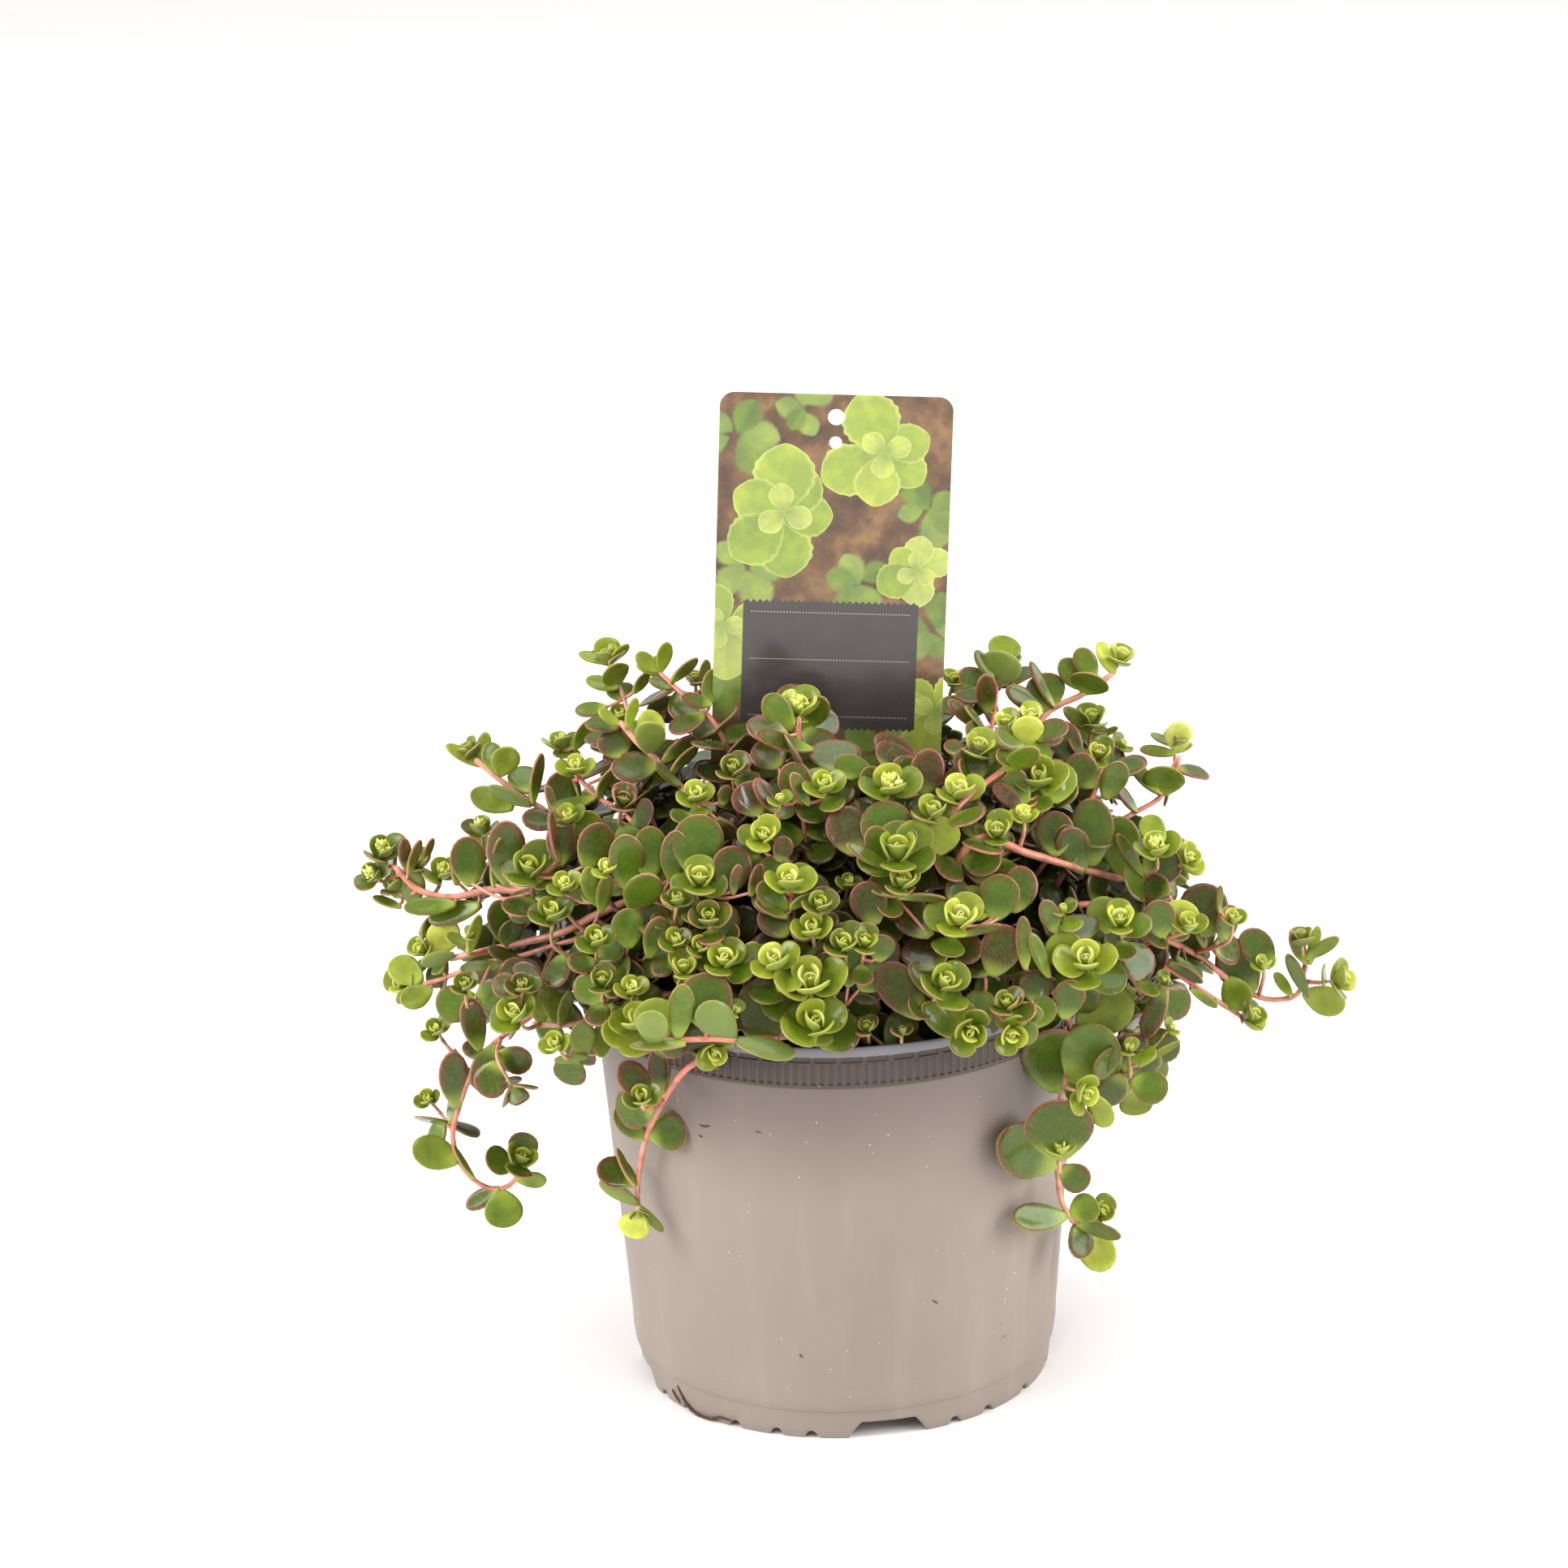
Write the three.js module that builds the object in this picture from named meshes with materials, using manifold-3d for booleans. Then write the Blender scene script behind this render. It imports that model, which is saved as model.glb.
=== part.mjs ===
// A trailing succulent in a nursery pot: pot, soil, plant label and branching leafy shoots, in millimetres, +Z up.
import * as THREE from 'three';
import { mergeVertices } from 'three/addons/utils/BufferGeometryUtils.js';
import Module from 'manifold-3d';

const wasm = await Module();
wasm.setup();

// Pot
const potSegments = 44;
const rimRadius = 86;
const rimTop = 151;
const lipBottom = 147.2;
const bandBottom = 136.4;
const bandRadius = 85.6;
const bodyTopRadius = 85;
const bodyTaper = 0.084;
const bendHeight = 20;
const stepHeight = 10.8;
const stepInset = 1.1;
const footRadius = 72.4;
const footWidth = 4.5;
const wall = 1.8;
const floorTop = 12.4;
const slotCount = 4;
const slotTurn = 11.5;
const slotWidth = 22;
const slotHeight = 6.2;
const notchWidth = 4;
const notchHeight = 2.6;
const notchTurns = [20.5, 31.5, 46, 58.5, 69.5];

// Soil
const clearance = 0.3;
const soilTop = 137;
const soilCrown = 1.5;
const soilShoulder = 78;

// Plant label
const label = {
  x: 4.3, y: 3, top: 354.5, lean: -2.9, thickness: 0.6, width: 79.5, height: 140, corner: 5,
  stakeWidth: 24, stakeHeight: 112, pointHeight: 18, holes: [[0, 8, 2.9], [0, 17, 2.2]],
  holeSides: 10,
};

// The view that the pixels below are read in: a long lens from the front, a little above the plant
const frameSize = 1932;
const lensPixels = 8000;
const cameraDistance = 2301.5;
const cameraRise = THREE.MathUtils.degToRad(22.77);
const cameraRoll = THREE.MathUtils.degToRad(-1.258);
const aimHeight = 70;
const aimPixel = [1036.84, 1443.33];
const pixelsPerMm = 3.477;

// The mound of leaves, as the ellipsoid that its tips lie on
const mound = { centre: new THREE.Vector3(0, 0, 145), radii: new THREE.Vector3(145, 95, 105) };
const backMound = { centre: mound.centre, radii: new THREE.Vector3(126, 104, 92) };

// Stems and leaves
const stemRadius = 1.9;
const branchRadius = 1.3;
const stemSides = 5;
const branchSides = 3;
const stemStep = 16;
const hiddenStep = 26;
const rootShare = 0.42;
const pickedRootShare = 0.6;
const rootLimit = 68;
const rootLift = 6;
const rimMargin = 5;
const rimRise = 14;
const rimLift = 4;
const riseShare = 0.15;
const forkShare = 0.62;
const forkShort = 12;
const forkBehind = 6;
const branchBend = 0.35;
const cupDepth = 0.62;
const cupDish = 0.1;
const bladeHalf = 0.47;
const bladeEnd = 0.24;
const widestAt = 0.5;
const leafThickness = 1.7;
const leafSetBack = 9;
const depthWeight = 0.7;
const pairDrop = 5;
const pairSlope = THREE.MathUtils.degToRad(34);
const pairWidth = 0.85;
const runShares = [0.05, 0.35, 0.65, 0.95];

// How far a stem is moved, shifted at its root or shrunk where another is in its way
const bendReaches = [0, 1, 1.8, 2.6, 3.4];
const bendWays = [
  [4, 0, 0], [-4, 0, 0], [0, 4, 0], [0, -4, 0], [0, 0, 4], [3, 3, 0], [-3, 3, 0], [3, -3, 0], [-3, -3, 0],
];
const rootSteps = [
  [0, 0, 1], [7, 0, 1], [-7, 0, 1], [0, 7, 1], [0, -7, 1], [6, 6, 0.8], [-6, 6, 0.8], [6, -6, 0.7], [-6, -6, 0.7],
  [14, 0, 0.7], [-14, 0, 0.7], [0, 14, 0.6], [0, -14, 0.6],
  [12, 12, 0.5], [-12, 12, 0.5], [12, -12, 0.5], [-12, -12, 0.5],
];
const shrinkShares = [1, 0.8, 0.62, 0.45];

// One entry for each shoot, in photo pixels:
// stem [across, down, depth in mm], tips [across, down, width, lean, tilt, age, set back in mm]
// and leaves [foot across, foot down, tip across, tip down, width, turn, tip depth in mm, age]
const frontShoots = {
  upper_left_a: {
    stem: [
      [800, 1000, -5], [780, 900, 18], [765, 850, 26], [749, 816, 30],
    ],
    tips: [
      [748, 806, 40, 105, 75, 0.25, 0],
    ],
    leaves: [
      [750, 815, 712, 808, 17, 65, 0, 0.3], [750, 815, 746, 785, 34, 10, 4, 0.25],
      [752, 815, 773, 793, 15, 60, 0, 0.4], [762, 843, 752, 817, 38, 20, -5, 0.4],
      [760, 847, 721, 839, 20, 40, 0, 0.35], [782, 852, 797, 829, 16, 55, 0, 0.4],
      [768, 864, 758, 843, 38, 45, 4, 0.5], [745, 872, 708, 878, 22, 50, 0, 0.5],
    ],
  },
  upper_left_b: {
    stem: [
      [930, 1010, -15], [905, 940, -8], [878, 888, -4], [843, 857, 12], [812, 828, 20],
    ],
    tips: [
      [806, 820, 38, 110, 70, 0.3, 0], [857, 835, 30, 90, 65, 0.3, 10],
    ],
    leaves: [
      [814, 828, 822, 789, 20, 20, 0, 0.35], [812, 828, 782, 806, 22, 30, 0, 0.25],
      [812, 830, 783, 822, 12, 65, 0, 0.3], [826, 842, 859, 809, 16, 50, 0, 0.6],
      [826, 847, 799, 838, 16, 45, 0, 0.45], [874, 868, 839, 860, 20, 35, -3, 0.6],
      [866, 850, 869, 813, 16, 40, 0, 0.45], [872, 868, 878, 824, 24, 30, 5, 0.5],
    ],
  },
  upper_left_c: {
    stem: [
      [880, 1030, -30], [840, 970, -16], [825, 955, -14], [805, 932, -12], [785, 915, -10],
      [765, 890, -6],
    ],
    tips: [
      [764, 880, 40, 100, 60, 0.15, 0],
    ],
    leaves: [
      [773, 895, 782, 860, 15, 40, 0, 0.3], [762, 893, 737, 876, 16, 55, 0, 0.3],
      [803, 927, 800, 894, 38, 165, -10, 0.3], [803, 925, 800, 876, 36, 25, 10, 0.15],
      [812, 945, 754, 948, 42, 35, 3, 0.75], [828, 950, 858, 918, 16, 55, 0, 0.6],
      [818, 937, 857, 908, 22, 30, 8, 0.75], [835, 968, 806, 942, 14, 60, -3, 0.5],
    ],
  },
  left_lime: {
    stem: [
      [810, 1050, -30], [760, 996, -14], [735, 982, -10], [715, 960, -7],
    ],
    tips: [
      [690, 912, 42, 95, 70, 0.15, 0], [709, 943, 40, 100, 42, 0.1, 0], [768, 984, 42, 80, 48, 0.6, 0],
      [700, 1004, 36, 110, 48, 0.15, 0],
    ],
    leaves: [
      [708, 922, 727, 887, 20, 35, 0, 0.5], [712, 928, 680, 930, 16, 60, 0, 0.55],
      [735, 985, 753, 946, 16, 55, 0, 0.5], [712, 1028, 735, 1000, 34, 20, 0, 0.35],
      [735, 985, 676, 1000, 20, 60, 0, 0.55], [683, 996, 672, 967, 12, 30, 0, 0.7],
      [765, 932, 750, 900, 44, 15, 6, 0.8],
    ],
  },
  far_left_upper: {
    stem: [
      [800, 1090, -30], [740, 1045, -14], [680, 1005, 0], [650, 985, 4], [612, 958, 8], [587, 937, 10],
    ],
    tips: [
      [577, 922, 40, 125, 70, 0.3, 0],
    ],
    leaves: [
      [592, 942, 548, 921, 20, 60, 0, 0.4], [592, 938, 597, 901, 20, 50, 4, 0.35],
      [617, 953, 629, 917, 36, 12, -3, 0.35], [606, 952, 606, 916, 30, 40, 8, 0.4],
      [630, 995, 580, 978, 32, 20, 4, 0.4], [652, 992, 602, 971, 18, 150, -2, 0.5],
      [656, 988, 664, 928, 18, 60, 0, 0.6], [655, 975, 638, 948, 40, 30, 10, 0.5],
      [695, 1012, 692, 950, 46, 20, 8, 0.75], [690, 1015, 643, 1008, 30, 35, 2, 0.8],
    ],
  },
  left_dark: {
    tips: [
      [652, 1066, 58, 100, 42, 0.25, 0], [592, 1018, 40, 100, 60, 0.3, 20],
    ],
    leaves: [
      [625, 1088, 623, 1009, 48, 10, 0, 0.8], [608, 1090, 614, 1032, 17, 45, -5, 0.6],
      [580, 1090, 573, 1030, 44, 15, 5, 0.65], [562, 1088, 566, 1035, 22, 45, 0, 0.75],
      [664, 1090, 664, 1033, 50, 15, 6, 0.5], [687, 1062, 676, 1000, 14, 65, 0, 0.9],
      [690, 1064, 692, 1008, 38, 20, 5, 0.9], [722, 1068, 745, 1014, 44, 12, 5, 0.8],
    ],
  },
  far_left: {
    stem: [
      [770, 1160, -35], [690, 1112, -16], [610, 1096, -4], [550, 1106, 0], [512, 1094, 3],
      [488, 1069, 5],
    ],
    tips: [
      [472, 1046, 50, 95, 52, 0.3, 0], [458, 1076, 42, 140, 42, 0.3, 0],
      [545, 1072, 44, 80, 48, 0.15, 0], [485, 1090, 36, 130, 60, 0.25, 0],
      [515, 1060, 38, 100, 55, 0.2, 0],
    ],
    leaves: [
      [500, 1070, 497, 1032, 18, 30, 0, 0.9], [503, 1076, 516, 1035, 14, 50, 0, 0.6],
      [522, 1062, 532, 1033, 12, 55, 0, 0.6], [508, 1113, 508, 1075, 32, 160, -3, 0.4],
      [560, 1114, 497, 1121, 24, 35, 0, 0.5], [590, 1116, 530, 1135, 30, 30, 5, 0.6],
      [492, 1117, 458, 1107, 14, 55, 0, 0.45],
    ],
  },
  left_mid: {
    stem: [
      [850, 1085, -52], [770, 1112, -45], [735, 1127, -38], [690, 1150, -28], [640, 1162, -21],
      [590, 1173, -14], [555, 1181, -9],
    ],
    tips: [
      [517, 1169, 36, 150, 52, 0.1, 0], [580, 1150, 26, 80, 55, 0.2, 8],
    ],
    leaves: [
      [528, 1175, 562, 1134, 40, 12, 0, 0.2], [578, 1172, 588, 1127, 18, 45, 0, 0.35],
      [557, 1176, 520, 1189, 20, 150, -4, 0.4], [626, 1166, 610, 1107, 36, 12, 0, 0.5],
      [628, 1166, 631, 1130, 32, 25, -4, 0.45], [548, 1188, 532, 1214, 28, 25, 3, 0.5],
      [520, 1150, 545, 1133, 30, 40, 8, 0.8],
    ],
  },
  left_low: {
    stem: [
      [760, 1150, -42], [700, 1160, -30], [640, 1178, -20], [595, 1187, -14], [548, 1205, -10],
      [514, 1215, -8],
    ],
    tips: [
      [492, 1210, 42, 165, 42, 0.1, 0], [572, 1212, 36, 100, 42, 0.35, 0],
      [643, 1212, 40, 90, 42, 0.4, 0],
    ],
    leaves: [
      [518, 1207, 482, 1187, 38, 20, 8, 0.3], [530, 1218, 494, 1238, 32, 20, -4, 0.35],
      [620, 1190, 566, 1197, 20, 50, 0, 0.5], [545, 1195, 537, 1190, 24, 20, 3, 0.5],
      [640, 1228, 610, 1205, 34, 30, 5, 0.7], [640, 1185, 600, 1170, 20, 50, 0, 0.6],
    ],
  },
  left_trail: {
    stem: [
      [760, 1215, -48], [690, 1232, -36], [640, 1262, -32], [605, 1290, -32], [580, 1325, -32],
      [565, 1365, -32], [558, 1395, -32], [563, 1425, -32], [580, 1450, -32], [603, 1464, -32],
      [625, 1462, -32], [640, 1447, -32],
    ],
    tips: [
      [643, 1425, 54, 60, 33, 0.3, 0], [537, 1267, 34, 120, 38, 0.2, 0],
      [527, 1353, 30, 130, 38, 0.2, 0], [638, 1350, 42, 300, 85, 0.5, 0],
    ],
    leaves: [
      [590, 1292, 575, 1228, 32, 20, 0, 0.85], [562, 1363, 556, 1294, 38, 15, 0, 0.8],
      [612, 1286, 590, 1345, 38, 20, -6, 0.8], [617, 1290, 633, 1320, 22, 30, 0, 0.85],
      [592, 1303, 574, 1284, 24, 30, 6, 0.8], [566, 1432, 507, 1411, 42, 10, 0, 0.4],
      [583, 1452, 556, 1414, 10, 70, 0, 0.5], [615, 1463, 576, 1488, 24, 25, 2, 0.6],
      [617, 1467, 623, 1513, 48, 10, -4, 0.45], [638, 1453, 672, 1452, 22, 40, -5, 0.4],
    ],
  },
  left_front_low: {
    stem: [
      [830, 1225, -66], [760, 1245, -56], [705, 1262, -48], [657, 1262, -42],
    ],
    tips: [
      [633, 1247, 54, 125, 38, 0.1, 0], [683, 1285, 38, 130, 42, 0.1, 0],
    ],
    leaves: [
      [668, 1260, 662, 1214, 30, 20, 2, 0.25], [682, 1258, 688, 1209, 36, 20, 6, 0.4],
      [690, 1262, 700, 1221, 18, 50, -3, 0.4], [718, 1300, 716, 1256, 32, 25, 0, 0.35],
      [722, 1302, 683, 1308, 12, 150, -3, 0.4], [740, 1300, 740, 1262, 28, 30, 4, 0.4],
      [735, 1252, 712, 1195, 32, 20, 4, 0.85],
    ],
  },
  front_left_trail: {
    stem: [
      [890, 1255, -70], [872, 1297, -84], [845, 1318, -80], [820, 1352, -70], [797, 1400, -60],
      [788, 1440, -55], [785, 1475, -53], [787, 1492, -52],
    ],
    tips: [
      [790, 1350, 42, 100, 33, 0.15, 0], [787, 1499, 20, 270, 60, 0.2, 0],
    ],
    leaves: [
      [800, 1353, 764, 1310, 38, 20, 4, 0.9], [816, 1342, 808, 1290, 30, 20, 0, 0.85],
      [795, 1403, 756, 1365, 32, 15, 0, 0.5], [802, 1400, 848, 1390, 48, 10, -3, 0.6],
      [782, 1457, 736, 1436, 40, 25, 3, 0.7], [781, 1460, 757, 1417, 12, 65, 0, 0.5],
      [784, 1482, 741, 1459, 20, 150, -4, 0.4], [790, 1493, 776, 1525, 40, 12, -3, 0.1],
      [788, 1488, 818, 1515, 14, 55, 0, 0.4],
    ],
  },
  front_left_big: {
    stem: [
      [960, 1262, -78], [905, 1280, -92], [880, 1280, -95], [840, 1281, -96], [806, 1283, -96],
    ],
    tips: [
      [785, 1255, 60, 110, 42, 0.1, 0], [880, 1297, 46, 285, 33, 0.15, 0],
    ],
    leaves: [
      [815, 1283, 801, 1231, 52, 15, 8, 0.2], [776, 1286, 741, 1262, 36, 30, 0, 0.2],
      [808, 1288, 800, 1250, 38, 150, -8, 0.35], [834, 1278, 841, 1209, 32, 12, 0, 0.3],
      [842, 1286, 775, 1292, 16, 60, 0, 0.5], [872, 1266, 868, 1198, 64, 8, 8, 0.75],
      [895, 1277, 907, 1228, 48, 165, -5, 0.45], [905, 1283, 981, 1296, 30, 130, -4, 0.4],
    ],
  },
  front_centre_left: {
    tips: [
      [955, 1182, 54, 110, 42, 0.05, 0], [907, 1243, 26, 60, 48, 0.1, 0],
    ],
    leaves: [
      [945, 1292, 937, 1203, 66, 8, 5, 0.85], [960, 1180, 935, 1152, 52, 25, 10, 0.95],
    ],
  },
  front_centre: {
    tips: [
      [998, 1205, 74, 95, 40, 0.1, 0], [1005, 1258, 70, 90, 33, 0.15, 0],
      [1000, 1142, 46, 100, 42, 0.15, 0],
    ],
    leaves: [
      [1025, 1225, 1010, 1163, 50, 10, 8, 0.35], [1045, 1213, 1052, 1158, 34, 15, 6, 0.5],
      [1060, 1217, 1090, 1190, 38, 20, 5, 0.5], [1012, 1287, 1012, 1228, 72, 15, 12, 0.85],
    ],
  },
  front_mid_right: {
    tips: [
      [1040, 1160, 48, 95, 38, 0.25, 0], [1066, 1158, 40, 80, 42, 0.25, 0],
      [1010, 1112, 40, 80, 42, 0.3, 0], [1046, 1086, 30, 80, 42, 0.2, 12],
    ],
    leaves: [
      [1083, 1182, 1088, 1150, 34, 15, 0, 0.6], [1078, 1137, 1062, 1086, 46, 15, 4, 0.9],
      [1015, 1125, 1010, 1092, 38, 20, 4, 0.55],
    ],
  },
  front_right_a: {
    tips: [
      [1165, 1208, 54, 60, 42, 0.2, 0], [1196, 1272, 52, 280, 18, 0.25, 0],
    ],
    leaves: [
      [1165, 1232, 1118, 1188, 30, 40, 4, 0.5], [1210, 1262, 1205, 1220, 40, 20, 8, 0.4],
      [1186, 1272, 1175, 1232, 46, 10, 4, 0.35], [1178, 1276, 1134, 1237, 30, 30, 0, 0.45],
      [1135, 1252, 1083, 1188, 50, 15, 5, 0.9], [1155, 1192, 1130, 1154, 62, 20, 10, 1],
    ],
  },
  front_right_b: {
    tips: [
      [1241, 1234, 42, 105, 42, 0.35, 0], [1247, 1275, 46, 300, 28, 0.1, 0],
    ],
    leaves: [
      [1262, 1264, 1265, 1231, 42, 10, -4, 0.35], [1272, 1264, 1293, 1228, 34, 20, 3, 0.45],
      [1275, 1234, 1278, 1195, 42, 15, 6, 0.75], [1250, 1262, 1228, 1248, 30, 25, 2, 0.35],
      [1215, 1200, 1190, 1185, 30, 40, 6, 1],
    ],
  },
  right_trail: {
    stem: [
      [1270, 1200, -60], [1310, 1240, -58], [1320, 1290, -56], [1308, 1345, -53], [1303, 1400, -51],
      [1303, 1440, -50], [1308, 1480, -49], [1322, 1505, -49],
    ],
    tips: [
      [1306, 1412, 36, 90, 55, 0.05, 0], [1337, 1348, 42, 340, 42, 0.1, 0],
      [1358, 1492, 40, 30, 38, 0.15, 0],
    ],
    leaves: [
      [1300, 1342, 1302, 1263, 84, 5, -6, 0.65], [1322, 1330, 1364, 1262, 72, 10, 0, 0.4],
      [1305, 1428, 1306, 1352, 84, 10, 0, 0.65], [1298, 1433, 1222, 1402, 68, 12, 3, 0.6],
      [1312, 1500, 1242, 1504, 38, 25, 0, 0.5], [1325, 1507, 1382, 1522, 20, 45, -2, 0.5],
      [1332, 1510, 1366, 1563, 46, 10, -2, 0.2], [1320, 1498, 1352, 1480, 38, 20, 2, 0.35],
      [1330, 1264, 1392, 1222, 62, 10, 4, 0.3], [1345, 1350, 1366, 1386, 30, 20, 2, 0.35],
    ],
  },
  right_low: {
    stem: [
      [1330, 1200, -40], [1350, 1290, -28], [1362, 1342, -24], [1380, 1350, -22], [1402, 1338, -20],
    ],
    tips: [
      [1392, 1290, 28, 90, 48, 0.15, 0],
    ],
    leaves: [
      [1398, 1342, 1404, 1373, 42, 15, 0, 0.35], [1385, 1348, 1397, 1287, 40, 20, 6, 0.75],
      [1418, 1345, 1427, 1297, 10, 60, 0, 0.6], [1405, 1312, 1452, 1280, 10, 65, 0, 0.5],
      [1385, 1262, 1400, 1240, 24, 30, 4, 0.4],
    ],
  },
  right_mid_low: {
    stem: [
      [1340, 1150, -30], [1400, 1170, -14], [1437, 1191, -9], [1480, 1220, -6], [1530, 1253, -4],
    ],
    tips: [
      [1547, 1252, 34, 40, 60, 0.2, 0], [1436, 1207, 26, 70, 48, 0.3, 0],
      [1444, 1265, 22, 40, 48, 0.15, 0],
    ],
    leaves: [
      [1468, 1219, 1502, 1240, 13, 40, 0, 0.4], [1438, 1213, 1411, 1278, 28, 20, 0, 0.85],
      [1380, 1208, 1436, 1164, 46, 20, -3, 0.95],
    ],
  },
  far_right: {
    stem: [
      [1330, 1115, -36], [1390, 1140, -20], [1430, 1155, -12], [1475, 1177, -6], [1505, 1200, -3],
      [1540, 1224, 0], [1570, 1232, 1], [1600, 1224, 2], [1608, 1190, 3],
    ],
    tips: [
      [1603, 1152, 40, 95, 72, 0.25, 0], [1655, 1206, 46, 10, 62, 0.1, 0],
      [1557, 1186, 30, 90, 48, 0.05, 0], [1520, 1130, 32, 80, 48, 0.1, 0],
    ],
    leaves: [
      [1545, 1222, 1510, 1158, 56, 10, 3, 0.75], [1565, 1190, 1533, 1147, 42, 20, 8, 0.6],
      [1485, 1152, 1480, 1088, 60, 10, 8, 0.85], [1502, 1122, 1502, 1092, 10, 60, 0, 0.5],
      [1512, 1203, 1534, 1244, 40, 25, -3, 0.4], [1608, 1185, 1590, 1150, 20, 35, -4, 0.6],
      [1610, 1182, 1650, 1153, 18, 30, 0, 0.4], [1612, 1226, 1587, 1182, 18, 150, -5, 0.5],
      [1608, 1224, 1657, 1240, 38, 20, 0, 0.35], [1450, 1180, 1485, 1210, 16, 150, 0, 0.5],
      [1614, 1186, 1622, 1140, 16, 45, 4, 0.35], [1590, 1225, 1570, 1200, 16, 40, 0, 0.4],
    ],
  },
  right_upper: {
    stem: [
      [1200, 1035, -58], [1268, 1052, -46], [1310, 1064, -38], [1350, 1075, -29], [1385, 1083, -22],
      [1430, 1075, -12], [1452, 1064, -7],
    ],
    tips: [
      [1262, 1003, 32, 90, 58, 0.05, 0], [1425, 1042, 50, 90, 48, 0.1, 0],
      [1466, 1056, 36, 40, 42, 0.05, 0],
    ],
    leaves: [
      [1318, 1070, 1310, 1014, 36, 20, 0, 0.55], [1345, 1064, 1344, 982, 54, 10, 6, 0.6],
      [1383, 1080, 1374, 1004, 54, 12, 5, 0.5], [1407, 1079, 1374, 1029, 18, 40, -3, 0.5],
      [1432, 1036, 1408, 1007, 32, 20, 4, 0.4], [1430, 1076, 1462, 1086, 16, 50, 0, 0.4],
      [1422, 1093, 1382, 1088, 16, 50, 0, 0.5], [1300, 1052, 1298, 999, 48, 15, 6, 0.75],
    ],
  },
  right_top: {
    stem: [
      [1300, 1050, -24], [1358, 1025, -8], [1395, 1003, -2], [1428, 984, 2], [1444, 962, 4],
      [1453, 933, 5],
    ],
    tips: [
      [1450, 908, 30, 85, 72, 0.1, 0],
    ],
    leaves: [
      [1430, 980, 1438, 941, 52, 12, -4, 0.45], [1425, 975, 1390, 938, 20, 45, 3, 0.5],
      [1450, 930, 1403, 925, 16, 50, -3, 0.5], [1448, 920, 1418, 906, 12, 50, 4, 0.4],
      [1453, 925, 1452, 886, 36, 10, -3, 0.1], [1400, 1003, 1372, 965, 16, 50, 0, 0.8],
    ],
  },
  top_right_a: {
    stem: [
      [1225, 985, -14], [1262, 925, 8], [1293, 876, 18], [1333, 856, 20], [1370, 831, 22],
    ],
    tips: [
      [1382, 806, 42, 70, 62, 0.1, 0],
    ],
    leaves: [
      [1293, 875, 1282, 829, 50, 15, 4, 0.6], [1297, 870, 1267, 817, 15, 60, 0, 0.65],
      [1285, 874, 1237, 848, 26, 30, -3, 0.6], [1335, 853, 1350, 828, 50, 20, -6, 0.55],
      [1332, 847, 1307, 812, 30, 20, 3, 0.55], [1348, 836, 1326, 799, 30, 20, 3, 0.45],
      [1372, 828, 1352, 792, 22, 35, 2, 0.2],
    ],
  },
  top_right_b: {
    stem: [
      [1205, 985, -36], [1216, 920, -8], [1225, 880, 5], [1228, 842, 12],
    ],
    tips: [
      [1235, 814, 40, 90, 70, 0.3, 0], [1175, 835, 32, 80, 58, 0.15, 0],
    ],
    leaves: [
      [1228, 842, 1236, 806, 50, 165, -6, 0.4], [1236, 818, 1238, 785, 42, 20, 8, 0.4],
      [1222, 834, 1201, 803, 18, 40, 0, 0.5], [1217, 876, 1213, 829, 28, 25, -3, 0.95],
      [1200, 857, 1204, 824, 46, 25, 8, 0.75], [1195, 880, 1195, 863, 44, 25, 6, 0.8],
      [1205, 895, 1168, 864, 20, 40, 0, 0.8],
    ],
  },
  top_centre: {
    stem: [
      [990, 1010, -48], [986, 940, -34], [984, 905, -30], [985, 884, -28],
    ],
    tips: [
      [985, 868, 58, 90, 50, 0.1, 0],
    ],
    leaves: [
      [975, 897, 941, 856, 36, 20, 0, 0.45], [992, 897, 1016, 857, 34, 20, 0, 0.45],
      [968, 907, 921, 892, 34, 35, 6, 0.8], [1000, 905, 1029, 882, 42, 25, 8, 0.6],
      [998, 924, 930, 906, 24, 55, -6, 0.7], [985, 880, 972, 845, 44, 40, 10, 0.7],
    ],
  },
  top_centre_b: {
    tips: [
      [1016, 965, 46, 95, 42, 0.15, 0], [961, 983, 28, 90, 42, 0.15, 0],
    ],
    leaves: [
      [985, 987, 974, 939, 42, 15, 5, 0.7], [995, 990, 975, 954, 20, 40, -3, 0.6],
      [1045, 958, 1050, 930, 44, 20, 4, 0.5], [1030, 950, 1025, 913, 64, 15, 10, 0.75],
      [960, 945, 935, 915, 46, 15, 10, 0.95],
    ],
  },
  top_centre_right: {
    tips: [
      [1097, 964, 62, 90, 45, 0.2, 0],
    ],
    leaves: [
      [1095, 940, 1105, 908, 54, 20, 12, 1], [1095, 950, 1110, 920, 58, 20, 8, 1],
      [1138, 978, 1146, 922, 42, 15, 5, 1], [1080, 975, 1066, 945, 30, 25, 2, 0.6],
      [1115, 965, 1120, 932, 40, 25, 6, 0.7],
    ],
  },
  upper_front_big: {
    tips: [
      [1106, 1045, 66, 90, 45, 0.2, 0], [1150, 997, 52, 90, 52, 0.2, 0],
    ],
    leaves: [
      [1102, 1052, 1082, 988, 62, 10, 8, 0.6], [1114, 1060, 1138, 1011, 46, 15, 4, 0.4],
      [1098, 1064, 1070, 1019, 36, 20, 2, 0.5], [1100, 1072, 1042, 1043, 18, 50, -3, 0.5],
      [1150, 1052, 1165, 1006, 50, 12, 4, 0.3], [1055, 1052, 1038, 994, 56, 15, 10, 0.95],
    ],
  },
  upper_right_mid: {
    tips: [
      [1183, 972, 54, 85, 52, 0.1, 0], [1207, 918, 52, 75, 52, 0.15, 0],
    ],
    leaves: [
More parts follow.
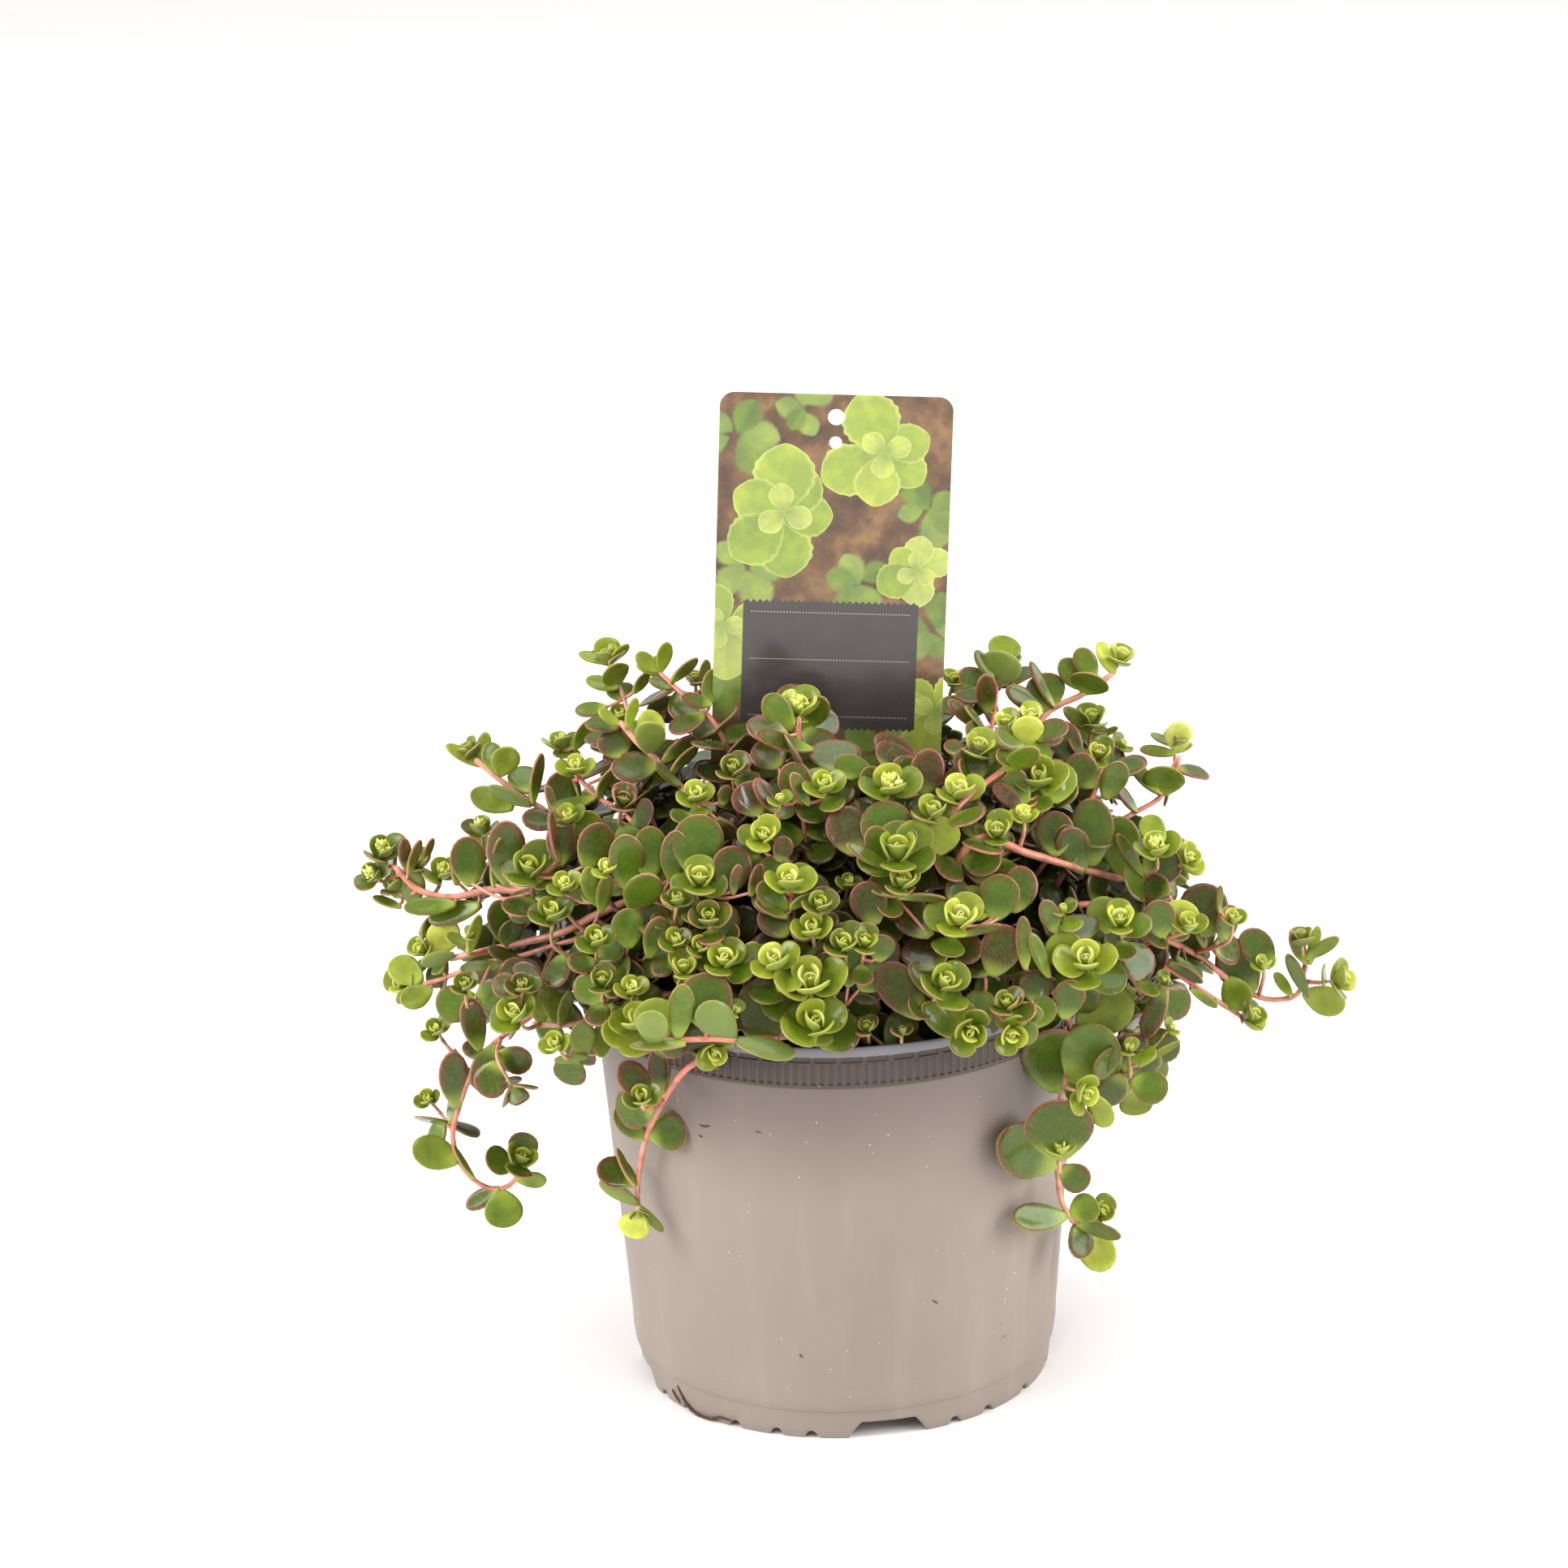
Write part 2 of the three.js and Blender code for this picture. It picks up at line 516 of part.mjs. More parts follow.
      [1205, 960, 1188, 920, 46, 20, 6, 0.9], [1165, 985, 1125, 985, 30, 40, 4, 0.5],
      [1180, 930, 1168, 910, 24, 35, 6, 0.8],
    ],
  },
  upper_right_c: {
    stem: [
      [1170, 1010, -56], [1210, 968, -44], [1237, 948, -38], [1258, 925, -33], [1268, 900, -30],
    ],
    tips: [
      [1271, 880, 38, 85, 42, 0.05, 0], [1240, 888, 38, 100, 48, 0.15, 0],
    ],
    leaves: [
      [1268, 916, 1221, 903, 26, 45, -4, 0.5], [1282, 918, 1227, 940, 22, 50, -5, 0.5],
      [1326, 938, 1296, 891, 46, 12, 6, 0.9], [1305, 945, 1275, 917, 32, 35, 3, 0.9],
    ],
  },
  right_face: {
    tips: [
      [1280, 955, 60, 95, 40, 0.15, 0], [1229, 1022, 46, 95, 40, 0.15, 0],
    ],
    leaves: [
      [1264, 987, 1239, 948, 36, 25, 2, 0.55], [1298, 987, 1302, 938, 52, 15, 8, 0.4],
      [1262, 998, 1223, 968, 24, 45, 0, 0.95], [1230, 1050, 1200, 1020, 14, 60, 0, 0.5],
    ],
  },
  right_face_b: {
    stem: [
      [1320, 1060, -25], [1345, 985, -14], [1358, 952, -12],
    ],
    tips: [
      [1355, 927, 42, 95, 36, 0.15, 0], [1345, 882, 46, 85, 58, 0.2, 8],
      [1384, 915, 26, 60, 48, 0.15, 0],
    ],
    leaves: [
      [1352, 967, 1315, 934, 44, 15, 2, 0.8], [1362, 982, 1382, 936, 34, 25, 0, 0.45],
      [1338, 928, 1338, 888, 56, 15, 8, 0.6], [1345, 900, 1309, 873, 20, 45, 4, 0.5],
      [1360, 905, 1377, 895, 10, 50, 0, 0.5],
    ],
  },
  right_big: {
    tips: [
      [1380, 1130, 48, 85, 38, 0.1, 0], [1338, 1180, 62, 95, 36, 0.1, 0],
      [1310, 1118, 28, 90, 42, 0.15, 6],
    ],
    leaves: [
      [1366, 1147, 1352, 1106, 42, 20, 6, 0.4], [1325, 1162, 1315, 1130, 68, 20, 10, 0.7],
      [1318, 1192, 1303, 1148, 48, 20, 4, 0.35], [1291, 1202, 1268, 1151, 20, 40, 0, 0.5],
      [1263, 1192, 1258, 1129, 22, 35, 2, 0.6], [1222, 1200, 1242, 1139, 50, 15, 5, 0.95],
      [1300, 1147, 1284, 1108, 26, 25, -1, 0.65], [1312, 1252, 1320, 1204, 40, 20, -2, 0.65],
    ],
  },
  right_mid_b: {
    tips: [
      [1465, 1138, 38, 80, 48, 0.15, 0],
    ],
    leaves: [
      [1432, 1152, 1424, 1107, 40, 15, 0, 0.6], [1450, 1152, 1458, 1108, 46, 15, 4, 0.25],
      [1450, 1147, 1424, 1121, 12, 55, 0, 0.4], [1440, 1100, 1410, 1090, 36, 20, 8, 0.75],
    ],
  },
  centre: {
    tips: [
      [972, 1083, 52, 85, 45, 0.1, 0],
    ],
    leaves: [
      [968, 1120, 932, 1089, 32, 30, 0, 0.55], [982, 1095, 993, 1064, 36, 20, 4, 0.4],
      [968, 1130, 930, 1112, 16, 55, 0, 0.6], [968, 1152, 940, 1118, 42, 25, 5, 0.9],
      [975, 1118, 1000, 1101, 16, 55, -3, 0.5],
    ],
  },
  centre_b: {
    tips: [
      [1113, 1084, 46, 80, 45, 0.2, 0],
    ],
    leaves: [
      [1108, 1104, 1075, 1100, 10, 70, -3, 0.5], [1108, 1105, 1166, 1104, 13, 65, 0, 0.5],
      [1145, 1152, 1108, 1112, 46, 20, 10, 0.95], [1090, 1100, 1080, 1075, 30, 25, 3, 0.6],
    ],
  },
  centre_right: {
    tips: [
      [1183, 1128, 60, 90, 40, 0.05, 0],
    ],
    leaves: [
      [1202, 1132, 1203, 1092, 52, 15, 8, 0.35], [1225, 1132, 1235, 1076, 50, 12, 4, 0.55],
      [1248, 1122, 1262, 1068, 44, 15, 8, 0.75], [1215, 1090, 1213, 1061, 56, 20, 12, 0.85],
      [1186, 1152, 1232, 1137, 13, 60, -3, 0.5], [1172, 1110, 1182, 1083, 28, 25, 6, 0.6],
    ],
  },
  left_centre: {
    tips: [
      [862, 1080, 52, 90, 38, 0.15, 0], [834, 1106, 36, 90, 48, 0.3, 0],
      [873, 1128, 46, 100, 42, 0.4, 0],
    ],
    leaves: [
      [897, 1098, 905, 1042, 48, 12, 6, 0.75], [903, 1100, 909, 1066, 16, 45, 0, 0.75],
      [925, 1102, 937, 1063, 18, 45, 3, 0.85], [878, 1155, 900, 1115, 44, 20, 6, 0.6],
    ],
  },
  left_centre_b: {
    tips: [
      [833, 1157, 36, 90, 36, 0.25, 0], [864, 1165, 34, 80, 36, 0.2, 0],
      [842, 1190, 42, 80, 40, 0.1, 0], [893, 1180, 52, 95, 38, 0.15, 0],
    ],
    leaves: [
      [915, 1195, 930, 1158, 28, 30, 0, 0.4],
    ],
  },
  left_centre_c: {
    tips: [
      [748, 1068, 34, 90, 42, 0, 0], [735, 1155, 44, 95, 40, 0.2, 0],
    ],
    leaves: [
      [775, 1094, 768, 1025, 44, 8, 0, 0.5], [800, 1082, 800, 1017, 42, 15, 6, 0.5],
      [828, 1084, 833, 1021, 34, 12, 2, 0.6], [858, 1078, 862, 1002, 62, 10, 6, 0.6],
      [780, 1120, 803, 1072, 46, 155, -6, 0.5], [775, 1165, 771, 1117, 42, 10, 0, 0.5],
      [805, 1155, 806, 1112, 46, 15, 8, 0.9], [800, 1177, 815, 1127, 30, 15, 0, 0.55],
    ],
  },
  left_centre_d: {
    tips: [
      [742, 1207, 42, 95, 40, 0.35, 0], [779, 1216, 38, 90, 40, 0.1, 0],
      [680, 1122, 48, 95, 48, 0.25, 0], [695, 1088, 38, 100, 42, 0.15, 0],
    ],
    leaves: [
      [735, 1113, 722, 1066, 26, 15, 0, 0.4], [740, 1122, 748, 1075, 20, 25, 0, 0.5],
      [790, 1240, 810, 1215, 30, 30, 3, 0.5],
    ],
  },
  upper_dark: {
    tips: [
      [857, 977, 42, 90, 40, 0.1, 0], [903, 945, 42, 95, 42, 0.4, 0], [941, 1027, 42, 80, 30, 0.1, 0],
    ],
    leaves: [
      [935, 1003, 914, 965, 46, 15, 5, 1], [957, 1000, 930, 961, 24, 40, 0, 0.9],
      [885, 1010, 905, 1040, 30, 40, 3, 0.95], [890, 990, 895, 968, 20, 50, 0, 0.6],
      [960, 1060, 968, 1030, 26, 30, 4, 0.9],
    ],
  },};

// Shoots of the side away from the photo: [turn round the pot, height over the rim], in degrees
const backShoots = {
  back_low_1: [12, 6], back_low_2: [50, 8], back_low_3: [90, 6], back_low_4: [130, 8], back_low_5: [168, 6],
  back_middle_1: [30, 32], back_middle_2: [70, 34], back_middle_3: [110, 32], back_middle_4: [150, 34],
  back_top_1: [48, 58], back_top_2: [90, 60], back_top_3: [132, 58],
};
const backTips = { around: 4, spacing: 23, unevenness: 6, lift: 0.5, width: 15 };
const backLeafLength = 17;
const backTrail = { turn: 72, tip: 6, way: [[60, 168], [92, 158], [96, 128], [100, 104], [96, 82]] };
const firstSeed = 100;

const colours = { pot: 0xb9a79c, soil: 0x2b211b, label: 0x8a9a4a, leaf: 0x6f8f2c };

// Numbers from 0 to 1 that come out the same each time
function makeRandom(seed) {
  let state = seed;
  return () => {
    state = (state * 1664525 + 1013904223) % 4294967296;
    return state / 4294967296;
  };
}

// Pixels and millimetres

const cameraBasis = makeCameraBasis();

function makeCameraBasis() {
  const target = new THREE.Vector3(0, 0, aimHeight);
  const offset = new THREE.Vector3(0, -Math.cos(cameraRise), Math.sin(cameraRise));
  const eye = target.clone().addScaledVector(offset, cameraDistance);
  const forward = offset.clone().negate();
  const right = new THREE.Vector3(1, 0, 0);
  const down = new THREE.Vector3().crossVectors(forward, right);
  const aim = new THREE.Vector3(aimPixel[0] - frameSize / 2, aimPixel[1] - frameSize / 2, lensPixels).normalize();
  const turn = new THREE.Matrix4().makeBasis(right, down, forward);
  turn.multiply(new THREE.Matrix4().makeRotationZ(-cameraRoll));
  turn.multiply(new THREE.Matrix4().makeRotationX(Math.asin(aim.y)));
  turn.multiply(new THREE.Matrix4().makeRotationY(-Math.atan2(aim.x, aim.z)));
  return { eye, turn, inverse: turn.clone().invert() };
}

function pixelRay(u, v) {
  const ray = new THREE.Vector3(u - frameSize / 2, v - frameSize / 2, lensPixels);
  return ray.applyMatrix4(cameraBasis.turn).normalize();
}

function toPixel(point) {
  const seen = point.clone().sub(cameraBasis.eye).applyMatrix4(cameraBasis.inverse);
  return [
    (lensPixels * seen.x) / seen.z + frameSize / 2,
    (lensPixels * seen.y) / seen.z + frameSize / 2,
  ];
}

function atDepth(u, v, depth) {
  const ray = pixelRay(u, v);
  const reach = (depth - cameraBasis.eye.y) / ray.y;
  return cameraBasis.eye.clone().addScaledVector(ray, reach);
}

// Where a pixel meets the mound, or comes nearest to it
function onMound(u, v, setBack = 0) {
  const ray = pixelRay(u, v);
  const start = cameraBasis.eye.clone().sub(mound.centre).divide(mound.radii);
  const way = ray.clone().divide(mound.radii);
  const a = way.dot(way);
  const b = start.dot(way);
  const rest = b * b - a * (start.dot(start) - 1);
  const reach = rest > 0 ? (-b - Math.sqrt(rest)) / a : -b / a;
  return cameraBasis.eye.clone().addScaledVector(ray, reach + setBack);
}

// A direction in the picture: lean is its angle in the image, tilt its angle from the way to the camera
function screenDirection(point, lean, tilt) {
  const toCamera = cameraBasis.eye.clone().sub(point).normalize();
  const right = new THREE.Vector3().setFromMatrixColumn(cameraBasis.turn, 0);
  const up = new THREE.Vector3().setFromMatrixColumn(cameraBasis.turn, 1).negate();
  const across = right.multiplyScalar(Math.cos(lean)).addScaledVector(up, Math.sin(lean));
  return toCamera.multiplyScalar(Math.cos(tilt)).addScaledVector(across, Math.sin(tilt)).normalize();
}

// Solids and geometries

function toSolid(geometry) {
  geometry.deleteAttribute('normal');
  geometry.deleteAttribute('uv');
  const merged = mergeVertices(geometry, 1e-4);
  return new wasm.Manifold(new wasm.Mesh({
    numProp: 3,
    vertProperties: merged.attributes.position.array,
    triVerts: new Uint32Array(merged.index.array),
  }));
}

function toGeometry(solid) {
  const mesh = solid.getMesh();
  const position = new Float32Array(mesh.numVert * 3);
  for (let i = 0; i < mesh.numVert; i += 1) {
    for (let axis = 0; axis < 3; axis += 1) {
      position[i * 3 + axis] = mesh.vertProperties[i * mesh.numProp + axis];
    }
  }
  const geometry = new THREE.BufferGeometry();
  geometry.setAttribute('position', new THREE.BufferAttribute(position, 3));
  geometry.setIndex(Array.from(mesh.triVerts));
  const faceted = geometry.toNonIndexed();
  faceted.computeVertexNormals();
  return faceted;
}

function fanSolid(rim, top, bottom) {
  const corners = [...rim, top, bottom];
  const faces = [];
  rim.forEach((_, i) => {
    const next = (i + 1) % rim.length;
    faces.push(i, next, rim.length, next, i, rim.length + 1);
  });
  const geometry = new THREE.BufferGeometry().setFromPoints(corners);
  geometry.setIndex(faces);
  return toSolid(geometry);
}

// A stem through the points, with a rosette on its end as a cup with a dished top if it carries one
function stemSolid({ points, radius, sides, step, tip }, margin = 0) {
  const steps = stepsOf({ points, step });
  const curve = curveThrough(points);
  const knots = curve.getSpacedPoints(steps);
  const frames = curve.computeFrenetFrames(steps);
  const corners = [];
  const addRing = (middle, across, other, size) => {
    for (let i = 0; i < sides; i += 1) {
      const turn = (2 * Math.PI * i) / sides;
      corners.push(middle.clone()
        .addScaledVector(across, size * Math.cos(turn))
        .addScaledVector(other, size * Math.sin(turn)));
    }
  };
  knots.forEach((knot, i) => addRing(knot, frames.normals[i], frames.binormals[i], radius + margin));
  let last = knots[steps];
  if (tip) {
    const across = frames.normals[steps].clone().addScaledVector(tip.axis, -frames.normals[steps].dot(tip.axis));
    const other = new THREE.Vector3().crossVectors(tip.axis, across.normalize());
    const rim = last.clone().addScaledVector(tip.axis, cupDepth * tip.radius);
    addRing(rim, across, other, tip.radius + margin);
    last = rim.addScaledVector(tip.axis, margin - cupDish * tip.radius);
  }
  const rings = corners.length / sides;
  const faces = [];
  for (let i = 0; i < sides; i += 1) {
    const next = (i + 1) % sides;
    faces.push(corners.length, next, i);
    for (let ring = 0; ring < rings - 1; ring += 1) {
      const low = ring * sides;
      faces.push(low + i, low + next, low + sides + next, low + i, low + sides + next, low + sides + i);
    }
    faces.push((rings - 1) * sides + i, (rings - 1) * sides + next, corners.length + 1);
  }
  const geometry = new THREE.BufferGeometry().setFromPoints([...corners, knots[0], last]);
  geometry.setIndex(faces);
  return toSolid(geometry);
}

// A flat blade on a stalk from its foot to its tip, grown all round by a margin when it is tested for room
function leafSolid({ foot, tip, width, face, blade }, margin = 0) {
  const along = tip.clone().sub(foot);
  const length = along.length() + margin;
  along.normalize();
  const side = new THREE.Vector3().crossVectors(along, face).normalize();
  const up = new THREE.Vector3().crossVectors(side, along);
  const place = (share, across, rise) => foot.clone()
    .addScaledVector(along, share * length)
    .addScaledVector(side, across * (width + 2 * margin))
    .addScaledVector(up, rise);
  const widest = 1 - widestAt * blade;
  const end = 1 - 0.05 * blade;
  const rim = [
    place(0, 0, 0),
    place(widest, bladeHalf, 0),
    place(end, bladeEnd, 0),
    place(end, -bladeEnd, 0),
    place(widest, -bladeHalf, 0),
  ];
  const half = leafThickness / 2 + margin;
  return fanSolid(rim, place(widest, 0, half), place(widest, 0, -half));
}

// Pot, soil and label

function latheSolid(profile, segments) {
  const points = profile.map(([radius, height]) => new THREE.Vector2(radius, height));
  const geometry = new THREE.LatheGeometry(points, segments);
  geometry.rotateX(Math.PI / 2);
  return toSolid(geometry);
}

function bodyRadius(height) {
  return bodyTopRadius - bodyTaper * (bandBottom - height);
}

function makePot() {
  const bend = bodyRadius(bendHeight);
  const foot = footRadius + stepInset;
  const profile = [
    [0, floorTop - wall],
    [footRadius - footWidth, floorTop - wall],
    [footRadius - footWidth, 0],
    [footRadius, 0],
    [foot, stepHeight],
    [foot + stepInset, stepHeight + 0.4],
    [bend, bendHeight],
    [bodyTopRadius, bandBottom],
    [bandRadius, bandBottom],
    [bandRadius, lipBottom],
    [rimRadius, lipBottom],
    [rimRadius, rimTop],
    [rimRadius - wall, rimTop],
    [bodyTopRadius - wall, bandBottom],
    [bend - wall, bendHeight],
    [foot - wall, floorTop],
    [0, floorTop],
  ];
  let pot = latheSolid(profile, potSegments);
  for (let i = 0; i < slotCount; i += 1) {
    const start = slotTurn + (i * 360) / slotCount;
    pot = pot.subtract(footCut(start, slotWidth, slotHeight));
    for (const turn of notchTurns) pot = pot.subtract(footCut(start + turn, notchWidth, notchHeight));
  }
  return pot;
}

// A radial gap through the foot ring, its turn counted from the front to the right
function footCut(turn, width, height) {
  const box = new THREE.BoxGeometry(width, footWidth * 3, height * 2);
  box.translate(0, -footRadius + footWidth / 2, 0);
  box.rotateZ(THREE.MathUtils.degToRad(turn));
  return toSolid(box);
}

function makeSoil() {
  const inner = (height) => bodyRadius(height) - wall - clearance;
  const soil = latheSolid([
    [0, floorTop + clearance],
    [footRadius + stepInset - wall - 1, floorTop + clearance],
    [inner(bendHeight) - 0.4, bendHeight],
    [inner(soilTop) - 0.3, soilTop - 2],
    [soilShoulder, soilTop],
    [0, soilTop + soilCrown],
  ], potSegments);
  const grown = label.thickness + 2 * clearance;
  return soil.subtract(labelSolid(labelOutline(clearance), grown));
}

function arcPoints(x, y, radius, from, to, steps) {
  const points = [];
  for (let i = 0; i <= steps; i += 1) {
    const turn = THREE.MathUtils.degToRad(from + ((to - from) * i) / steps);
    points.push(new THREE.Vector2(x + radius * Math.cos(turn), y + radius * Math.sin(turn)));
  }
  return points;
}

function labelOutline(margin = 0) {
  const { corner } = label;
  const half = label.width / 2 + margin;
  const stake = label.stakeWidth / 2 + margin;
  const low = -label.height - margin;
  const end = low - label.stakeHeight - margin;
  const at = (x, y) => new THREE.Vector2(x, y);
  return new THREE.Shape([
    ...arcPoints(half - corner, margin - corner, corner, 90, 0, 3),
    at(half, low + corner),
    at(half - corner, low),
    at(stake, low - corner),
    at(stake, end + label.pointHeight),
    at(0, end),
    at(-stake, end + label.pointHeight),
    at(-stake, low - corner),
    at(-half + corner, low),
    at(-half, low + corner),
    ...arcPoints(corner - half, margin - corner, corner, 180, 90, 3),
  ]);
}

function labelSolid(outline, thickness) {
  const geometry = new THREE.ExtrudeGeometry(outline, { depth: thickness, bevelEnabled: false, curveSegments: 3 });
  geometry.translate(0, 0, -thickness / 2);
  geometry.rotateX(Math.PI / 2);
  geometry.rotateY(THREE.MathUtils.degToRad(-label.lean));
  geometry.translate(label.x, label.y, label.top);
  return toSolid(geometry);
}

function makeLabel() {
  const outline = labelOutline();
  for (const [across, down, radius] of label.holes) {
    const points = [];
    for (let i = 0; i < label.holeSides; i += 1) {
      const turn = (2 * Math.PI * i) / label.holeSides;
      points.push(new THREE.Vector2(across + radius * Math.cos(turn), radius * Math.sin(turn) - down));
    }
    outline.holes.push(new THREE.Path(points));
  }
  return labelSolid(outline, label.thickness);
}

// Shoots

function reachOf(point) {
  return Math.hypot(point.x, point.y);
}

// The tips of a front shoot as rosettes: centre, axis and radius
function frontTips(rows) {
  return rows.map(([u, v, width, lean, tilt, , setBack]) => {
    const centre = onMound(u, v, setBack);
    const axis = screenDirection(centre, THREE.MathUtils.degToRad(lean), THREE.MathUtils.degToRad(tilt));
    return { centre, axis, radius: width / 2 / pixelsPerMm };
  });
}

function rosetteFoot({ centre, axis, radius }) {
  return centre.clone().addScaledVector(axis, -cupDepth * radius);
}

// The point just above the soil at a place across
function onSoil(point) {
  const share = Math.min(1, reachOf(point) / soilShoulder);
  return point.clone().setZ(soilTop + soilCrown * (1 - share) + clearance);
}

// Where a shoot leaves the soil: under the point it grows to, drawn in towards the middle
function rootUnder(point, share) {
  return onSoil(new THREE.Vector3(point.x, point.y, 0).multiplyScalar(share).clampLength(0, rootLimit));
}

// A main stem as its root and what it passes, over the rim where it goes outside; loose points can be moved
function mainFrom(root, points, loose = 0) {
  const first = points[0];
  if (reachOf(first) < rimRadius - rimMargin || first.z > rimTop + rimRise) return { root, points, loose };
  const over = new THREE.Vector3(first.x, first.y, 0).setLength(rimRadius - rimMargin);
  over.z = rimTop + rimLift + THREE.MathUtils.clamp(first.z - rimTop, 0, rimRise / 2);
  return { root, points: [over, ...points], loose: loose + 1 };
}

// The main stem of a shoot: as picked, or from under its tips to where it forks
function layMain(tips, picked) {
  if (picked) {
    const points = picked.map(([u, v, depth]) => atDepth(u, v, depth));
    return mainFrom(rootUnder(points[0], pickedRootShare), points);
  }
  const middle = tips.reduce((sum, tip) => sum.add(tip.centre), new THREE.Vector3()).divideScalar(tips.length);
  const root = rootUnder(middle, rootShare);
  const outside = reachOf(middle) > rimRadius;
  if (tips.length === 1) {
    const foot = rosetteFoot(tips[0]);
    return outside ? mainFrom(root, [foot]) : mainFrom(root, [riseBetween(root, foot), foot], 1);
  }
  if (outside && middle.z < rimTop + rimRise) {
    const fork = new THREE.Vector3(middle.x, middle.y, 0);
    fork.setLength(Math.max(reachOf(middle) - forkShort, rimRadius + rimMargin));
    fork.z = Math.max(middle.z, rimTop - forkShort);
    return mainFrom(root, [fork], 1);
  }
  const fork = root.clone().lerp(middle, forkShare);
  return mainFrom(root, [riseBetween(root, fork), fork], 2);
}

function riseBetween(root, end) {
  const rise = root.clone().lerp(end, 0.5);
  rise.z += riseShare * root.distanceTo(end);
  return rise;
}

function branchPath(start, tip) {
  const foot = rosetteFoot(tip);
  const bend = foot.clone().addScaledVector(tip.axis, -branchBend * start.distanceTo(foot));
  return [start, bend, foot];
}

function curveThrough(points) {
  return new THREE.CatmullRomCurve3(points, false, 'centripetal');
}

function stepsOf({ points, step }) {
  const length = points.slice(1).reduce((sum, point, i) => sum + point.distanceTo(points[i]), 0);
  return Math.max(2, Math.round(length / step));
}

// Points on the straight runs that a stem is made of
function pointsOn(stem) {
  const knots = curveThrough(stem.points).getSpacedPoints(stepsOf(stem));
  return knots.slice(1).flatMap((knot, i) => runShares.map((share) => knots[i].clone().lerp(knot, share)));
}

function nearest(places, point) {
  return places.reduce((best, each) => (each.distanceTo(point) < best.distanceTo(point) ? each : best));
}

// A picked leaf, on a stalk from the nearest place of its shoot's stems
function pickedLeaf([u, v, tipU, tipV, width, turn, depth], places, onStem) {
  const wanted = onMound(u, v, leafSetBack);
  const miss = (place) => {
    const [x, y] = toPixel(place);
    const across = Math.hypot(x - u, y - v) / pixelsPerMm;
    return onStem ? across : Math.hypot(across, (place.y - wanted.y) * depthWeight);
  };
  const start = places.reduce((best, each) => (miss(each) < miss(best) ? each : best));
  const foot = onStem ? atDepth(u, v, start.y) : wanted;
  const tip = atDepth(tipU, tipV, foot.y + depth);
  const along = tip.clone().sub(start).normalize();
  const face = cameraBasis.eye.clone().sub(foot).normalize();
  face.applyAxisAngle(along, THREE.MathUtils.degToRad(turn));
  const blade = Math.min(1, tip.distanceTo(foot) / tip.distanceTo(start));
  return { foot: start, tip, face, width: width / pixelsPerMm, blade };
}

// A pair of leaves on opposite sides of the stem, a little below a rosette
function leafPair(tip, places, length, turn) {
  const foot = nearest(places, rosetteFoot(tip).addScaledVector(tip.axis, -pairDrop));
  const side = new THREE.Vector3(0, 0, 1).cross(tip.axis);
  if (side.lengthSq() < 1e-4) side.set(1, 0, 0);
  side.normalize().applyAxisAngle(tip.axis, turn);
  return [1, -1].map((sign) => {
    const out = side.clone().multiplyScalar(sign * Math.cos(pairSlope));
    const along = out.addScaledVector(tip.axis, Math.sin(pairSlope));
    const face = tip.axis.clone().addScaledVector(along, -along.dot(tip.axis)).normalize();
    return { foot, tip: foot.clone().addScaledVector(along, length), face, width: length * pairWidth, blade: 1 };
  });
}

// The tips of a shoot of the far side, round a place on the back mound
function backTipsOf([turn, height], random) {
  const a = THREE.MathUtils.degToRad(turn);
  const h = THREE.MathUtils.degToRad(height);
  const out = new THREE.Vector3(Math.cos(a) * Math.cos(h), Math.sin(a) * Math.cos(h), Math.sin(h));
  const middle = out.clone().multiply(backMound.radii).add(backMound.centre);
  const side = new THREE.Vector3(0, 0, 1).cross(out).normalize();
  const up = new THREE.Vector3().crossVectors(out, side);
  const tips = [];
  for (let i = 0; i <= backTips.around; i += 1) {
    const angle = (2 * Math.PI * (i + 0.6 * random())) / backTips.around;
    const reach = i === backTips.around ? 0 : backTips.spacing * (0.85 + 0.3 * random());
    const centre = middle.clone()
      .addScaledVector(side, reach * Math.cos(angle))
      .addScaledVector(up, reach * Math.sin(angle))
      .addScaledVector(out, -backTips.unevenness * random());
    const axis = out.clone().addScaledVector(side, 0.5 * (random() - 0.5));
    axis.z += backTips.lift;
    tips.push({ centre, axis: axis.normalize(), radius: backTips.width * (0.35 + 0.3 * random()) });
  }
  return tips;
}

function frontShoot(name, rows) {
  const tips = frontTips(rows.tips);
  const picked = Boolean(rows.stem);
  return {
    name: `shoot_${name}`,
    tips,
    main: layMain(tips, rows.stem),
    single: tips.length === 1 && !picked,
    step: picked ? stemStep : hiddenStep,
    leaves: (places) => (rows.leaves ?? []).map((row) => pickedLeaf(row, places, picked)),
  };
}

function backShoot(name, place, seed) {
  const random = makeRandom(seed);
  const tips = backTipsOf(place, random);
  return {
    name: `shoot_${name}`,
    tips,
    main: layMain(tips),
    step: hiddenStep,
    leaves: (places, kept) => kept.filter((_, i) => i % 2).flatMap((tip) => (
      leafPair(tip, places, backLeafLength * (0.88 + 0.24 * random()), Math.PI * random())
    )),
  };
}

function trailingBackShoot() {
  const turn = THREE.MathUtils.degToRad(backTrail.turn);
  const at = ([reach, height]) => new THREE.Vector3(reach * Math.cos(turn), reach * Math.sin(turn), height);
  const points = backTrail.way.map(at);
  const axis = at([1, 0.4]).normalize();
  const tip = { centre: points[points.length - 1].clone().addScaledVector(axis, 9), axis, radius: backTrail.tip };
  const down = new THREE.Vector3(0, 0, -1);
  return {
    name: 'shoot_back_trail',
    tips: [tip],
    main: mainFrom(rootUnder(points[0], pickedRootShare), points),
    step: stemStep,
    leaves: (places) => points.slice(1).flatMap((centre, i) => (
      leafPair({ centre, axis: down, radius: 1 }, places, backLeafLength, i * 1.5)
    )),
  };
}

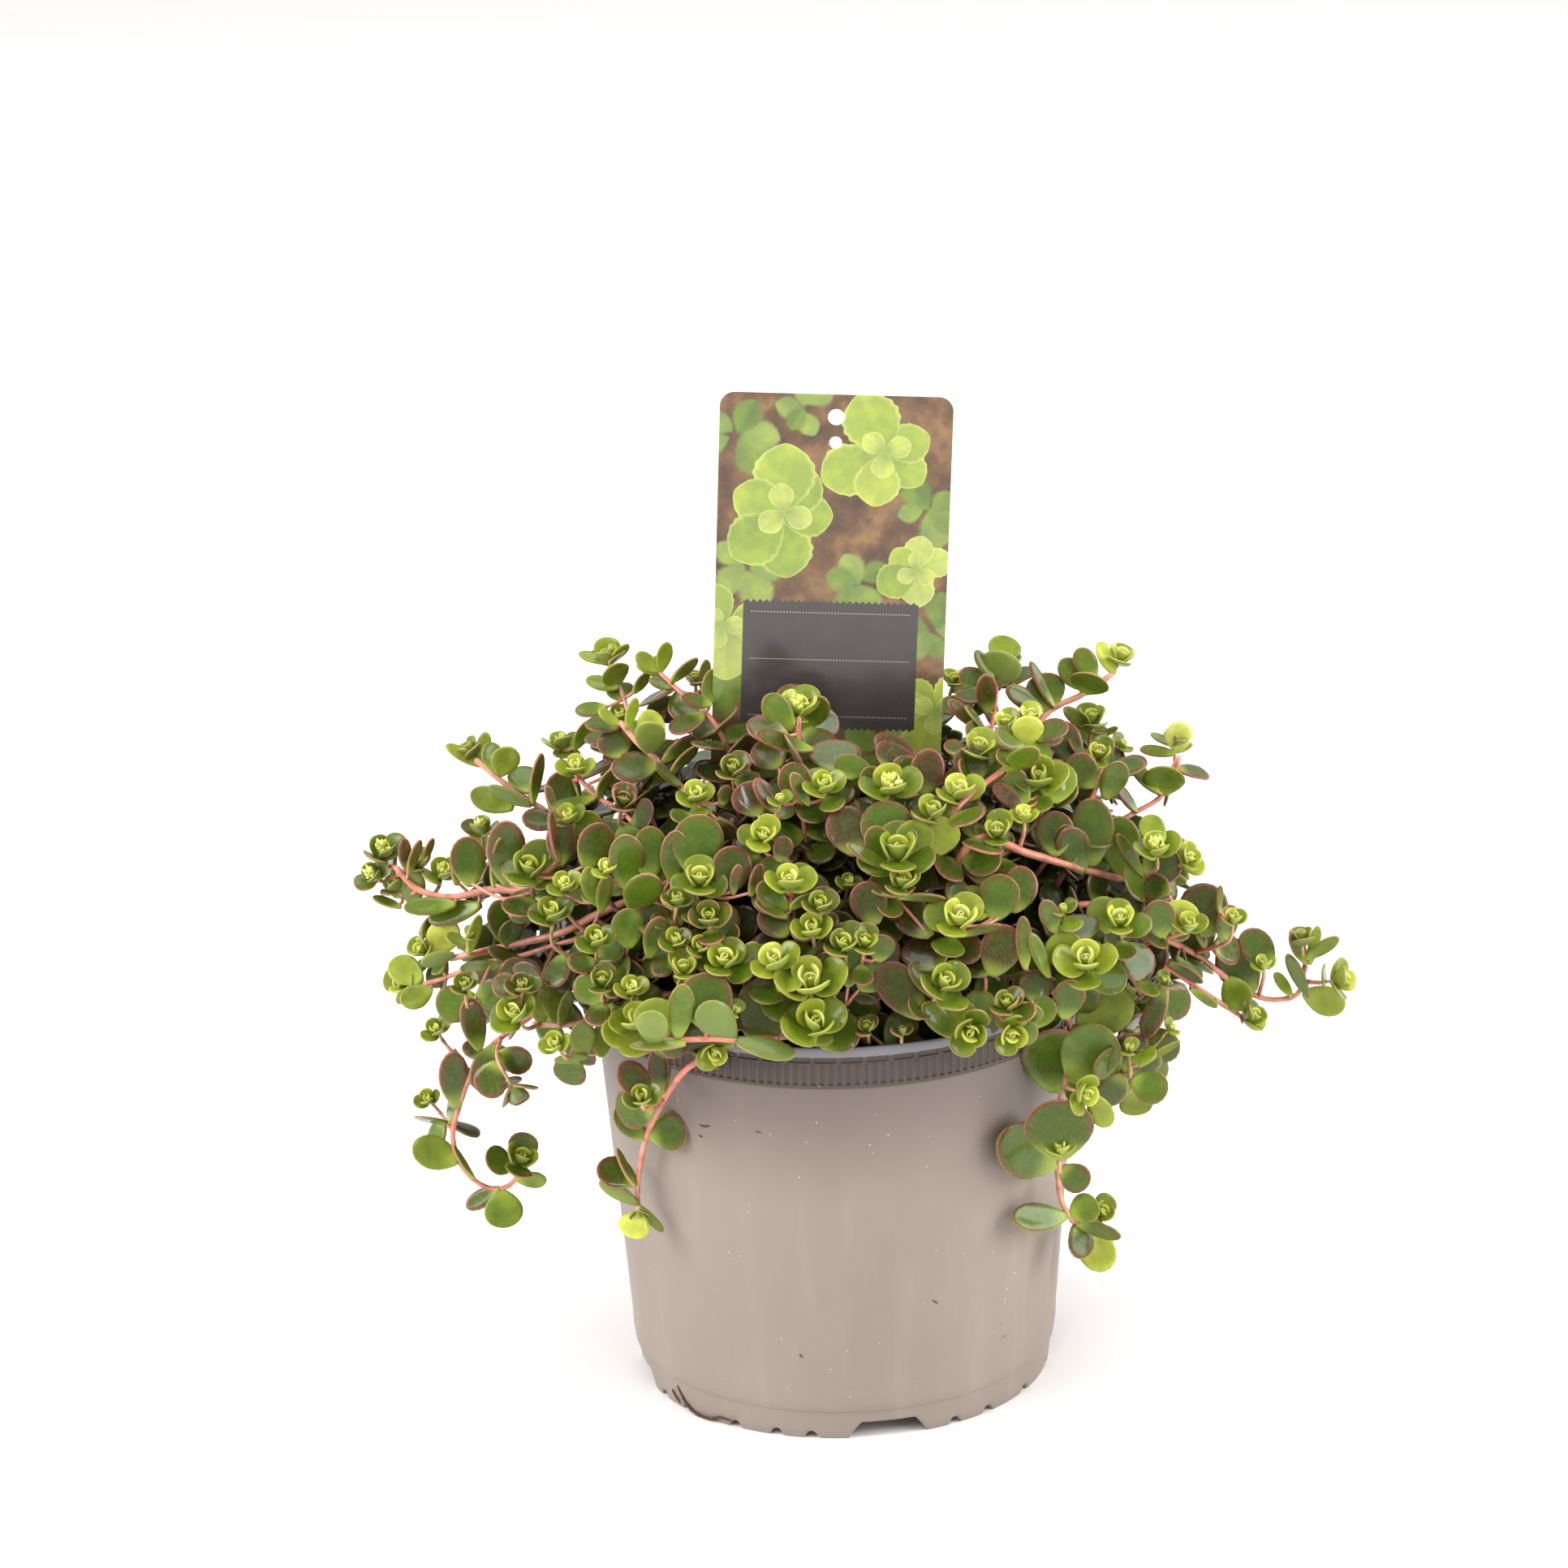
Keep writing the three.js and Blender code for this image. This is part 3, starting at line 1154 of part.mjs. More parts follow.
// The part of another shoot or of the pot that is where a grown part would be
function blockerOf(grown, owner, placed) {
  const box = grown.boundingBox();
  return placed.find((other) => {
    if (other.owner === owner) return false;
    for (let axis = 0; axis < 3; axis += 1) {
      if (box.min[axis] > other.box.max[axis] || box.max[axis] < other.box.min[axis]) return false;
    }
    return !grown.intersect(other.solid).isEmpty();
  });
}

// A stem with its loose points moved to where nothing is in its way, or null
function stemWithRoom(stem, fixed, loose, owner, placed) {
  for (const reach of bendReaches) {
    for (const way of reach ? bendWays : [[0, 0, 0]]) {
      const shift = new THREE.Vector3(...way).multiplyScalar(reach);
      const points = stem.points.map((point, i) => (
        i < fixed || i >= fixed + loose ? point : point.clone().add(shift)
      ));
      const moved = { ...stem, points };
      if (!blockerOf(stemSolid(moved, clearance), owner, placed)) return moved;
    }
  }
  return null;
}

function placeMain(shoot, placed) {
  const { root, points, loose } = shoot.main;
  for (const [x, y, share] of rootSteps) {
    const foot = onSoil(root.clone().add(new THREE.Vector3(x, y, 0)));
    const lift = foot.clone().setZ(foot.z + rootLift);
    const tip = shoot.single ? { ...shoot.tips[0], radius: shoot.tips[0].radius * share } : null;
    const stem = { points: [foot, lift, ...points], radius: stemRadius, sides: stemSides, step: shoot.step, tip };
    const moved = stemWithRoom(stem, 1, loose + 1, shoot, placed);
    if (moved) return moved;
  }
  return null;
}

function placeBranch(shoot, tip, places, placed) {
  const behind = rosetteFoot(tip).addScaledVector(tip.axis, -forkBehind);
  const points = branchPath(nearest(places, behind), tip);
  for (const share of shrinkShares) {
    const small = { ...tip, radius: tip.radius * share };
    const stem = { points, radius: branchRadius, sides: branchSides, step: hiddenStep, tip: small };
    const moved = stemWithRoom(stem, 1, 1, shoot, placed);
    if (moved) return moved;
  }
  return null;
}

function placeLeaf(shoot, leaf, placed) {
  for (const share of shrinkShares) {
    const small = { ...leaf, width: leaf.width * share, tip: leaf.foot.clone().lerp(leaf.tip, share) };
    if (!blockerOf(leafSolid(small, clearance), shoot, placed)) return small;
  }
  return null;
}

// The shoots as solids: all main stems first, then the branches with their rosettes, then the leaves
function makeShoots(fixed) {
  const shoots = Object.entries(frontShoots).map(([name, rows]) => frontShoot(name, rows));
  Object.entries(backShoots).forEach(([name, place], i) => shoots.push(backShoot(name, place, firstSeed + i)));
  shoots.push(trailingBackShoot());
  const placed = fixed.map((solid) => ({ solid, owner: null, box: solid.boundingBox() }));
  const add = (shoot, solid) => {
    shoot.body = shoot.body ? shoot.body.add(solid) : solid;
    placed.push({ solid, owner: shoot, box: solid.boundingBox() });
  };
  for (const shoot of shoots) {
    const main = placeMain(shoot, placed);
    if (!main) throw new Error(`no room for the main stem of ${shoot.name}`);
    add(shoot, stemSolid(main));
    shoot.places = pointsOn(main);
  }
  for (const shoot of shoots) {
    const onMain = shoot.places;
    shoot.kept = [];
    for (const tip of shoot.single ? [] : shoot.tips) {
      const branch = placeBranch(shoot, tip, onMain, placed);
      if (!branch) continue;
      add(shoot, stemSolid(branch));
      shoot.places = [...shoot.places, ...pointsOn(branch)];
      shoot.kept.push(tip);
    }
  }
  for (const shoot of shoots) {
    for (const leaf of shoot.leaves(shoot.places, shoot.kept)) {
      const small = placeLeaf(shoot, leaf, placed);
      if (small) add(shoot, leafSolid(small));
    }
  }
  return shoots.map(({ name, body }) => ({ name, solid: body }));
}

function named(name, solid, colour, roughness) {
  const material = new THREE.MeshStandardMaterial({ color: colour, roughness, metalness: 0 });
  const mesh = new THREE.Mesh(toGeometry(solid), material);
  mesh.name = name;
  return mesh;
}

const pot = makePot();
const soil = makeSoil();
const tag = makeLabel();
const plant = new THREE.Group();
plant.add(named('pot', pot, colours.pot, 0.6));
plant.add(named('soil', soil, colours.soil, 1));
plant.add(named('plant_label', tag, colours.label, 0.4));
for (const { name, solid } of makeShoots([pot, soil, tag])) plant.add(named(name, solid, colours.leaf, 0.35));

// The whole stands on z = 0 with the middle of its box over the origin
const box = new THREE.Box3().setFromObject(plant);
const middle = box.getCenter(new THREE.Vector3());
plant.position.set(-middle.x, -middle.y, -box.min.z);

const standing = new THREE.Group();
standing.add(plant);

export default standing;
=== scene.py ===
import math

import bpy
import numpy as np
from mathutils import Matrix, Vector
from mathutils.geometry import tessellate_polygon


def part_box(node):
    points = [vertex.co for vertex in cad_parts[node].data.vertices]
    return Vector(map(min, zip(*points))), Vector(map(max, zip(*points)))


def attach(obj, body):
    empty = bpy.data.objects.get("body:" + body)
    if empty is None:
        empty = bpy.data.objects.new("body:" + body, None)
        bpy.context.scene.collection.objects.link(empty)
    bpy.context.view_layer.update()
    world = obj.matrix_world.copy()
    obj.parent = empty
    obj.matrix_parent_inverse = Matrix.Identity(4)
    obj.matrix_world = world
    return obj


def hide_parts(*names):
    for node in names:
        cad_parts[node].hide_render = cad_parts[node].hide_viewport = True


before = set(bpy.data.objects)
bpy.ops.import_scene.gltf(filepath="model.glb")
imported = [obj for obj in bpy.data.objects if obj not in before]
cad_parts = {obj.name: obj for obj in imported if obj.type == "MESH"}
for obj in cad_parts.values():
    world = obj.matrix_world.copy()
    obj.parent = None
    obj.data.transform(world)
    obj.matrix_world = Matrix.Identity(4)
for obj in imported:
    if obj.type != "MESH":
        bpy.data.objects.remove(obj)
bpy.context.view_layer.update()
print("frame loaded:", len(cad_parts), "nodes")

# Everything below is worked out in millimetres from the middle of the pot's foot, then moved to the frame
potLow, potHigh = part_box("pot")
potMiddle = np.array([(potLow[0] + potHigh[0]) / 2, (potLow[1] + potHigh[1]) / 2, 0.0])


def toFrame(points):
    return np.asarray(points, float) / 1000 + potMiddle


def unit(vector):
    vector = np.asarray(vector, float)
    return vector / max(np.linalg.norm(vector), 1e-9)


def turned(vector, axis, angle):
    axis = unit(axis)
    across = np.cross(axis, vector)
    along = axis * np.dot(axis, vector)
    return vector * math.cos(angle) + across * math.sin(angle) + along * (1 - math.cos(angle))


def sideOf(axis):
    side = np.cross([0.0, 0.0, 1.0], axis)
    return unit(side) if np.linalg.norm(side) > 0.05 else np.array([1.0, 0.0, 0.0])


def reachOf(point):
    return math.hypot(point[0], point[1])


def flat(point):
    return np.array([point[0], point[1], 0.0])


# Camera: a long lens from the front, a little above the plant
cameraLook = {
    "frame": 1932,  # pixels across and down
    "lensPixels": 8000.0,
    "sensor": 36.0,  # mm
    "distance": 2301.5,  # mm from the eye to the pot's axis at the aim height
    "rise": 22.77,  # degrees over the floor
    "roll": -1.258,
    "aimHeight": 70.0,
    "aimPixel": (1036.84, 1443.33),
    "pixelsPerMm": 3.477,
}


def makeCameraBasis():
    rise = math.radians(cameraLook["rise"])
    offset = np.array([0, -math.cos(rise), math.sin(rise)])
    eye = np.array([0, 0, cameraLook["aimHeight"]]) + offset * cameraLook["distance"]
    half = cameraLook["frame"] / 2
    aim = unit([cameraLook["aimPixel"][0] - half, cameraLook["aimPixel"][1] - half, cameraLook["lensPixels"]])
    yaw, pitch = math.atan2(aim[0], aim[2]), math.asin(aim[1])
    roll = math.radians(cameraLook["roll"])
    right = np.array([1.0, 0, 0])
    down = np.cross(-offset, right)
    turns = [Matrix.Rotation(yaw, 3, "Y"), Matrix.Rotation(-pitch, 3, "X"), Matrix.Rotation(roll, 3, "Z")]
    rows = np.stack([right, down, -offset])
    for turn in reversed(turns):
        rows = np.array(turn) @ rows
    return eye, rows


eye, viewRows = makeCameraBasis()


def makeCamera():
    data = bpy.data.cameras.new("photoCamera")
    data.sensor_width = cameraLook["sensor"]
    data.lens = cameraLook["lensPixels"] / cameraLook["frame"] * cameraLook["sensor"]
    data.clip_start, data.clip_end = 0.1, 100.0
    camera = bpy.data.objects.new("photoCamera", data)
    bpy.context.scene.collection.objects.link(camera)
    axes = np.stack([viewRows[0], -viewRows[1], -viewRows[2]], axis=1)
    camera.matrix_world = Matrix.Translation(toFrame(eye)) @ Matrix(axes.tolist()).to_4x4()
    bpy.context.scene.camera = camera


makeCamera()
print("camera placed")


# Pixels of the picture to places in space
def pixelRay(u, v):
    half = cameraLook["frame"] / 2
    return unit(viewRows.T @ np.array([u - half, v - half, cameraLook["lensPixels"]]))


def toPixel(points):
    seen = (np.asarray(points, float) - eye) @ viewRows.T
    return cameraLook["lensPixels"] * seen[..., :2] / seen[..., 2:3] + cameraLook["frame"] / 2


def atDepth(u, v, depth):
    ray = pixelRay(u, v)
    return eye + ray * ((depth - eye[1]) / ray[1])


# The foliage as a whole is a rounded mound, and painted shade darkens it inside
mound = {
    "middle": np.array([0, 0, 145.0]),
    "radii": np.array([145.0, 95.0, 105.0]),
    "backRadii": np.array([126.0, 104.0, 92.0]),
    "shadeFrom": 0.04,  # how far in the painted shade begins, and over how much more it is full
    "shadeOver": 0.24,
    "shadeFoot": 138.0,  # mm over the floor where it begins, and over how much more it is full
    "shadeRise": 20.0,
}


def onMound(u, v, setBack=0.0):
    ray = pixelRay(u, v)
    start = (eye - mound["middle"]) / mound["radii"]
    way = ray / mound["radii"]
    a, b = way @ way, start @ way
    rest = b * b - a * (start @ start - 1)
    reach = (-b - math.sqrt(rest)) / a if rest > 0 else -b / a
    return eye + ray * (reach + setBack)


def screenDirection(point, lean, tilt):
    across = viewRows[0] * math.cos(lean) - viewRows[1] * math.sin(lean)
    return unit(unit(eye - point) * math.cos(tilt) + across * math.sin(tilt))


def runOf(path):
    # how far along a path each of its points is
    return np.concatenate([[0], np.cumsum(np.linalg.norm(np.diff(path, axis=0), axis=1))])


def smoothPath(points, spacing):
    points = [np.asarray(p, float) for p in points]
    ends = [2 * points[0] - points[1], *points, 2 * points[-1] - points[-2]]
    dense = []
    for i in range(len(points) - 1):
        p = ends[i:i + 4]
        t = [0.0]
        for a, b in zip(p, p[1:]):
            t.append(t[-1] + max(np.linalg.norm(b - a), 1e-6) ** 0.5)
        for now in np.linspace(t[1], t[2], 14, endpoint=False):
            a = [((t[j + 1] - now) * p[j] + (now - t[j]) * p[j + 1]) / (t[j + 1] - t[j]) for j in range(3)]
            b = [((t[j + 2] - now) * a[j] + (now - t[j]) * a[j + 1]) / (t[j + 2] - t[j]) for j in range(2)]
            dense.append(((t[2] - now) * b[0] + (now - t[1]) * b[1]) / (t[2] - t[1]))
    dense = np.array([*dense, points[-1]])
    gone = runOf(dense)
    count = max(3, int(round(gone[-1] / spacing)) + 1)
    wanted = np.linspace(0, gone[-1], count)
    return np.stack([np.interp(wanted, gone, dense[:, k]) for k in range(3)], axis=1)


# Meshes are gathered as arrays of points, faces and marks, then made in one go
def newGathering():
    return {"points": [], "quads": [], "triangles": [], "marks": {}, "count": 0}


def gather(into, points, quads=(), triangles=(), **marks):
    points = np.asarray(points, float).reshape(-1, 3)
    into["points"].append(points)
    if len(quads):
        into["quads"].append(np.asarray(quads, int) + into["count"])
    if len(triangles):
        into["triangles"].append(np.asarray(triangles, int) + into["count"])
    for name, values in marks.items():
        into["marks"].setdefault(name, []).append(np.broadcast_to(np.asarray(values, float), (len(points),)))
    into["count"] += len(points)


def deepShadeShare(points):
    # painted shade: 0 on the outside of the foliage, 1 deep between the leaves, where shade falls
    points = np.atleast_2d(points)
    under = 1 - np.linalg.norm((points - mound["middle"]) / mound["radii"], axis=1)
    over = np.clip((points[:, 2] - mound["shadeFoot"]) / mound["shadeRise"], 0, 1)
    return np.clip((under - mound["shadeFrom"]) / mound["shadeOver"], 0, 1) * over


def lumpFaces(rings, sides, downward=False):
    # a closed lump: its first point, rings of points, and its last point
    last = 1 + rings * sides
    turns = [(j, (j + 1) % sides) for j in range(sides)]
    ends = [(0, 1 + k, 1 + j) for j, k in turns]
    ends += [(last, last - sides + j, last - sides + k) for j, k in turns]
    starts = [1 + i * sides for i in range(rings - 1)]
    walls = [(at + j, at + k, at + sides + k, at + sides + j) for at in starts for j, k in turns]
    if downward:
        ends, walls = ([face[:1] + face[:0:-1] for face in faces] for faces in (ends, walls))
    return walls, ends


def makePiece(name, gathered, material, nodes=(), sharpAngle=None):
    mesh = bpy.data.meshes.new(name)
    points = toFrame(np.concatenate(gathered["points"]))
    quads = np.concatenate(gathered["quads"]) if gathered["quads"] else np.zeros((0, 4), int)
    triangles = np.concatenate(gathered["triangles"]) if gathered["triangles"] else np.zeros((0, 3), int)
    corners = np.concatenate([quads.ravel(), triangles.ravel()]).astype(np.int32)
    quadStarts = np.arange(len(quads)) * 4
    starts = np.concatenate([quadStarts, len(quads) * 4 + np.arange(len(triangles)) * 3]).astype(np.int32)
    mesh.vertices.add(len(points))
    mesh.vertices.foreach_set("co", points.astype(np.float32).ravel())
    mesh.loops.add(len(corners))
    mesh.loops.foreach_set("vertex_index", corners)
    mesh.polygons.add(len(starts))
    mesh.polygons.foreach_set("loop_start", starts)
    mesh.polygons.foreach_set("use_smooth", np.ones(len(starts), bool))
    mesh.update(calc_edges=True)
    mesh.validate()
    for mark, values in gathered["marks"].items():
        layer = mesh.attributes.new(mark, "FLOAT", "POINT")
        layer.data.foreach_set("value", np.concatenate(values).astype(np.float32))
    if sharpAngle:
        mesh.set_sharp_from_angle(angle=math.radians(sharpAngle))
    mesh.materials.append(material)
    piece = bpy.data.objects.new(name, mesh)
    bpy.context.scene.collection.objects.link(piece)
    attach(piece, "root")
    if nodes:
        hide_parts(*nodes)
    return piece


# Material helpers
def colour(tone):
    parts = [int(tone[i:i + 2], 16) / 255 for i in (0, 2, 4)]
    return tuple(c / 12.92 if c <= 0.04045 else ((c + 0.055) / 1.055) ** 2.4 for c in parts) + (1.0,)


class Finish:
    # the nodes of a material, or of a node group where one is given
    def __init__(self, name, group=None):
        self.tree = group
        if group is None:
            self.material = bpy.data.materials.new(name)
            self.material.use_nodes = True
            self.tree = self.material.node_tree
            self.shader = self.tree.nodes["Principled BSDF"]
            self.place = self.node("ShaderNodeTexCoord").outputs["Object"]

    def node(self, kind, **settings):
        made = self.tree.nodes.new(kind)
        for key, value in settings.items():
            setattr(made, key, value)
        return made

    def feed(self, socket, value):
        if isinstance(value, bpy.types.NodeSocket):
            self.tree.links.new(value, socket)
        else:
            socket.default_value = colour(value) if isinstance(value, str) else value

    def give(self, node, **values):
        for key, value in values.items():
            self.feed(node.inputs[key.replace("_", " ")], value)
        return node

    def set(self, **values):
        self.give(self.shader, **values)

    def mark(self, name):
        return self.node("ShaderNodeAttribute", attribute_name=name).outputs["Fac"]

    def math(self, operation, a, b=0.0, clamp=False):
        made = self.node("ShaderNodeMath", operation=operation, use_clamp=clamp)
        self.feed(made.inputs[0], a)
        self.feed(made.inputs[1], b)
        return made.outputs[0]

    def times(self, a, b):
        return self.math("MULTIPLY", a, b)

    def plus(self, a, b, clamp=False):
        return self.math("ADD", a, b, clamp)

    def minus(self, a, b):
        return self.math("SUBTRACT", a, b)

    def sway(self, value, by, reach, clamp=False):
        # the value, pushed up and down by another one that runs from 0 to 1
        return self.plus(value, self.times(self.minus(by, 0.5), reach), clamp)

    def fade(self, value, low, high, start=0.0, end=1.0):
        made = self.node("ShaderNodeMapRange", interpolation_type="SMOOTHSTEP")
        self.give(made, Value=value, From_Min=low, From_Max=high, To_Min=start, To_Max=end)
        return made.outputs["Result"]

    def mix(self, share, a, b, blend="MIX"):
        made = self.node("ShaderNodeMix", data_type="RGBA", blend_type=blend, clamp_factor=True)
        for socket, value in ((made.inputs[0], share), (made.inputs[6], a), (made.inputs[7], b)):
            self.feed(socket, value)
        return made.outputs[2]

    def ramp(self, value, stops):
        made = self.node("ShaderNodeValToRGB")
        elements = made.color_ramp.elements
        while len(elements) < len(stops):
            elements.new(0.5)
        for element, (place, tone) in zip(elements, stops):
            element.position = place
            element.color = colour(tone)
        return self.give(made, Fac=value).outputs["Color"]

    def noise(self, scale, detail, rough, stretch=None):
        place = self.place
        if stretch:
            place = self.give(self.node("ShaderNodeMapping"), Vector=place, Scale=stretch).outputs["Vector"]
        made = self.node("ShaderNodeTexNoise")
        return self.give(made, Vector=place, Scale=scale, Detail=detail, Roughness=rough).outputs["Fac"]

    def cells(self, scale):
        made = self.node("ShaderNodeTexVoronoi")
        return self.give(made, Vector=self.place, Scale=scale).outputs["Distance"]

    def bump(self, height, strength, distance, before=None):
        made = self.give(self.node("ShaderNodeBump"), Strength=strength, Distance=distance, Height=height)
        if before:
            self.feed(made.inputs["Normal"], before)
        return made.outputs["Normal"]


# Pot: thin moulded plastic, with a smooth lip, a ribbed band and a notched foot
potLook = {
    "rimRadius": 86.0,
    "rimTop": 151.0,
    "lipBottom": 147.4,
    "recessBottom": 145.2,
    "bandBottom": 136.4,
    "bandRadius": 85.6,
    "bodyTopRadius": 85.0,
    "taper": 0.084,  # mm of radius for each mm of height
    "bendHeight": 20.0,
    "stepHeight": 10.8,
    "footTopRadius": 73.5,
    "footRadius": 72.4,
    "footWidth": 4.5,
    "wall": 1.8,
    "floorTop": 12.4,
    "ribTop": 144.3,
    "ribs": 180,
    "ribSteps": 6,  # points round the lip for each rib
    "recesses": 60,  # of the smooth band over the ribs
    "ribDepth": 0.55,
    "slotTurns": [11.5, 101.5, 191.5, 281.5],
    "slotTop": 19.0,
    "slotBottom": 28.0,
    "slotHeight": 6.2,
    "slotRound": 0.8,
    "notchTurns": [-61.7, -50.3, -32.4, -19.7, -9.8, 31.3, 43.0, 59.9, 78.0, 122.0, 133.0, 147.5, 160.0,
                   171.0, 212.0, 223.0, 237.5, 250.0, 261.0],
    "notchWidth": 4.4,
    "notchHeight": 2.7,
    "toothRound": (1.4, 0.55),  # mm along the foot and up
}


def atTurn(turn, radius, height):
    # turn is counted from the front to the right, in degrees
    a = np.radians(turn)
    return np.stack(np.broadcast_arrays(np.sin(a) * radius, -np.cos(a) * radius, height), axis=-1)


def closedSweep(into, turns, loops, **marks):
    # loops holds one closed profile of (radius, height) for each turn, outer side upward first
    loops = np.asarray(loops, float)
    count, size = loops.shape[:2]
    points = atTurn(np.asarray(turns)[:, None], loops[:, :, 0], loops[:, :, 1])
    i, j = np.meshgrid(np.arange(count), np.arange(size), indexing="ij")
    iNext, jNext = (i + 1) % count, (j + 1) % size
    quads = np.stack([i * size + j, iNext * size + j, iNext * size + jNext, i * size + jNext], axis=-1)
    gather(into, points, quads.reshape(-1, 4), **marks)


def bodyRadius(height):
    return potLook["bodyTopRadius"] - potLook["taper"] * (potLook["bandBottom"] - height)


def makeRim():
    look = potLook
    steps = look["ribSteps"]
    count = look["ribs"] * steps
    perRecess = count // look["recesses"]
    ribShape = np.tile([0.0, 0.12, 1.0, 1.0, 1.0, 0.12], look["ribs"])
    recessShape = np.tile([0.0] * 2 + [1.0] * (perRecess - 4) + [0.0] * 2, look["recesses"])
    radius, band, wall = look["rimRadius"], look["bandRadius"], look["wall"]
    inner = look["bodyTopRadius"] - wall
    low, ribTop, recess, lip, top = (look[key] for key in (
        "bandBottom", "ribTop", "recessBottom", "lipBottom", "rimTop"))
    loops = []
    for ribUp, recessIn in zip(ribShape, recessShape):
        rib = band - look["ribDepth"] * (1 - ribUp)
        back = band - 0.2 - 0.5 * recessIn
        loops.append([
            (band - 0.3, low - 0.5), (band - 0.02, low - 0.2), (band + 0.1, low + 0.35),
            (band - 0.05, low + 0.85), (rib - 0.1, low + 1.1), (rib, low + 1.4), (rib, ribTop),
            (rib - 0.1, ribTop + 0.3), (band - 0.1, ribTop + 0.6), (band - 0.1, recess),
            (back, recess + 0.25), (back, lip - 0.35),
            (radius - 0.25, lip), (radius, lip + 0.4), (radius - 0.03, top - 0.8), (radius - 0.25, top - 0.2),
            (radius - 0.75, top), (radius - wall * 0.72, top - 0.15), (radius - wall, top - 0.7),
            (radius - wall - 0.3, top - 3.4), (radius - wall - 0.9, 144.0), (inner, low + 0.4),
            (inner, low - 0.5),
        ])
    rim = newGathering()
    closedSweep(rim, np.arange(count) * 360 / count, loops)
    return rim


def makeBody():
    look = potLook
    top, bend, wall = look["bandBottom"] - 0.55, look["bendHeight"], look["wall"]
    floor, foot, step = look["floorTop"], look["footTopRadius"], look["stepHeight"]
    heights = np.linspace(bend + 2, top, 22)
    start, end = np.array([foot + 1.1, 12.3]), np.array([bodyRadius(bend), bend])
    outer = [(1.0, floor - wall), (foot - 0.6, floor - wall), (foot + 0.55, step + 0.05), (foot + 1.0, 11.5)]
    for share in (0.2, 0.5, 0.8):
        outer.append(start + (end - start) * share + [0.25 * math.sin(math.pi * share), 0])
    outer += [(bodyRadius(h), h) for h in heights]
    inner = [(bodyRadius(h) - wall, h) for h in heights[::-3]]
    inner += [(foot - wall, floor + 1.5), (foot - wall - 1.5, floor), (1.0, floor)]
    body = newGathering()
    turns = np.arange(240) * 1.5
    closedSweep(body, turns, [[tuple(place) for place in outer + inner]] * len(turns))
    return body


def footBottom(turn):
    # how high the foot's lower edge stands at a turn: notches between rounded teeth, and four drain slots
    look = potLook
    mmPerDegree = look["footRadius"] * math.pi / 180

    def offFrom(middle):
        return abs((turn - middle + 180) % 360 - 180) * mmPerDegree

    for off in map(offFrom, look["slotTurns"]):
        if off < look["slotBottom"] / 2:
            slope = (look["slotBottom"] / 2 - off) / ((look["slotBottom"] - look["slotTop"]) / 2)
            return look["slotHeight"] * min(1.0, slope) ** look["slotRound"]
    height = 0.0
    half = look["notchWidth"] / 2
    reach, rise = look["toothRound"]
    for off in map(offFrom, look["notchTurns"]):
        if off < half:
            height = max(height, look["notchHeight"] * math.sqrt(1 - (off / half) ** 2))
        elif off < half + reach:
            height = max(height, rise * (1 - (off - half) / reach) ** 2)
    return height


def makeFoot():
    look = potLook
    turns = np.arange(900) * 0.4
    top, low, high = look["stepHeight"], look["footRadius"], look["footTopRadius"]
    inside = low - look["footWidth"]
    loops = []
    for base in map(footBottom, turns):
        rows = [base + (top - 0.15 - base) * share for share in (0.0, 0.08, 0.3, 0.6, 0.88, 1.0)]
        radii = [low + (high - low) * row / top for row in rows]
        radii[0] -= 0.35
        inner = [(high - 0.5, top + 0.1), (inside, top - 0.3), (inside, base + 0.4), (inside + 0.3, base)]
        loops.append([*zip(radii, rows), *inner])
    foot = newGathering()
    closedSweep(foot, turns, loops)
    return foot


# name, colour, colour of the painted shade near the lip, roughness and coat of each moulding
potFinishes = {
    "body": ("mattTaupePlastic", "867a71", "5e534c", 0.48, 0.0),
    "band": ("shadedTaupePlastic", "382d27", "40352e", 0.5, 0.0),
    "lip": ("glossyGreyPlastic", "6e6c70", "646268", 0.2, 0.3),
}
potWearAndShade = {
    "dark": "7c6f65", "pale": "b8a89a", "speck": "ece4dc", "scuff": "4a3d36",
    "paintedShadeHeights": (0.088, 0.138),  # metres, between which the painted shade of the foliage grows
}


def makePotFinish(name, base, paintedShade, rough, coat):
    f = Finish(name)
    cloud = f.noise(14, 3, 0.55)
    body = f.mix(f.fade(cloud, 0.3, 0.7, 0, 0.35), base, potWearAndShade["dark"])
    flow = f.noise(60, 4, 0.6, stretch=(1, 1, 0.12))
    body = f.mix(f.fade(flow, 0.45, 0.8, 0, 0.16), body, potWearAndShade["pale"])
    # painted shade of the overhanging foliage: darker towards the lip
    height = f.node("ShaderNodeSeparateXYZ")
    f.feed(height.inputs[0], f.place)
    body = f.mix(f.fade(height.outputs[2], *potWearAndShade["paintedShadeHeights"], 0.0, 0.8), body, paintedShade)
    spots = f.times(f.fade(f.cells(260), 0.03, 0.09, 1, 0), f.fade(f.noise(90, 1, 0.5), 0.56, 0.62))
    body = f.mix(f.times(spots, 0.6), body, potWearAndShade["speck"])
    scratch = f.noise(46, 5, 0.7, stretch=(1, 1, 3.2))
    marks = f.times(f.fade(scratch, 0.64, 0.7), f.fade(f.noise(9, 1, 0.5), 0.55, 0.65))
    body = f.mix(f.times(marks, 0.3), body, potWearAndShade["scuff"])
    f.set(Base_Color=body, Roughness=f.fade(cloud, 0.3, 0.75, rough, rough + 0.1))
    f.set(Coat_Weight=coat, Coat_Roughness=0.18)
    f.set(Normal=f.bump(flow, 0.15, 0.0003, f.bump(f.noise(2600, 3, 0.6), 0.25, 0.00008)))
    return f.material


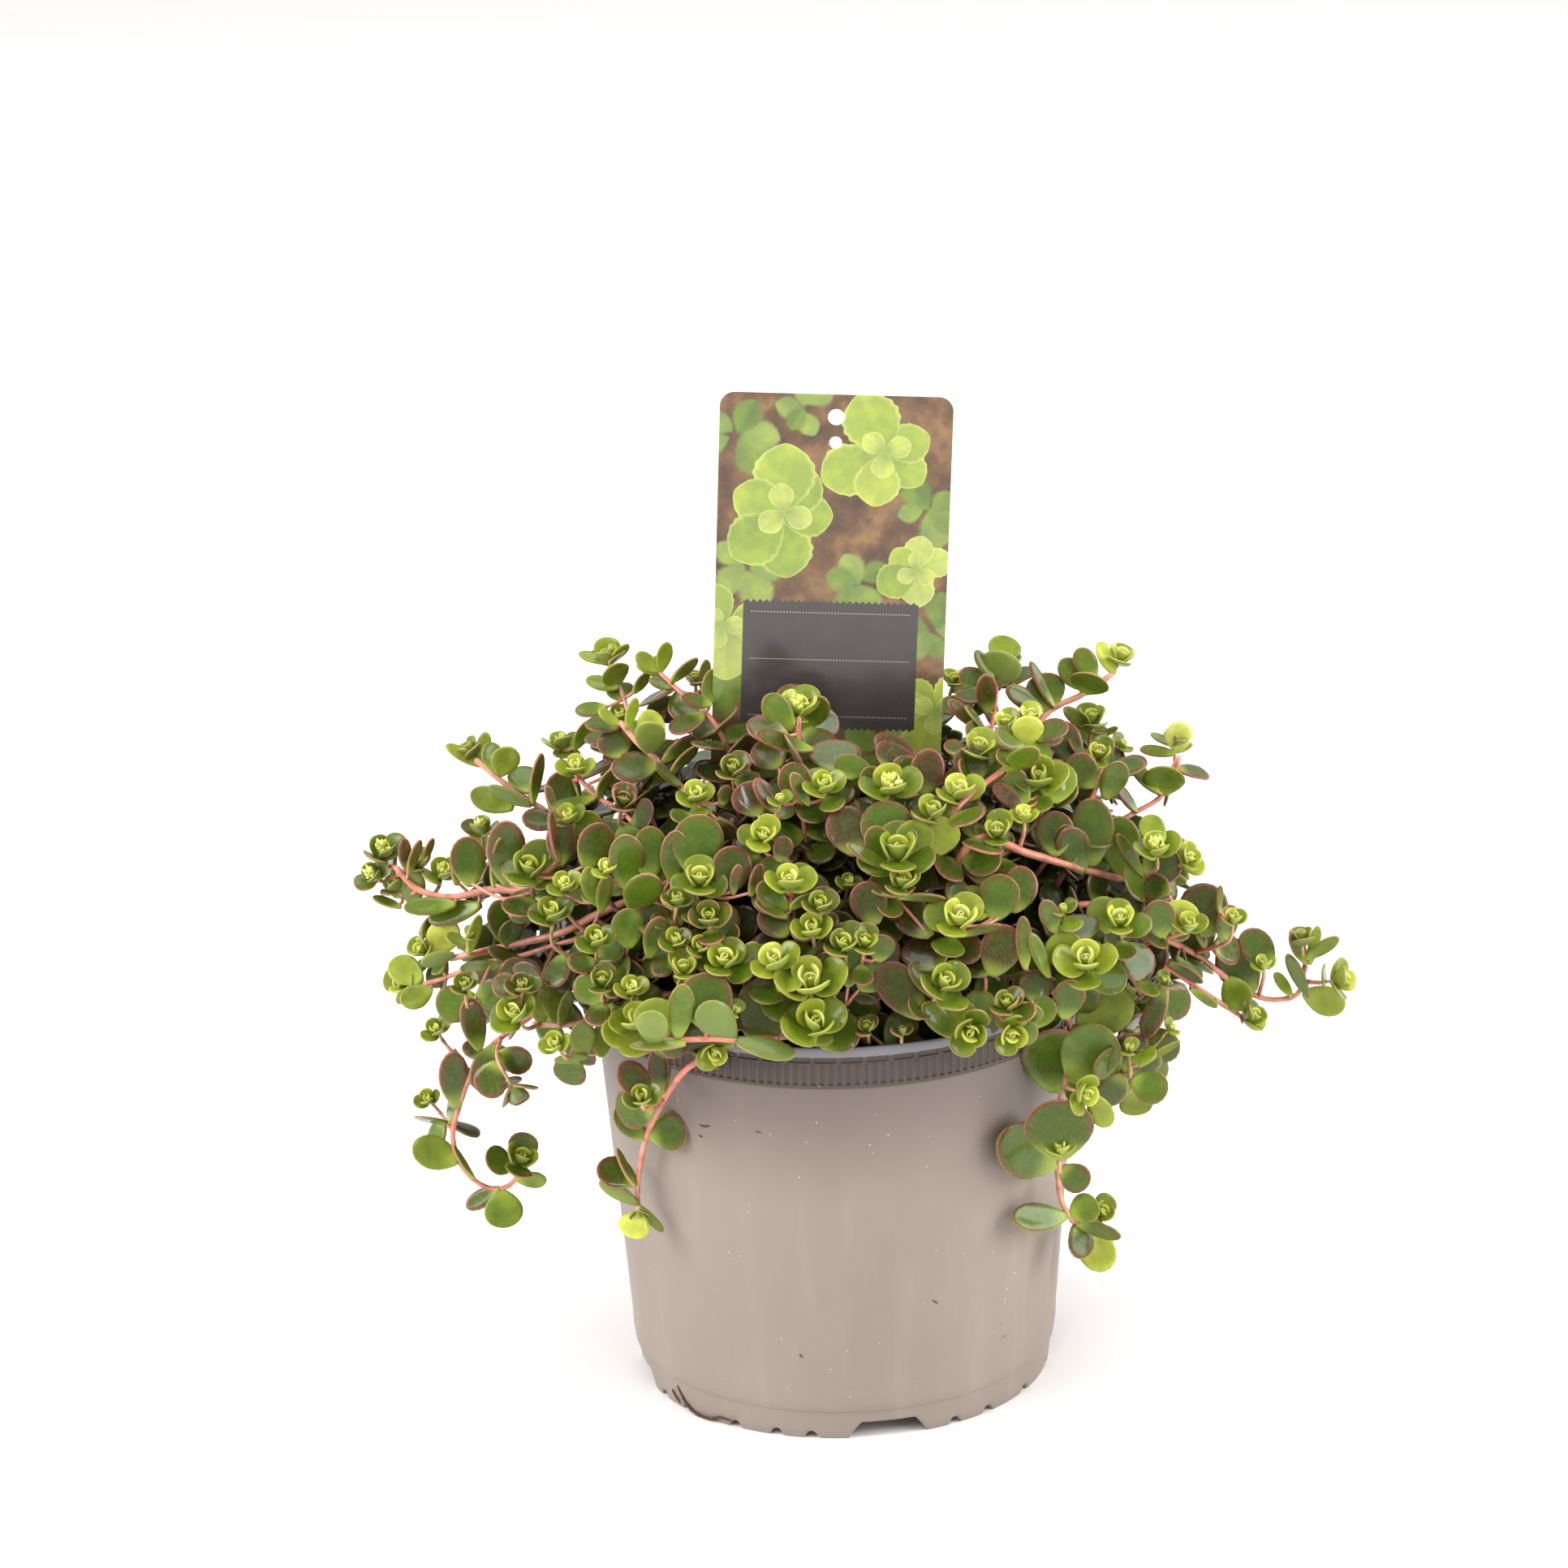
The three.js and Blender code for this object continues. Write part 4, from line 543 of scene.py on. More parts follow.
def onPot(u, v):
    # where a pixel's ray meets the pot's outer wall
    ray = pixelRay(u, v)
    near, far = cameraLook["distance"] - 300, cameraLook["distance"]
    for _ in range(40):
        half = (near + far) / 2
        point = eye + ray * half
        radius = bodyRadius(point[2]) if point[2] > potLook["bendHeight"] else potLook["footTopRadius"]
        if reachOf(point) > radius:
            near = half
        else:
            far = half
    return eye + ray * far


scrapes = [  # pixels along each mark, and its width in mm
    ([(834, 1707), (838, 1716), (844, 1728), (852, 1738), (862, 1745), (875, 1749), (887, 1747), (902, 1752)],
     1.5),
    ([(828, 1712), (832, 1720), (838, 1729)], 0.9),
    ([(862, 1386), (868, 1388), (875, 1387)], 1.3), ([(861, 1399), (866, 1401)], 0.9),
    ([(931, 1394), (938, 1396)], 1.0),
    ([(1149, 1602), (1156, 1606)], 0.7), ([(985, 1668), (989, 1673)], 0.7),
]


def makeScrapes():
    dirt = newGathering()
    draw = np.random.RandomState(23)
    for pixels, width in scrapes:
        path = smoothPath([onPot(*p) for p in pixels], 0.7)
        count = len(path)
        points = []
        for i, point in enumerate(path):
            out = unit(flat(point))
            way = unit(path[min(i + 1, count - 1)] - path[max(i - 1, 0)])
            across = np.cross(out, way)
            share = math.sin(math.pi * (i + 0.5) / count) ** 0.5
            half = width / 2 * share * draw.uniform(0.55, 1.1)
            high = 0.3 * share * draw.uniform(0.5, 1.0)
            for side, lift in ((-1, -0.3), (-0.55, high), (0.1, high * 1.3), (0.7, high * 0.8), (1, -0.3)):
                place = point + across * side * half + out * lift
                place[2] = max(place[2], 0.3)
                points.append(place)
        quads = [(i * 5 + j, i * 5 + (j + 1) % 5, i * 5 + 5 + (j + 1) % 5, i * 5 + 5 + j)
                 for i in range(count - 1) for j in range(5)]
        last = (count - 1) * 5
        ends = [(0, 2, 1), (0, 3, 2), (0, 4, 3), (last, last + 1, last + 2), (last, last + 2, last + 3),
                (last, last + 3, last + 4)]
        gather(dirt, points, quads, ends)
    return dirt


def makeDirtFinish():
    f = Finish("driedDirt")
    grit = f.noise(900, 4, 0.7)
    f.set(Base_Color=f.ramp(grit, [(0.3, "20130c"), (0.5, "4c2c18"), (0.7, "7c5232")]))
    f.set(Roughness=f.fade(grit, 0.3, 0.7, 0.6, 0.9), Normal=f.bump(grit, 0.8, 0.0004))
    return f.material


potFinish, bandFinish, lipFinish = (makePotFinish(*potFinishes[key]) for key in ("body", "band", "lip"))

rimPiece = makePiece("pot_rim", makeRim(), bandFinish, ["pot"], 40)
rimPiece.data.materials.append(lipFinish)
lipLow = potLook["lipBottom"] / 1000 - 0.0002
for face in rimPiece.data.polygons:
    face.material_index = int(face.center.z > lipLow)
makePiece("pot_body", makeBody(), potFinish, ["pot"], 40)
makePiece("pot_foot", makeFoot(), potFinish, ["pot"], 50)
makePiece("pot_scrapes", makeScrapes(), makeDirtFinish())
print("pot moulded")


# Soil: a crumbly top on the root ball
soilLook = {
    "top": 137.0,
    "crown": 1.5,  # how much higher its middle stands
    "floor": 12.7,
    "gap": 0.45,  # to the pot's wall
    "dip": 1.2,
    "rough": (-1.1, 0.44),
    "reaches": [80.6, 77, 73, 69, 65, 61, 57, 52, 47, 41, 35, 28, 20, 12, 5, 1],
    "crumbs": 520,
    "crumbSizes": (0.7, 2.4),
}


def makeSoil():
    look = soilLook
    draw = np.random.RandomState(5)
    inner = potLook["wall"] + look["gap"]
    side = [(1.0, look["floor"]), (70.7, look["floor"]), (bodyRadius(20) - inner - 0.3, 20.0)]
    side += [(bodyRadius(h) - inner, h) for h in (60, 100, 130)]
    loops = []
    for _ in range(150):
        tops = [look["top"] - look["dip"] + look["crown"] * (1 - reach / 80) + draw.uniform(*look["rough"])
                for reach in look["reaches"]]
        loops.append([*side, *zip(look["reaches"], tops)])
    soil = newGathering()
    closedSweep(soil, np.arange(150) * 2.4, loops, damp=0.5)
    for _ in range(look["crumbs"]):
        reach, turn = 79 * math.sqrt(draw.uniform(0, 1)), draw.uniform(0, 360)
        size = draw.uniform(*look["crumbSizes"])
        addCrumb(soil, atTurn(turn, reach, look["top"] - 0.6 + draw.uniform(-0.6, 0.5)), size, draw)
    return soil


def addCrumb(into, middle, size, draw):
    # a lump of bark or peat: six corners pulled about, cut once more so that it isn't regular
    shape = draw.uniform(0.5, 1.1, 3) * size
    ways = np.array([(1, 0, 0), (-1, 0, 0), (0, 1, 0), (0, -1, 0), (0, 0, 1), (0, 0, -1)], float)
    corners = [(0, 2, 4), (2, 1, 4), (1, 3, 4), (3, 0, 4), (2, 0, 5), (1, 2, 5), (3, 1, 5), (0, 3, 5)]
    points = [*(ways * draw.uniform(0.75, 1.2, (6, 1)))]
    faces = []
    halves = {}

    def half(a, b):
        key = (min(a, b), max(a, b))
        if key not in halves:
            halves[key] = len(points)
            points.append(unit(points[a] + points[b]) * draw.uniform(0.75, 1.15))
        return halves[key]

    for a, b, c in corners:
        ab, bc, ca = half(a, b), half(b, c), half(c, a)
        faces += [(a, ab, ca), (ab, b, bc), (ca, bc, c), (ab, bc, ca)]
    spin = np.array(Matrix.Rotation(draw.uniform(0, 6), 3, "Z") @ Matrix.Rotation(draw.uniform(0, 3), 3, "X"))
    gather(into, middle + (np.array(points) * shape) @ spin.T, triangles=faces, damp=draw.uniform(0, 1))


def makeSoilFinish():
    f = Finish("pottingSoil")
    damp = f.mark("damp")
    crumb = f.noise(520, 5, 0.7)
    tone = f.plus(f.times(crumb, 0.7), f.times(damp, 0.35), clamp=True)
    f.set(Base_Color=f.ramp(tone, [(0.2, "1c130e"), (0.5, "38271c"), (0.72, "54402f"), (0.95, "7c6248")]))
    f.set(Roughness=f.fade(crumb, 0.3, 0.7, 0.75, 0.98))
    f.set(Normal=f.bump(f.noise(1400, 4, 0.7), 0.9, 0.0006, f.bump(crumb, 0.8, 0.0015)))
    return f.material


makePiece("soil_ball", makeSoil(), makeSoilFinish(), ["soil"])
print("soil filled in")


# Plant label: a printed card with two punched holes and a pointed stake, which leans a little to the right
labelLook = {
    "x": 4.3, "y": 3.0, "top": 354.5, "lean": 2.9, "width": 79.5, "height": 140.0, "thickness": 0.6,
    "corner": 5.0, "stakeWidth": 24.0, "stakeHeight": 112.0, "pointHeight": 18.0, "pointWidth": 2.4,
    "shoulder": (3, 4),  # where the card narrows to its stake
    "holes": [(0, 8, 2.9), (0, 17, 2.2)],
    "panel": (-30.0, 30.2, 73.5, 120.5),  # left, right, top and bottom, mm from the card's middle and top
    "dotRows": (78.0, 95.0, 115.5),
    "tones": {
        "near": ["a3ae50", "93a348", "aeb766", "839442"],
        "far": ["66763a", "76864a", "56662f", "84924f"],
    },
    "ground": [(0.3, "33241a"), (0.5, "5a4230"), (0.62, "7a5c40"), (0.8, "4a4c2c")],
    "blur": {"near": 0.02, "far": 0.16},
    # sprays of printed leaves: across, down, leaf length, leaves, first turn
    "sprays": {
        "far": [(-34, 14, 15, 5, 10), (-12, 6, 13, 5, 40), (33, 40, 14, 5, 0), (-30, 62, 15, 5, 25),
                (8, 66, 14, 5, 50), (-36, 105, 16, 5, 5), (36, 84, 14, 5, 33), (20, 128, 15, 5, 12),
                (-14, 131, 14, 5, 45)],
        "near": [(17, 20, 21, 5, 62), (-17, 42, 23, 6, 20), (29, 62, 16, 5, 8), (-37, 84, 18, 5, 50),
                 (37, 113, 18, 5, 70)],
    },
}


def labelOutline():
    look = labelLook
    half, corner, low = look["width"] / 2, look["corner"], -look["height"]
    stake, end, tip = look["stakeWidth"] / 2, low - look["stakeHeight"], look["pointWidth"] / 2
    (out, down), shoulder = look["shoulder"], low - look["stakeHeight"] + look["pointHeight"]

    def rounded(x, y, first, count):
        turns = math.radians(first) - np.linspace(0, math.pi / 2, count)
        return [(x + corner * math.cos(a), y + corner * math.sin(a)) for a in turns]

    right = [(stake + out, low), (stake, low - down), (stake, shoulder), (tip, end)]
    return [
        *rounded(half - corner, -corner, 90, 9), *rounded(half - corner, low + corner, 0, 5), *right,
        *[(-x, y) for x, y in right[::-1]],
        *rounded(corner - half, low + corner, -90, 5), *rounded(corner - half, -corner, 180, 9),
    ]


def makeLabel():
    look = labelLook
    loops = [labelOutline()]
    for across, down, radius in look["holes"]:
        turns = np.arange(28) * 2 * math.pi / 28
        loops.append([(across + radius * math.cos(a), -down + radius * math.sin(a)) for a in turns])
    a, b = np.array([place for loop in loops for place in loop]).T
    lean = math.radians(look["lean"])
    x = look["x"] + a * math.cos(lean) + b * math.sin(lean)
    z = look["top"] - a * math.sin(lean) + b * math.cos(lean)
    tiles = []
    for p, q, r in tessellate_polygon([[Vector((*place, 0)) for place in loop] for loop in loops]):
        turn = (a[q] - a[p]) * (b[r] - b[p]) - (b[q] - b[p]) * (a[r] - a[p])
        tiles.append((p, q, r) if turn > 0 else (r, q, p))
    tiles = np.array(tiles)
    card = newGathering()
    for side, front in ((-1, 1.0), (1, 0.0)):
        y = np.full_like(x, look["y"] + side * look["thickness"] / 2)
        gather(card, np.stack([x, y, z], axis=1), triangles=tiles[:, ::-side], cardX=a, cardY=-b, front=front)
    offset, count = 0, len(a)
    for loop in loops:
        area = sum(p[0] * q[1] - q[0] * p[1] for p, q in zip(loop, loop[1:] + loop[:1]))
        ring = [offset + k for k in range(len(loop))][::1 if area < 0 else -1]
        quads = [(p, q, q + count, p + count) if offset == 0 else (q, p, p + count, q + count)
                 for p, q in zip(ring, ring[1:] + ring[:1])]
        gather(card, np.zeros((0, 3)), quads=np.array(quads) - card["count"])
        offset += len(loop)
    return card


def makePrintedLeafGroup():
    tree = bpy.data.node_groups.new("printedLeaf", "ShaderNodeTree")
    for name in ("X", "Y", "MiddleX", "MiddleY", "Cos", "Sin", "Size", "Soft"):
        tree.interface.new_socket(name, in_out="INPUT", socket_type="NodeSocketFloat")
    for name, way in (("Tone", "INPUT"), ("Below", "INPUT"), ("Color", "OUTPUT")):
        tree.interface.new_socket(name, in_out=way, socket_type="NodeSocketColor")
    f = Finish("printedLeaf", tree)
    given = f.node("NodeGroupInput").outputs
    # a trace of the colour below makes the renderer work the leaves out one after another, within its memory
    trace = f.times(given["Below"], 1e-7)
    x, y = (f.minus(f.plus(given[name], trace), given["Middle" + name]) for name in "XY")
    a = f.minus(f.times(x, given["Cos"]), f.times(y, given["Sin"]))
    b = f.plus(f.times(x, given["Sin"]), f.times(y, given["Cos"]))
    a = f.math("DIVIDE", a, given["Size"])
    s = f.math("DIVIDE", b, given["Size"], clamp=True)
    arch = f.math("SINE", f.times(f.math("POWER", s, 1.25), math.pi))
    half = f.times(f.math("POWER", f.math("MAXIMUM", arch, 0.0), 0.62), 0.43)
    scallop = f.times(f.math("SINE", f.times(s, 46.0)), 0.012)
    gap = f.minus(f.plus(half, f.times(scallop, arch)), f.math("ABSOLUTE", a))
    mask = f.fade(gap, 0.0, given["Soft"])
    light = f.fade(f.plus(f.times(a, 1.6), s), 0.2, 1.2, 0.34, 0.0)
    tone = f.mix(light, given["Tone"], "566f30")
    crisp = f.fade(given["Soft"], 0.02, 0.1, 0.3, 0.04)
    tone = f.mix(f.fade(a, -0.05, 0.05, 0.0, 0.3), tone, "6f8a34")
    tone = f.mix(f.times(f.fade(gap, 0.0, 0.09, 1.0, 0.0), crisp), tone, "e0e690")
    tone = f.mix(f.fade(s, 0.0, 0.5, 0.5, 0.0), tone, "64803a")
    f.give(f.node("NodeGroupOutput"), Color=f.mix(mask, given["Below"], tone))
    return tree


def makeLabelFinish():
    look = labelLook
    f = Finish("printedCard")
    x, y, front = f.mark("cardX"), f.mark("cardY"), f.mark("front")
    leafGroup = makePrintedLeafGroup()
    draw = np.random.RandomState(8)

    def leaf(below, across, down, turn, size, tone, soft):
        a = math.radians(turn)
        made = f.node("ShaderNodeGroup", node_tree=leafGroup)
        f.give(made, X=x, Y=y, MiddleX=across, MiddleY=down, Cos=math.cos(a), Sin=math.sin(a), Size=size)
        return f.give(made, Soft=soft, Tone=tone, Below=below).outputs["Color"]

    def within(value, low, high):
        return f.times(f.fade(value, low - 0.1, low + 0.1), f.fade(value, high - 0.1, high + 0.1, 1, 0))

    picture = f.ramp(f.noise(55, 4, 0.6), look["ground"])
    for group, sprays in look["sprays"].items():
        tones, soft = look["tones"][group], look["blur"][group]
        for across, down, size, count, first in sprays:
            for k in range(count):
                turn = first + k * 360 / count + draw.uniform(-22, 22)
                length = size * draw.uniform(0.7, 1.15)
                off = (across + draw.uniform(-2, 2), down + draw.uniform(-2, 2))
                picture = leaf(picture, *off, turn, length, tones[draw.randint(len(tones))], soft)
            for k in range(3 if group == "near" else 0):
                picture = leaf(picture, across, down, first + 50 + k * 120, size * 0.45, tones[2], soft)
    picture = f.mix(f.fade(f.noise(150, 3, 0.6), 0.35, 0.7, 0.0, 0.5), picture, "f4eeb0", "SOFT_LIGHT")
    left, right, top, bottom = look["panel"]
    zig = f.times(f.math("PINGPONG", x, 1.1), 0.9)
    inside = f.times(within(x, left, right), f.fade(f.minus(y, zig), top - 0.1, top + 0.1))
    inside = f.times(inside, f.fade(f.plus(y, zig), bottom - 0.1, bottom + 0.1, 1, 0))
    picture = f.mix(inside, picture, "3f3a38")
    rows = [f.fade(f.math("ABSOLUTE", f.minus(y, row)), 0.1, 0.2, 1, 0) for row in look["dotRows"]]
    dots = f.times(f.plus(f.plus(*rows[:2]), rows[2]), f.fade(f.math("PINGPONG", x, 0.55), 0.22, 0.32))
    between = within(x, left + 2.4, right - 2.4)
    picture = f.mix(f.times(f.times(dots, between), 0.55), picture, "d8d4cc")
    f.set(Base_Color=f.mix(front, "e9e6dc", picture))
    f.set(Roughness=f.fade(f.noise(120, 2, 0.5), 0.3, 0.7, 0.26, 0.34))
    f.set(Coat_Weight=0.25, Coat_Roughness=0.1, Normal=f.bump(f.noise(30, 2, 0.5), 0.1, 0.0004))
    return f.material


makePiece("label_card", makeLabel(), makeLabelFinish(), ["plant_label"], 40)
print("label printed")


# Leaf blades: a round leaf on a narrow base, with a thick smooth margin all the way round
bladeLook = {
    "widest": 0.57,  # share of the length
    "base": 0.2,  # share of the width
    "swell": 0.86,
    "tipPull": 0.7,
    "middle": 0.6,  # share of the length
    "thickness": 1.3,  # mm, on a leaf of the usual length
    "usualLength": 12,
    "skew": 0.07,
    "wave": 0.05,
    "fineRings": [(0.0, 0.0), (0.055, 0.6), (0.2, 0.93), (0.55, 1.0), (1.0, 0.96)],
    "plainRings": [(0.0, 0.0), (0.09, 0.72), (0.42, 1.0), (1.0, 0.98)],
    "fineSteps": [0.0, 0.06, 0.17, 0.32, 0.46],
    "evenSteps": [0.0, 0.08, 0.22, 0.4],
    "plainSteps": [0.0, 0.12, 0.34],
    "fineTurns": [0, 21, 42, 62, 79],
    "evenTurns": [0, 25, 48, 70],
    "plainTurns": [0, 32, 64],
}


def makeBlade(rings, steps, turns):
    widest = bladeLook["widest"]
    side = []
    for step in steps:
        swell = math.sin(math.pi / 2 * (step / widest) ** bladeLook["swell"])
        side.append((step, bladeLook["base"] + (1 - bladeLook["base"]) * swell))
    for turn in turns:
        a = math.radians(turn)
        side.append((widest + (1 - widest) * math.sin(a), math.cos(a)))
    around = side + [(1.0, 0.0)] + [(s, -w) for s, w in reversed(side)]
    count = len(around)
    edge = np.array(around)
    spine = np.where(edge[:, 0] > widest, widest + (edge[:, 0] - widest) * bladeLook["tipPull"], edge[:, 0])
    points, index = [], {}
    for face in (1, -1):
        for r, (inward, height) in enumerate(rings):
            for i in range(count):
                if r == 0 and face < 0:
                    index[face, r, i] = index[1, r, i]
                    continue
                if r == len(rings) - 1 and i > count // 2:
                    index[face, r, i] = index[face, r, count - 1 - i]
                    continue
                index[face, r, i] = len(points)
                along = edge[i, 0] + (spine[i] - edge[i, 0]) * inward
                across = edge[i, 1] * (1 - inward)
                upper = 0.5 if r == 0 else (1.0 if face > 0 else 0.0)
                points.append((along, across, face * height, upper, edge[i, 0] - along, edge[i, 1] - across))
    quads, triangles = [], []

    def add(*corners):
        kept = list(dict.fromkeys(corners))
        if len(kept) == 4:
            quads.append(kept)
        elif len(kept) == 3:
            triangles.append(kept)

    end = count - 1
    for r in range(len(rings) - 1):
        for i in range(end):
            add(index[1, r, i], index[1, r, i + 1], index[1, r + 1, i + 1], index[1, r + 1, i])
            add(index[-1, r, i], index[-1, r + 1, i], index[-1, r + 1, i + 1], index[-1, r, i + 1])
        add(index[1, r, 0], index[1, r + 1, 0], index[-1, r + 1, 0], index[-1, r, 0])
        add(index[1, r + 1, end], index[1, r, end], index[-1, r, end], index[-1, r + 1, end])
    triangles = np.array(triangles).reshape(-1, 3)
    return {"points": np.array(points), "quads": np.array(quads), "triangles": triangles}


# three levels of detail, the plainest first
blades = [makeBlade(bladeLook[rings], bladeLook[steps], bladeLook[turns]) for rings, steps, turns in (
    ("plainRings", "plainSteps", "plainTurns"),
    ("plainRings", "evenSteps", "evenTurns"),
    ("fineRings", "fineSteps", "fineTurns"),
)]
leafCount = [0, 0, 0]
leafMiddles = []  # where leaves already are, so that others leave them room
drops = newGathering()
dropLook = {
    "profile": [(0.6, 0.82), (0.95, 0.4), (1.0, 0.05), (0.85, -0.2)],  # reach and height, from the top down
    "sides": 8,
    "flatness": 0.62,
    "sink": 0.2,
    "radii": (0.35, 0.85),  # mm
    "wetLeaves": 0.12,  # share of the rosettes' leaves
}


def addDrop(spot, face, radius):
    look = dropLook
    up = unit(face)
    side = sideOf(up)
    other = np.cross(up, side)
    points = [spot + up * radius * look["flatness"]]
    for reach, height in look["profile"]:
        for a in np.arange(look["sides"]) * 2 * math.pi / look["sides"]:
            out = side * math.cos(a) + other * math.sin(a)
            points.append(spot + (out * reach + up * height * look["flatness"]) * radius)
    points.append(spot - up * radius * look["sink"])
    gather(drops, points, *lumpFaces(len(look["profile"]), look["sides"], downward=True))


def addLeaf(into, foot, along, face, length, width, age, draw, cup, curl, detail, thick=1.0, wet=0.0):
    along = unit(along)
    face = unit(face - along * np.dot(face, along))
    across = np.cross(along, face)
    blade = blades[detail]
    leafCount[detail] += 1
    s, w, h, upper, gapAlong, gapAcross = blade["points"].T
    thickness = bladeLook["thickness"] * thick * (0.55 + 0.45 * length / bladeLook["usualLength"])
    skew, wave = (draw.uniform(-reach, reach) for reach in (bladeLook["skew"], bladeLook["wave"]))
    x = (w + skew * s * (1 - s) * 2) * width / 2
    bend = curl + 1e-4  # never quite 0, because the arc is divided by it
    y = np.sin(bend * s) / bend * length
    z = (1 - np.cos(bend * s)) / bend * length
    z = z + cup * width / 2 * w ** 2 * (0.4 + 0.6 * s) + wave * width * w * s
    lift = h * thickness / 2 * (0.75 + 0.5 * (1 - s) * (np.abs(w) < 0.9))
    z = z + lift * np.cos(bend * s)
    y = y - lift * np.sin(bend * s)
    points = foot + x[:, None] * across + y[:, None] * along + z[:, None] * face
    middle = foot + along * length * bladeLook["middle"]
    leafMiddles.append(middle)
    if draw.random_sample() < wet:
        inside = np.flatnonzero((upper == 1) & (s > 0.35) & (gapAcross > 0))
        addDrop(points[inside[draw.randint(len(inside))]], face, draw.uniform(*dropLook["radii"]))
    rim = np.hypot(gapAlong * length, gapAcross * width / 2)
    gather(into, points, blade["quads"], blade["triangles"], rim=rim, along=s, upper=upper, age=age,
           tone=draw.random_sample(), deep=deepShadeShare(middle)[0])


# Stems: tubes on a smooth curve, a little swollen where leaves sit
stemLook = {
    "mainRadius": 1.5,
    "branchRadius": 0.8,
    "twigRadius": 0.7,
    "sides": 7,
    "spacing": 2.8,  # mm between rings
    "nodeEvery": 9.5,  # mm between swollen nodes
    "nodeSwell": 0.16,
    "rootTip": 0.3,  # how far the ends stand out, in radii
    "roundTip": 0.9,
    "bluntTip": 0.35,
}


def addStem(into, path, radii, ages, draw, sides=stemLook["sides"], blunt=False, paintedShade=1.0):
    path = np.asarray(path)
    gone = runOf(path)
    share = gone / gone[-1]
    ways = np.gradient(path, axis=0)
    ways /= np.linalg.norm(ways, axis=1)[:, None]
    side = np.cross(ways[0], [0.3, 0.2, 1.0])
    sidesAt = []
    for way in ways:
        side = unit(side - way * np.dot(side, way))
        sidesAt.append(side)
    sidesAt = np.array(sidesAt)
    others = np.cross(ways, sidesAt)
    node = np.cos((gone + draw.uniform(0, 9)) * 2 * math.pi / stemLook["nodeEvery"]) ** 8
    radius = (radii[0] + (radii[1] - radii[0]) * share) * (1 + stemLook["nodeSwell"] * node)
    turns = np.arange(sides) * 2 * math.pi / sides
    ring = np.cos(turns)[None, :, None] * sidesAt[:, None] + np.sin(turns)[None, :, None] * others[:, None]
    tube = (path[:, None] + ring * radius[:, None, None]).reshape(-1, 3)
    reach = stemLook["bluntTip"] if blunt else stemLook["roundTip"]
    tips = [path[0] - ways[0] * radii[0] * stemLook["rootTip"], path[-1] + ways[-1] * radii[1] * reach]
    points = np.concatenate([tube, tips])
    base, top = len(tube), len(tube) - sides
    steps = [(j, (j + 1) % sides) for j in range(sides)]
    quads = [(i + j, i + k, i + sides + k, i + sides + j) for i in range(0, top, sides) for j, k in steps]
    triangles = [(base, k, j) for j, k in steps] + [(base + 1, top + j, top + k) for j, k in steps]
    marks = {
        "age": np.append(np.repeat(ages[0] + (ages[1] - ages[0]) * share, sides), ages),
        "node": np.append(np.repeat(node, sides), [0, 0]),
        "run": np.append(np.repeat(gone, sides), [0, gone[-1]]),
    }
    # painted shade deep in the foliage, weaker where the stem shows in front
    gather(into, points, quads, triangles, deep=deepShadeShare(points) * paintedShade,
           tone=draw.random_sample(), **marks)


# Rosettes: pairs of leaves at right angles, each pair steeper and smaller than the one below it
rosetteLook = {
    "lengths": [1.38, 1.12, 0.8, 0.5],  # shares of the rosette's radius
    "leans": [68, 50, 35, 22],  # degrees from the axis
    "widths": [1.0, 1.0, 1.0, 0.98],  # shares of the length
    "cups": [0.3, 0.5, 0.7, 0.85],
    "curls": [0.4, 0.6, 0.7, 0.7],
    "offsets": [0.04, 0.06, 0.09, 0.08],  # of a leaf's foot from the axis, in radii
    "ageSteps": [0.22, 0.08, -0.06, -0.22],
    "depth": 0.62,  # how far the cup's foot lies under its middle, in radii
    "height": 0.62,  # share of that depth over which the pairs stand
    "fullRadius": 4.2,  # mm, over which a rosette has all four pairs
    "evenLength": 5,  # mm, over which an inner leaf has the middle level of detail
    "pairDrops": [5.0, 11.0],  # mm below the foot
}


def addPair(into, foot, axis, turn, lean, length, width, age, draw, cup, curl, detail, spread=5.0, room=0.0,
            out=0.5, wet=0.0):
    side = turned(sideOf(axis), axis, turn)
    for sign in (1, -1):
        a = math.radians(lean + draw.uniform(-spread, spread))
        swing = turned(side * sign, axis, math.radians(draw.uniform(-spread, spread)))
        along = axis * math.cos(a) + swing * math.sin(a)
        face = axis * math.sin(a) - swing * math.cos(a)
        size = length * draw.uniform(0.93, 1.07)
        wide = size * width * draw.uniform(0.95, 1.05)
        if not room or isFree(foot, along * size, room):
            addLeaf(into, foot + swing * out, along, face, size, wide, age, draw, cup, curl, detail, wet=wet)


budLook = {
    "count": 8,
    "turn": 2.4,
    "lean": 0.32,
    "leanStep": 0.2,
    "reaches": (0.3, 0.5),  # shares of the rosette's radius
    "sizes": (0.14, 0.2),
    "profile": [(0.75, -0.4, 0.4), (1.0, 0.3, 0.6), (0.62, 1.2, 0.8)],  # reach, height, place along
    "tip": 2.1,
    "sides": 6,
    "pinch": 0.78,
}


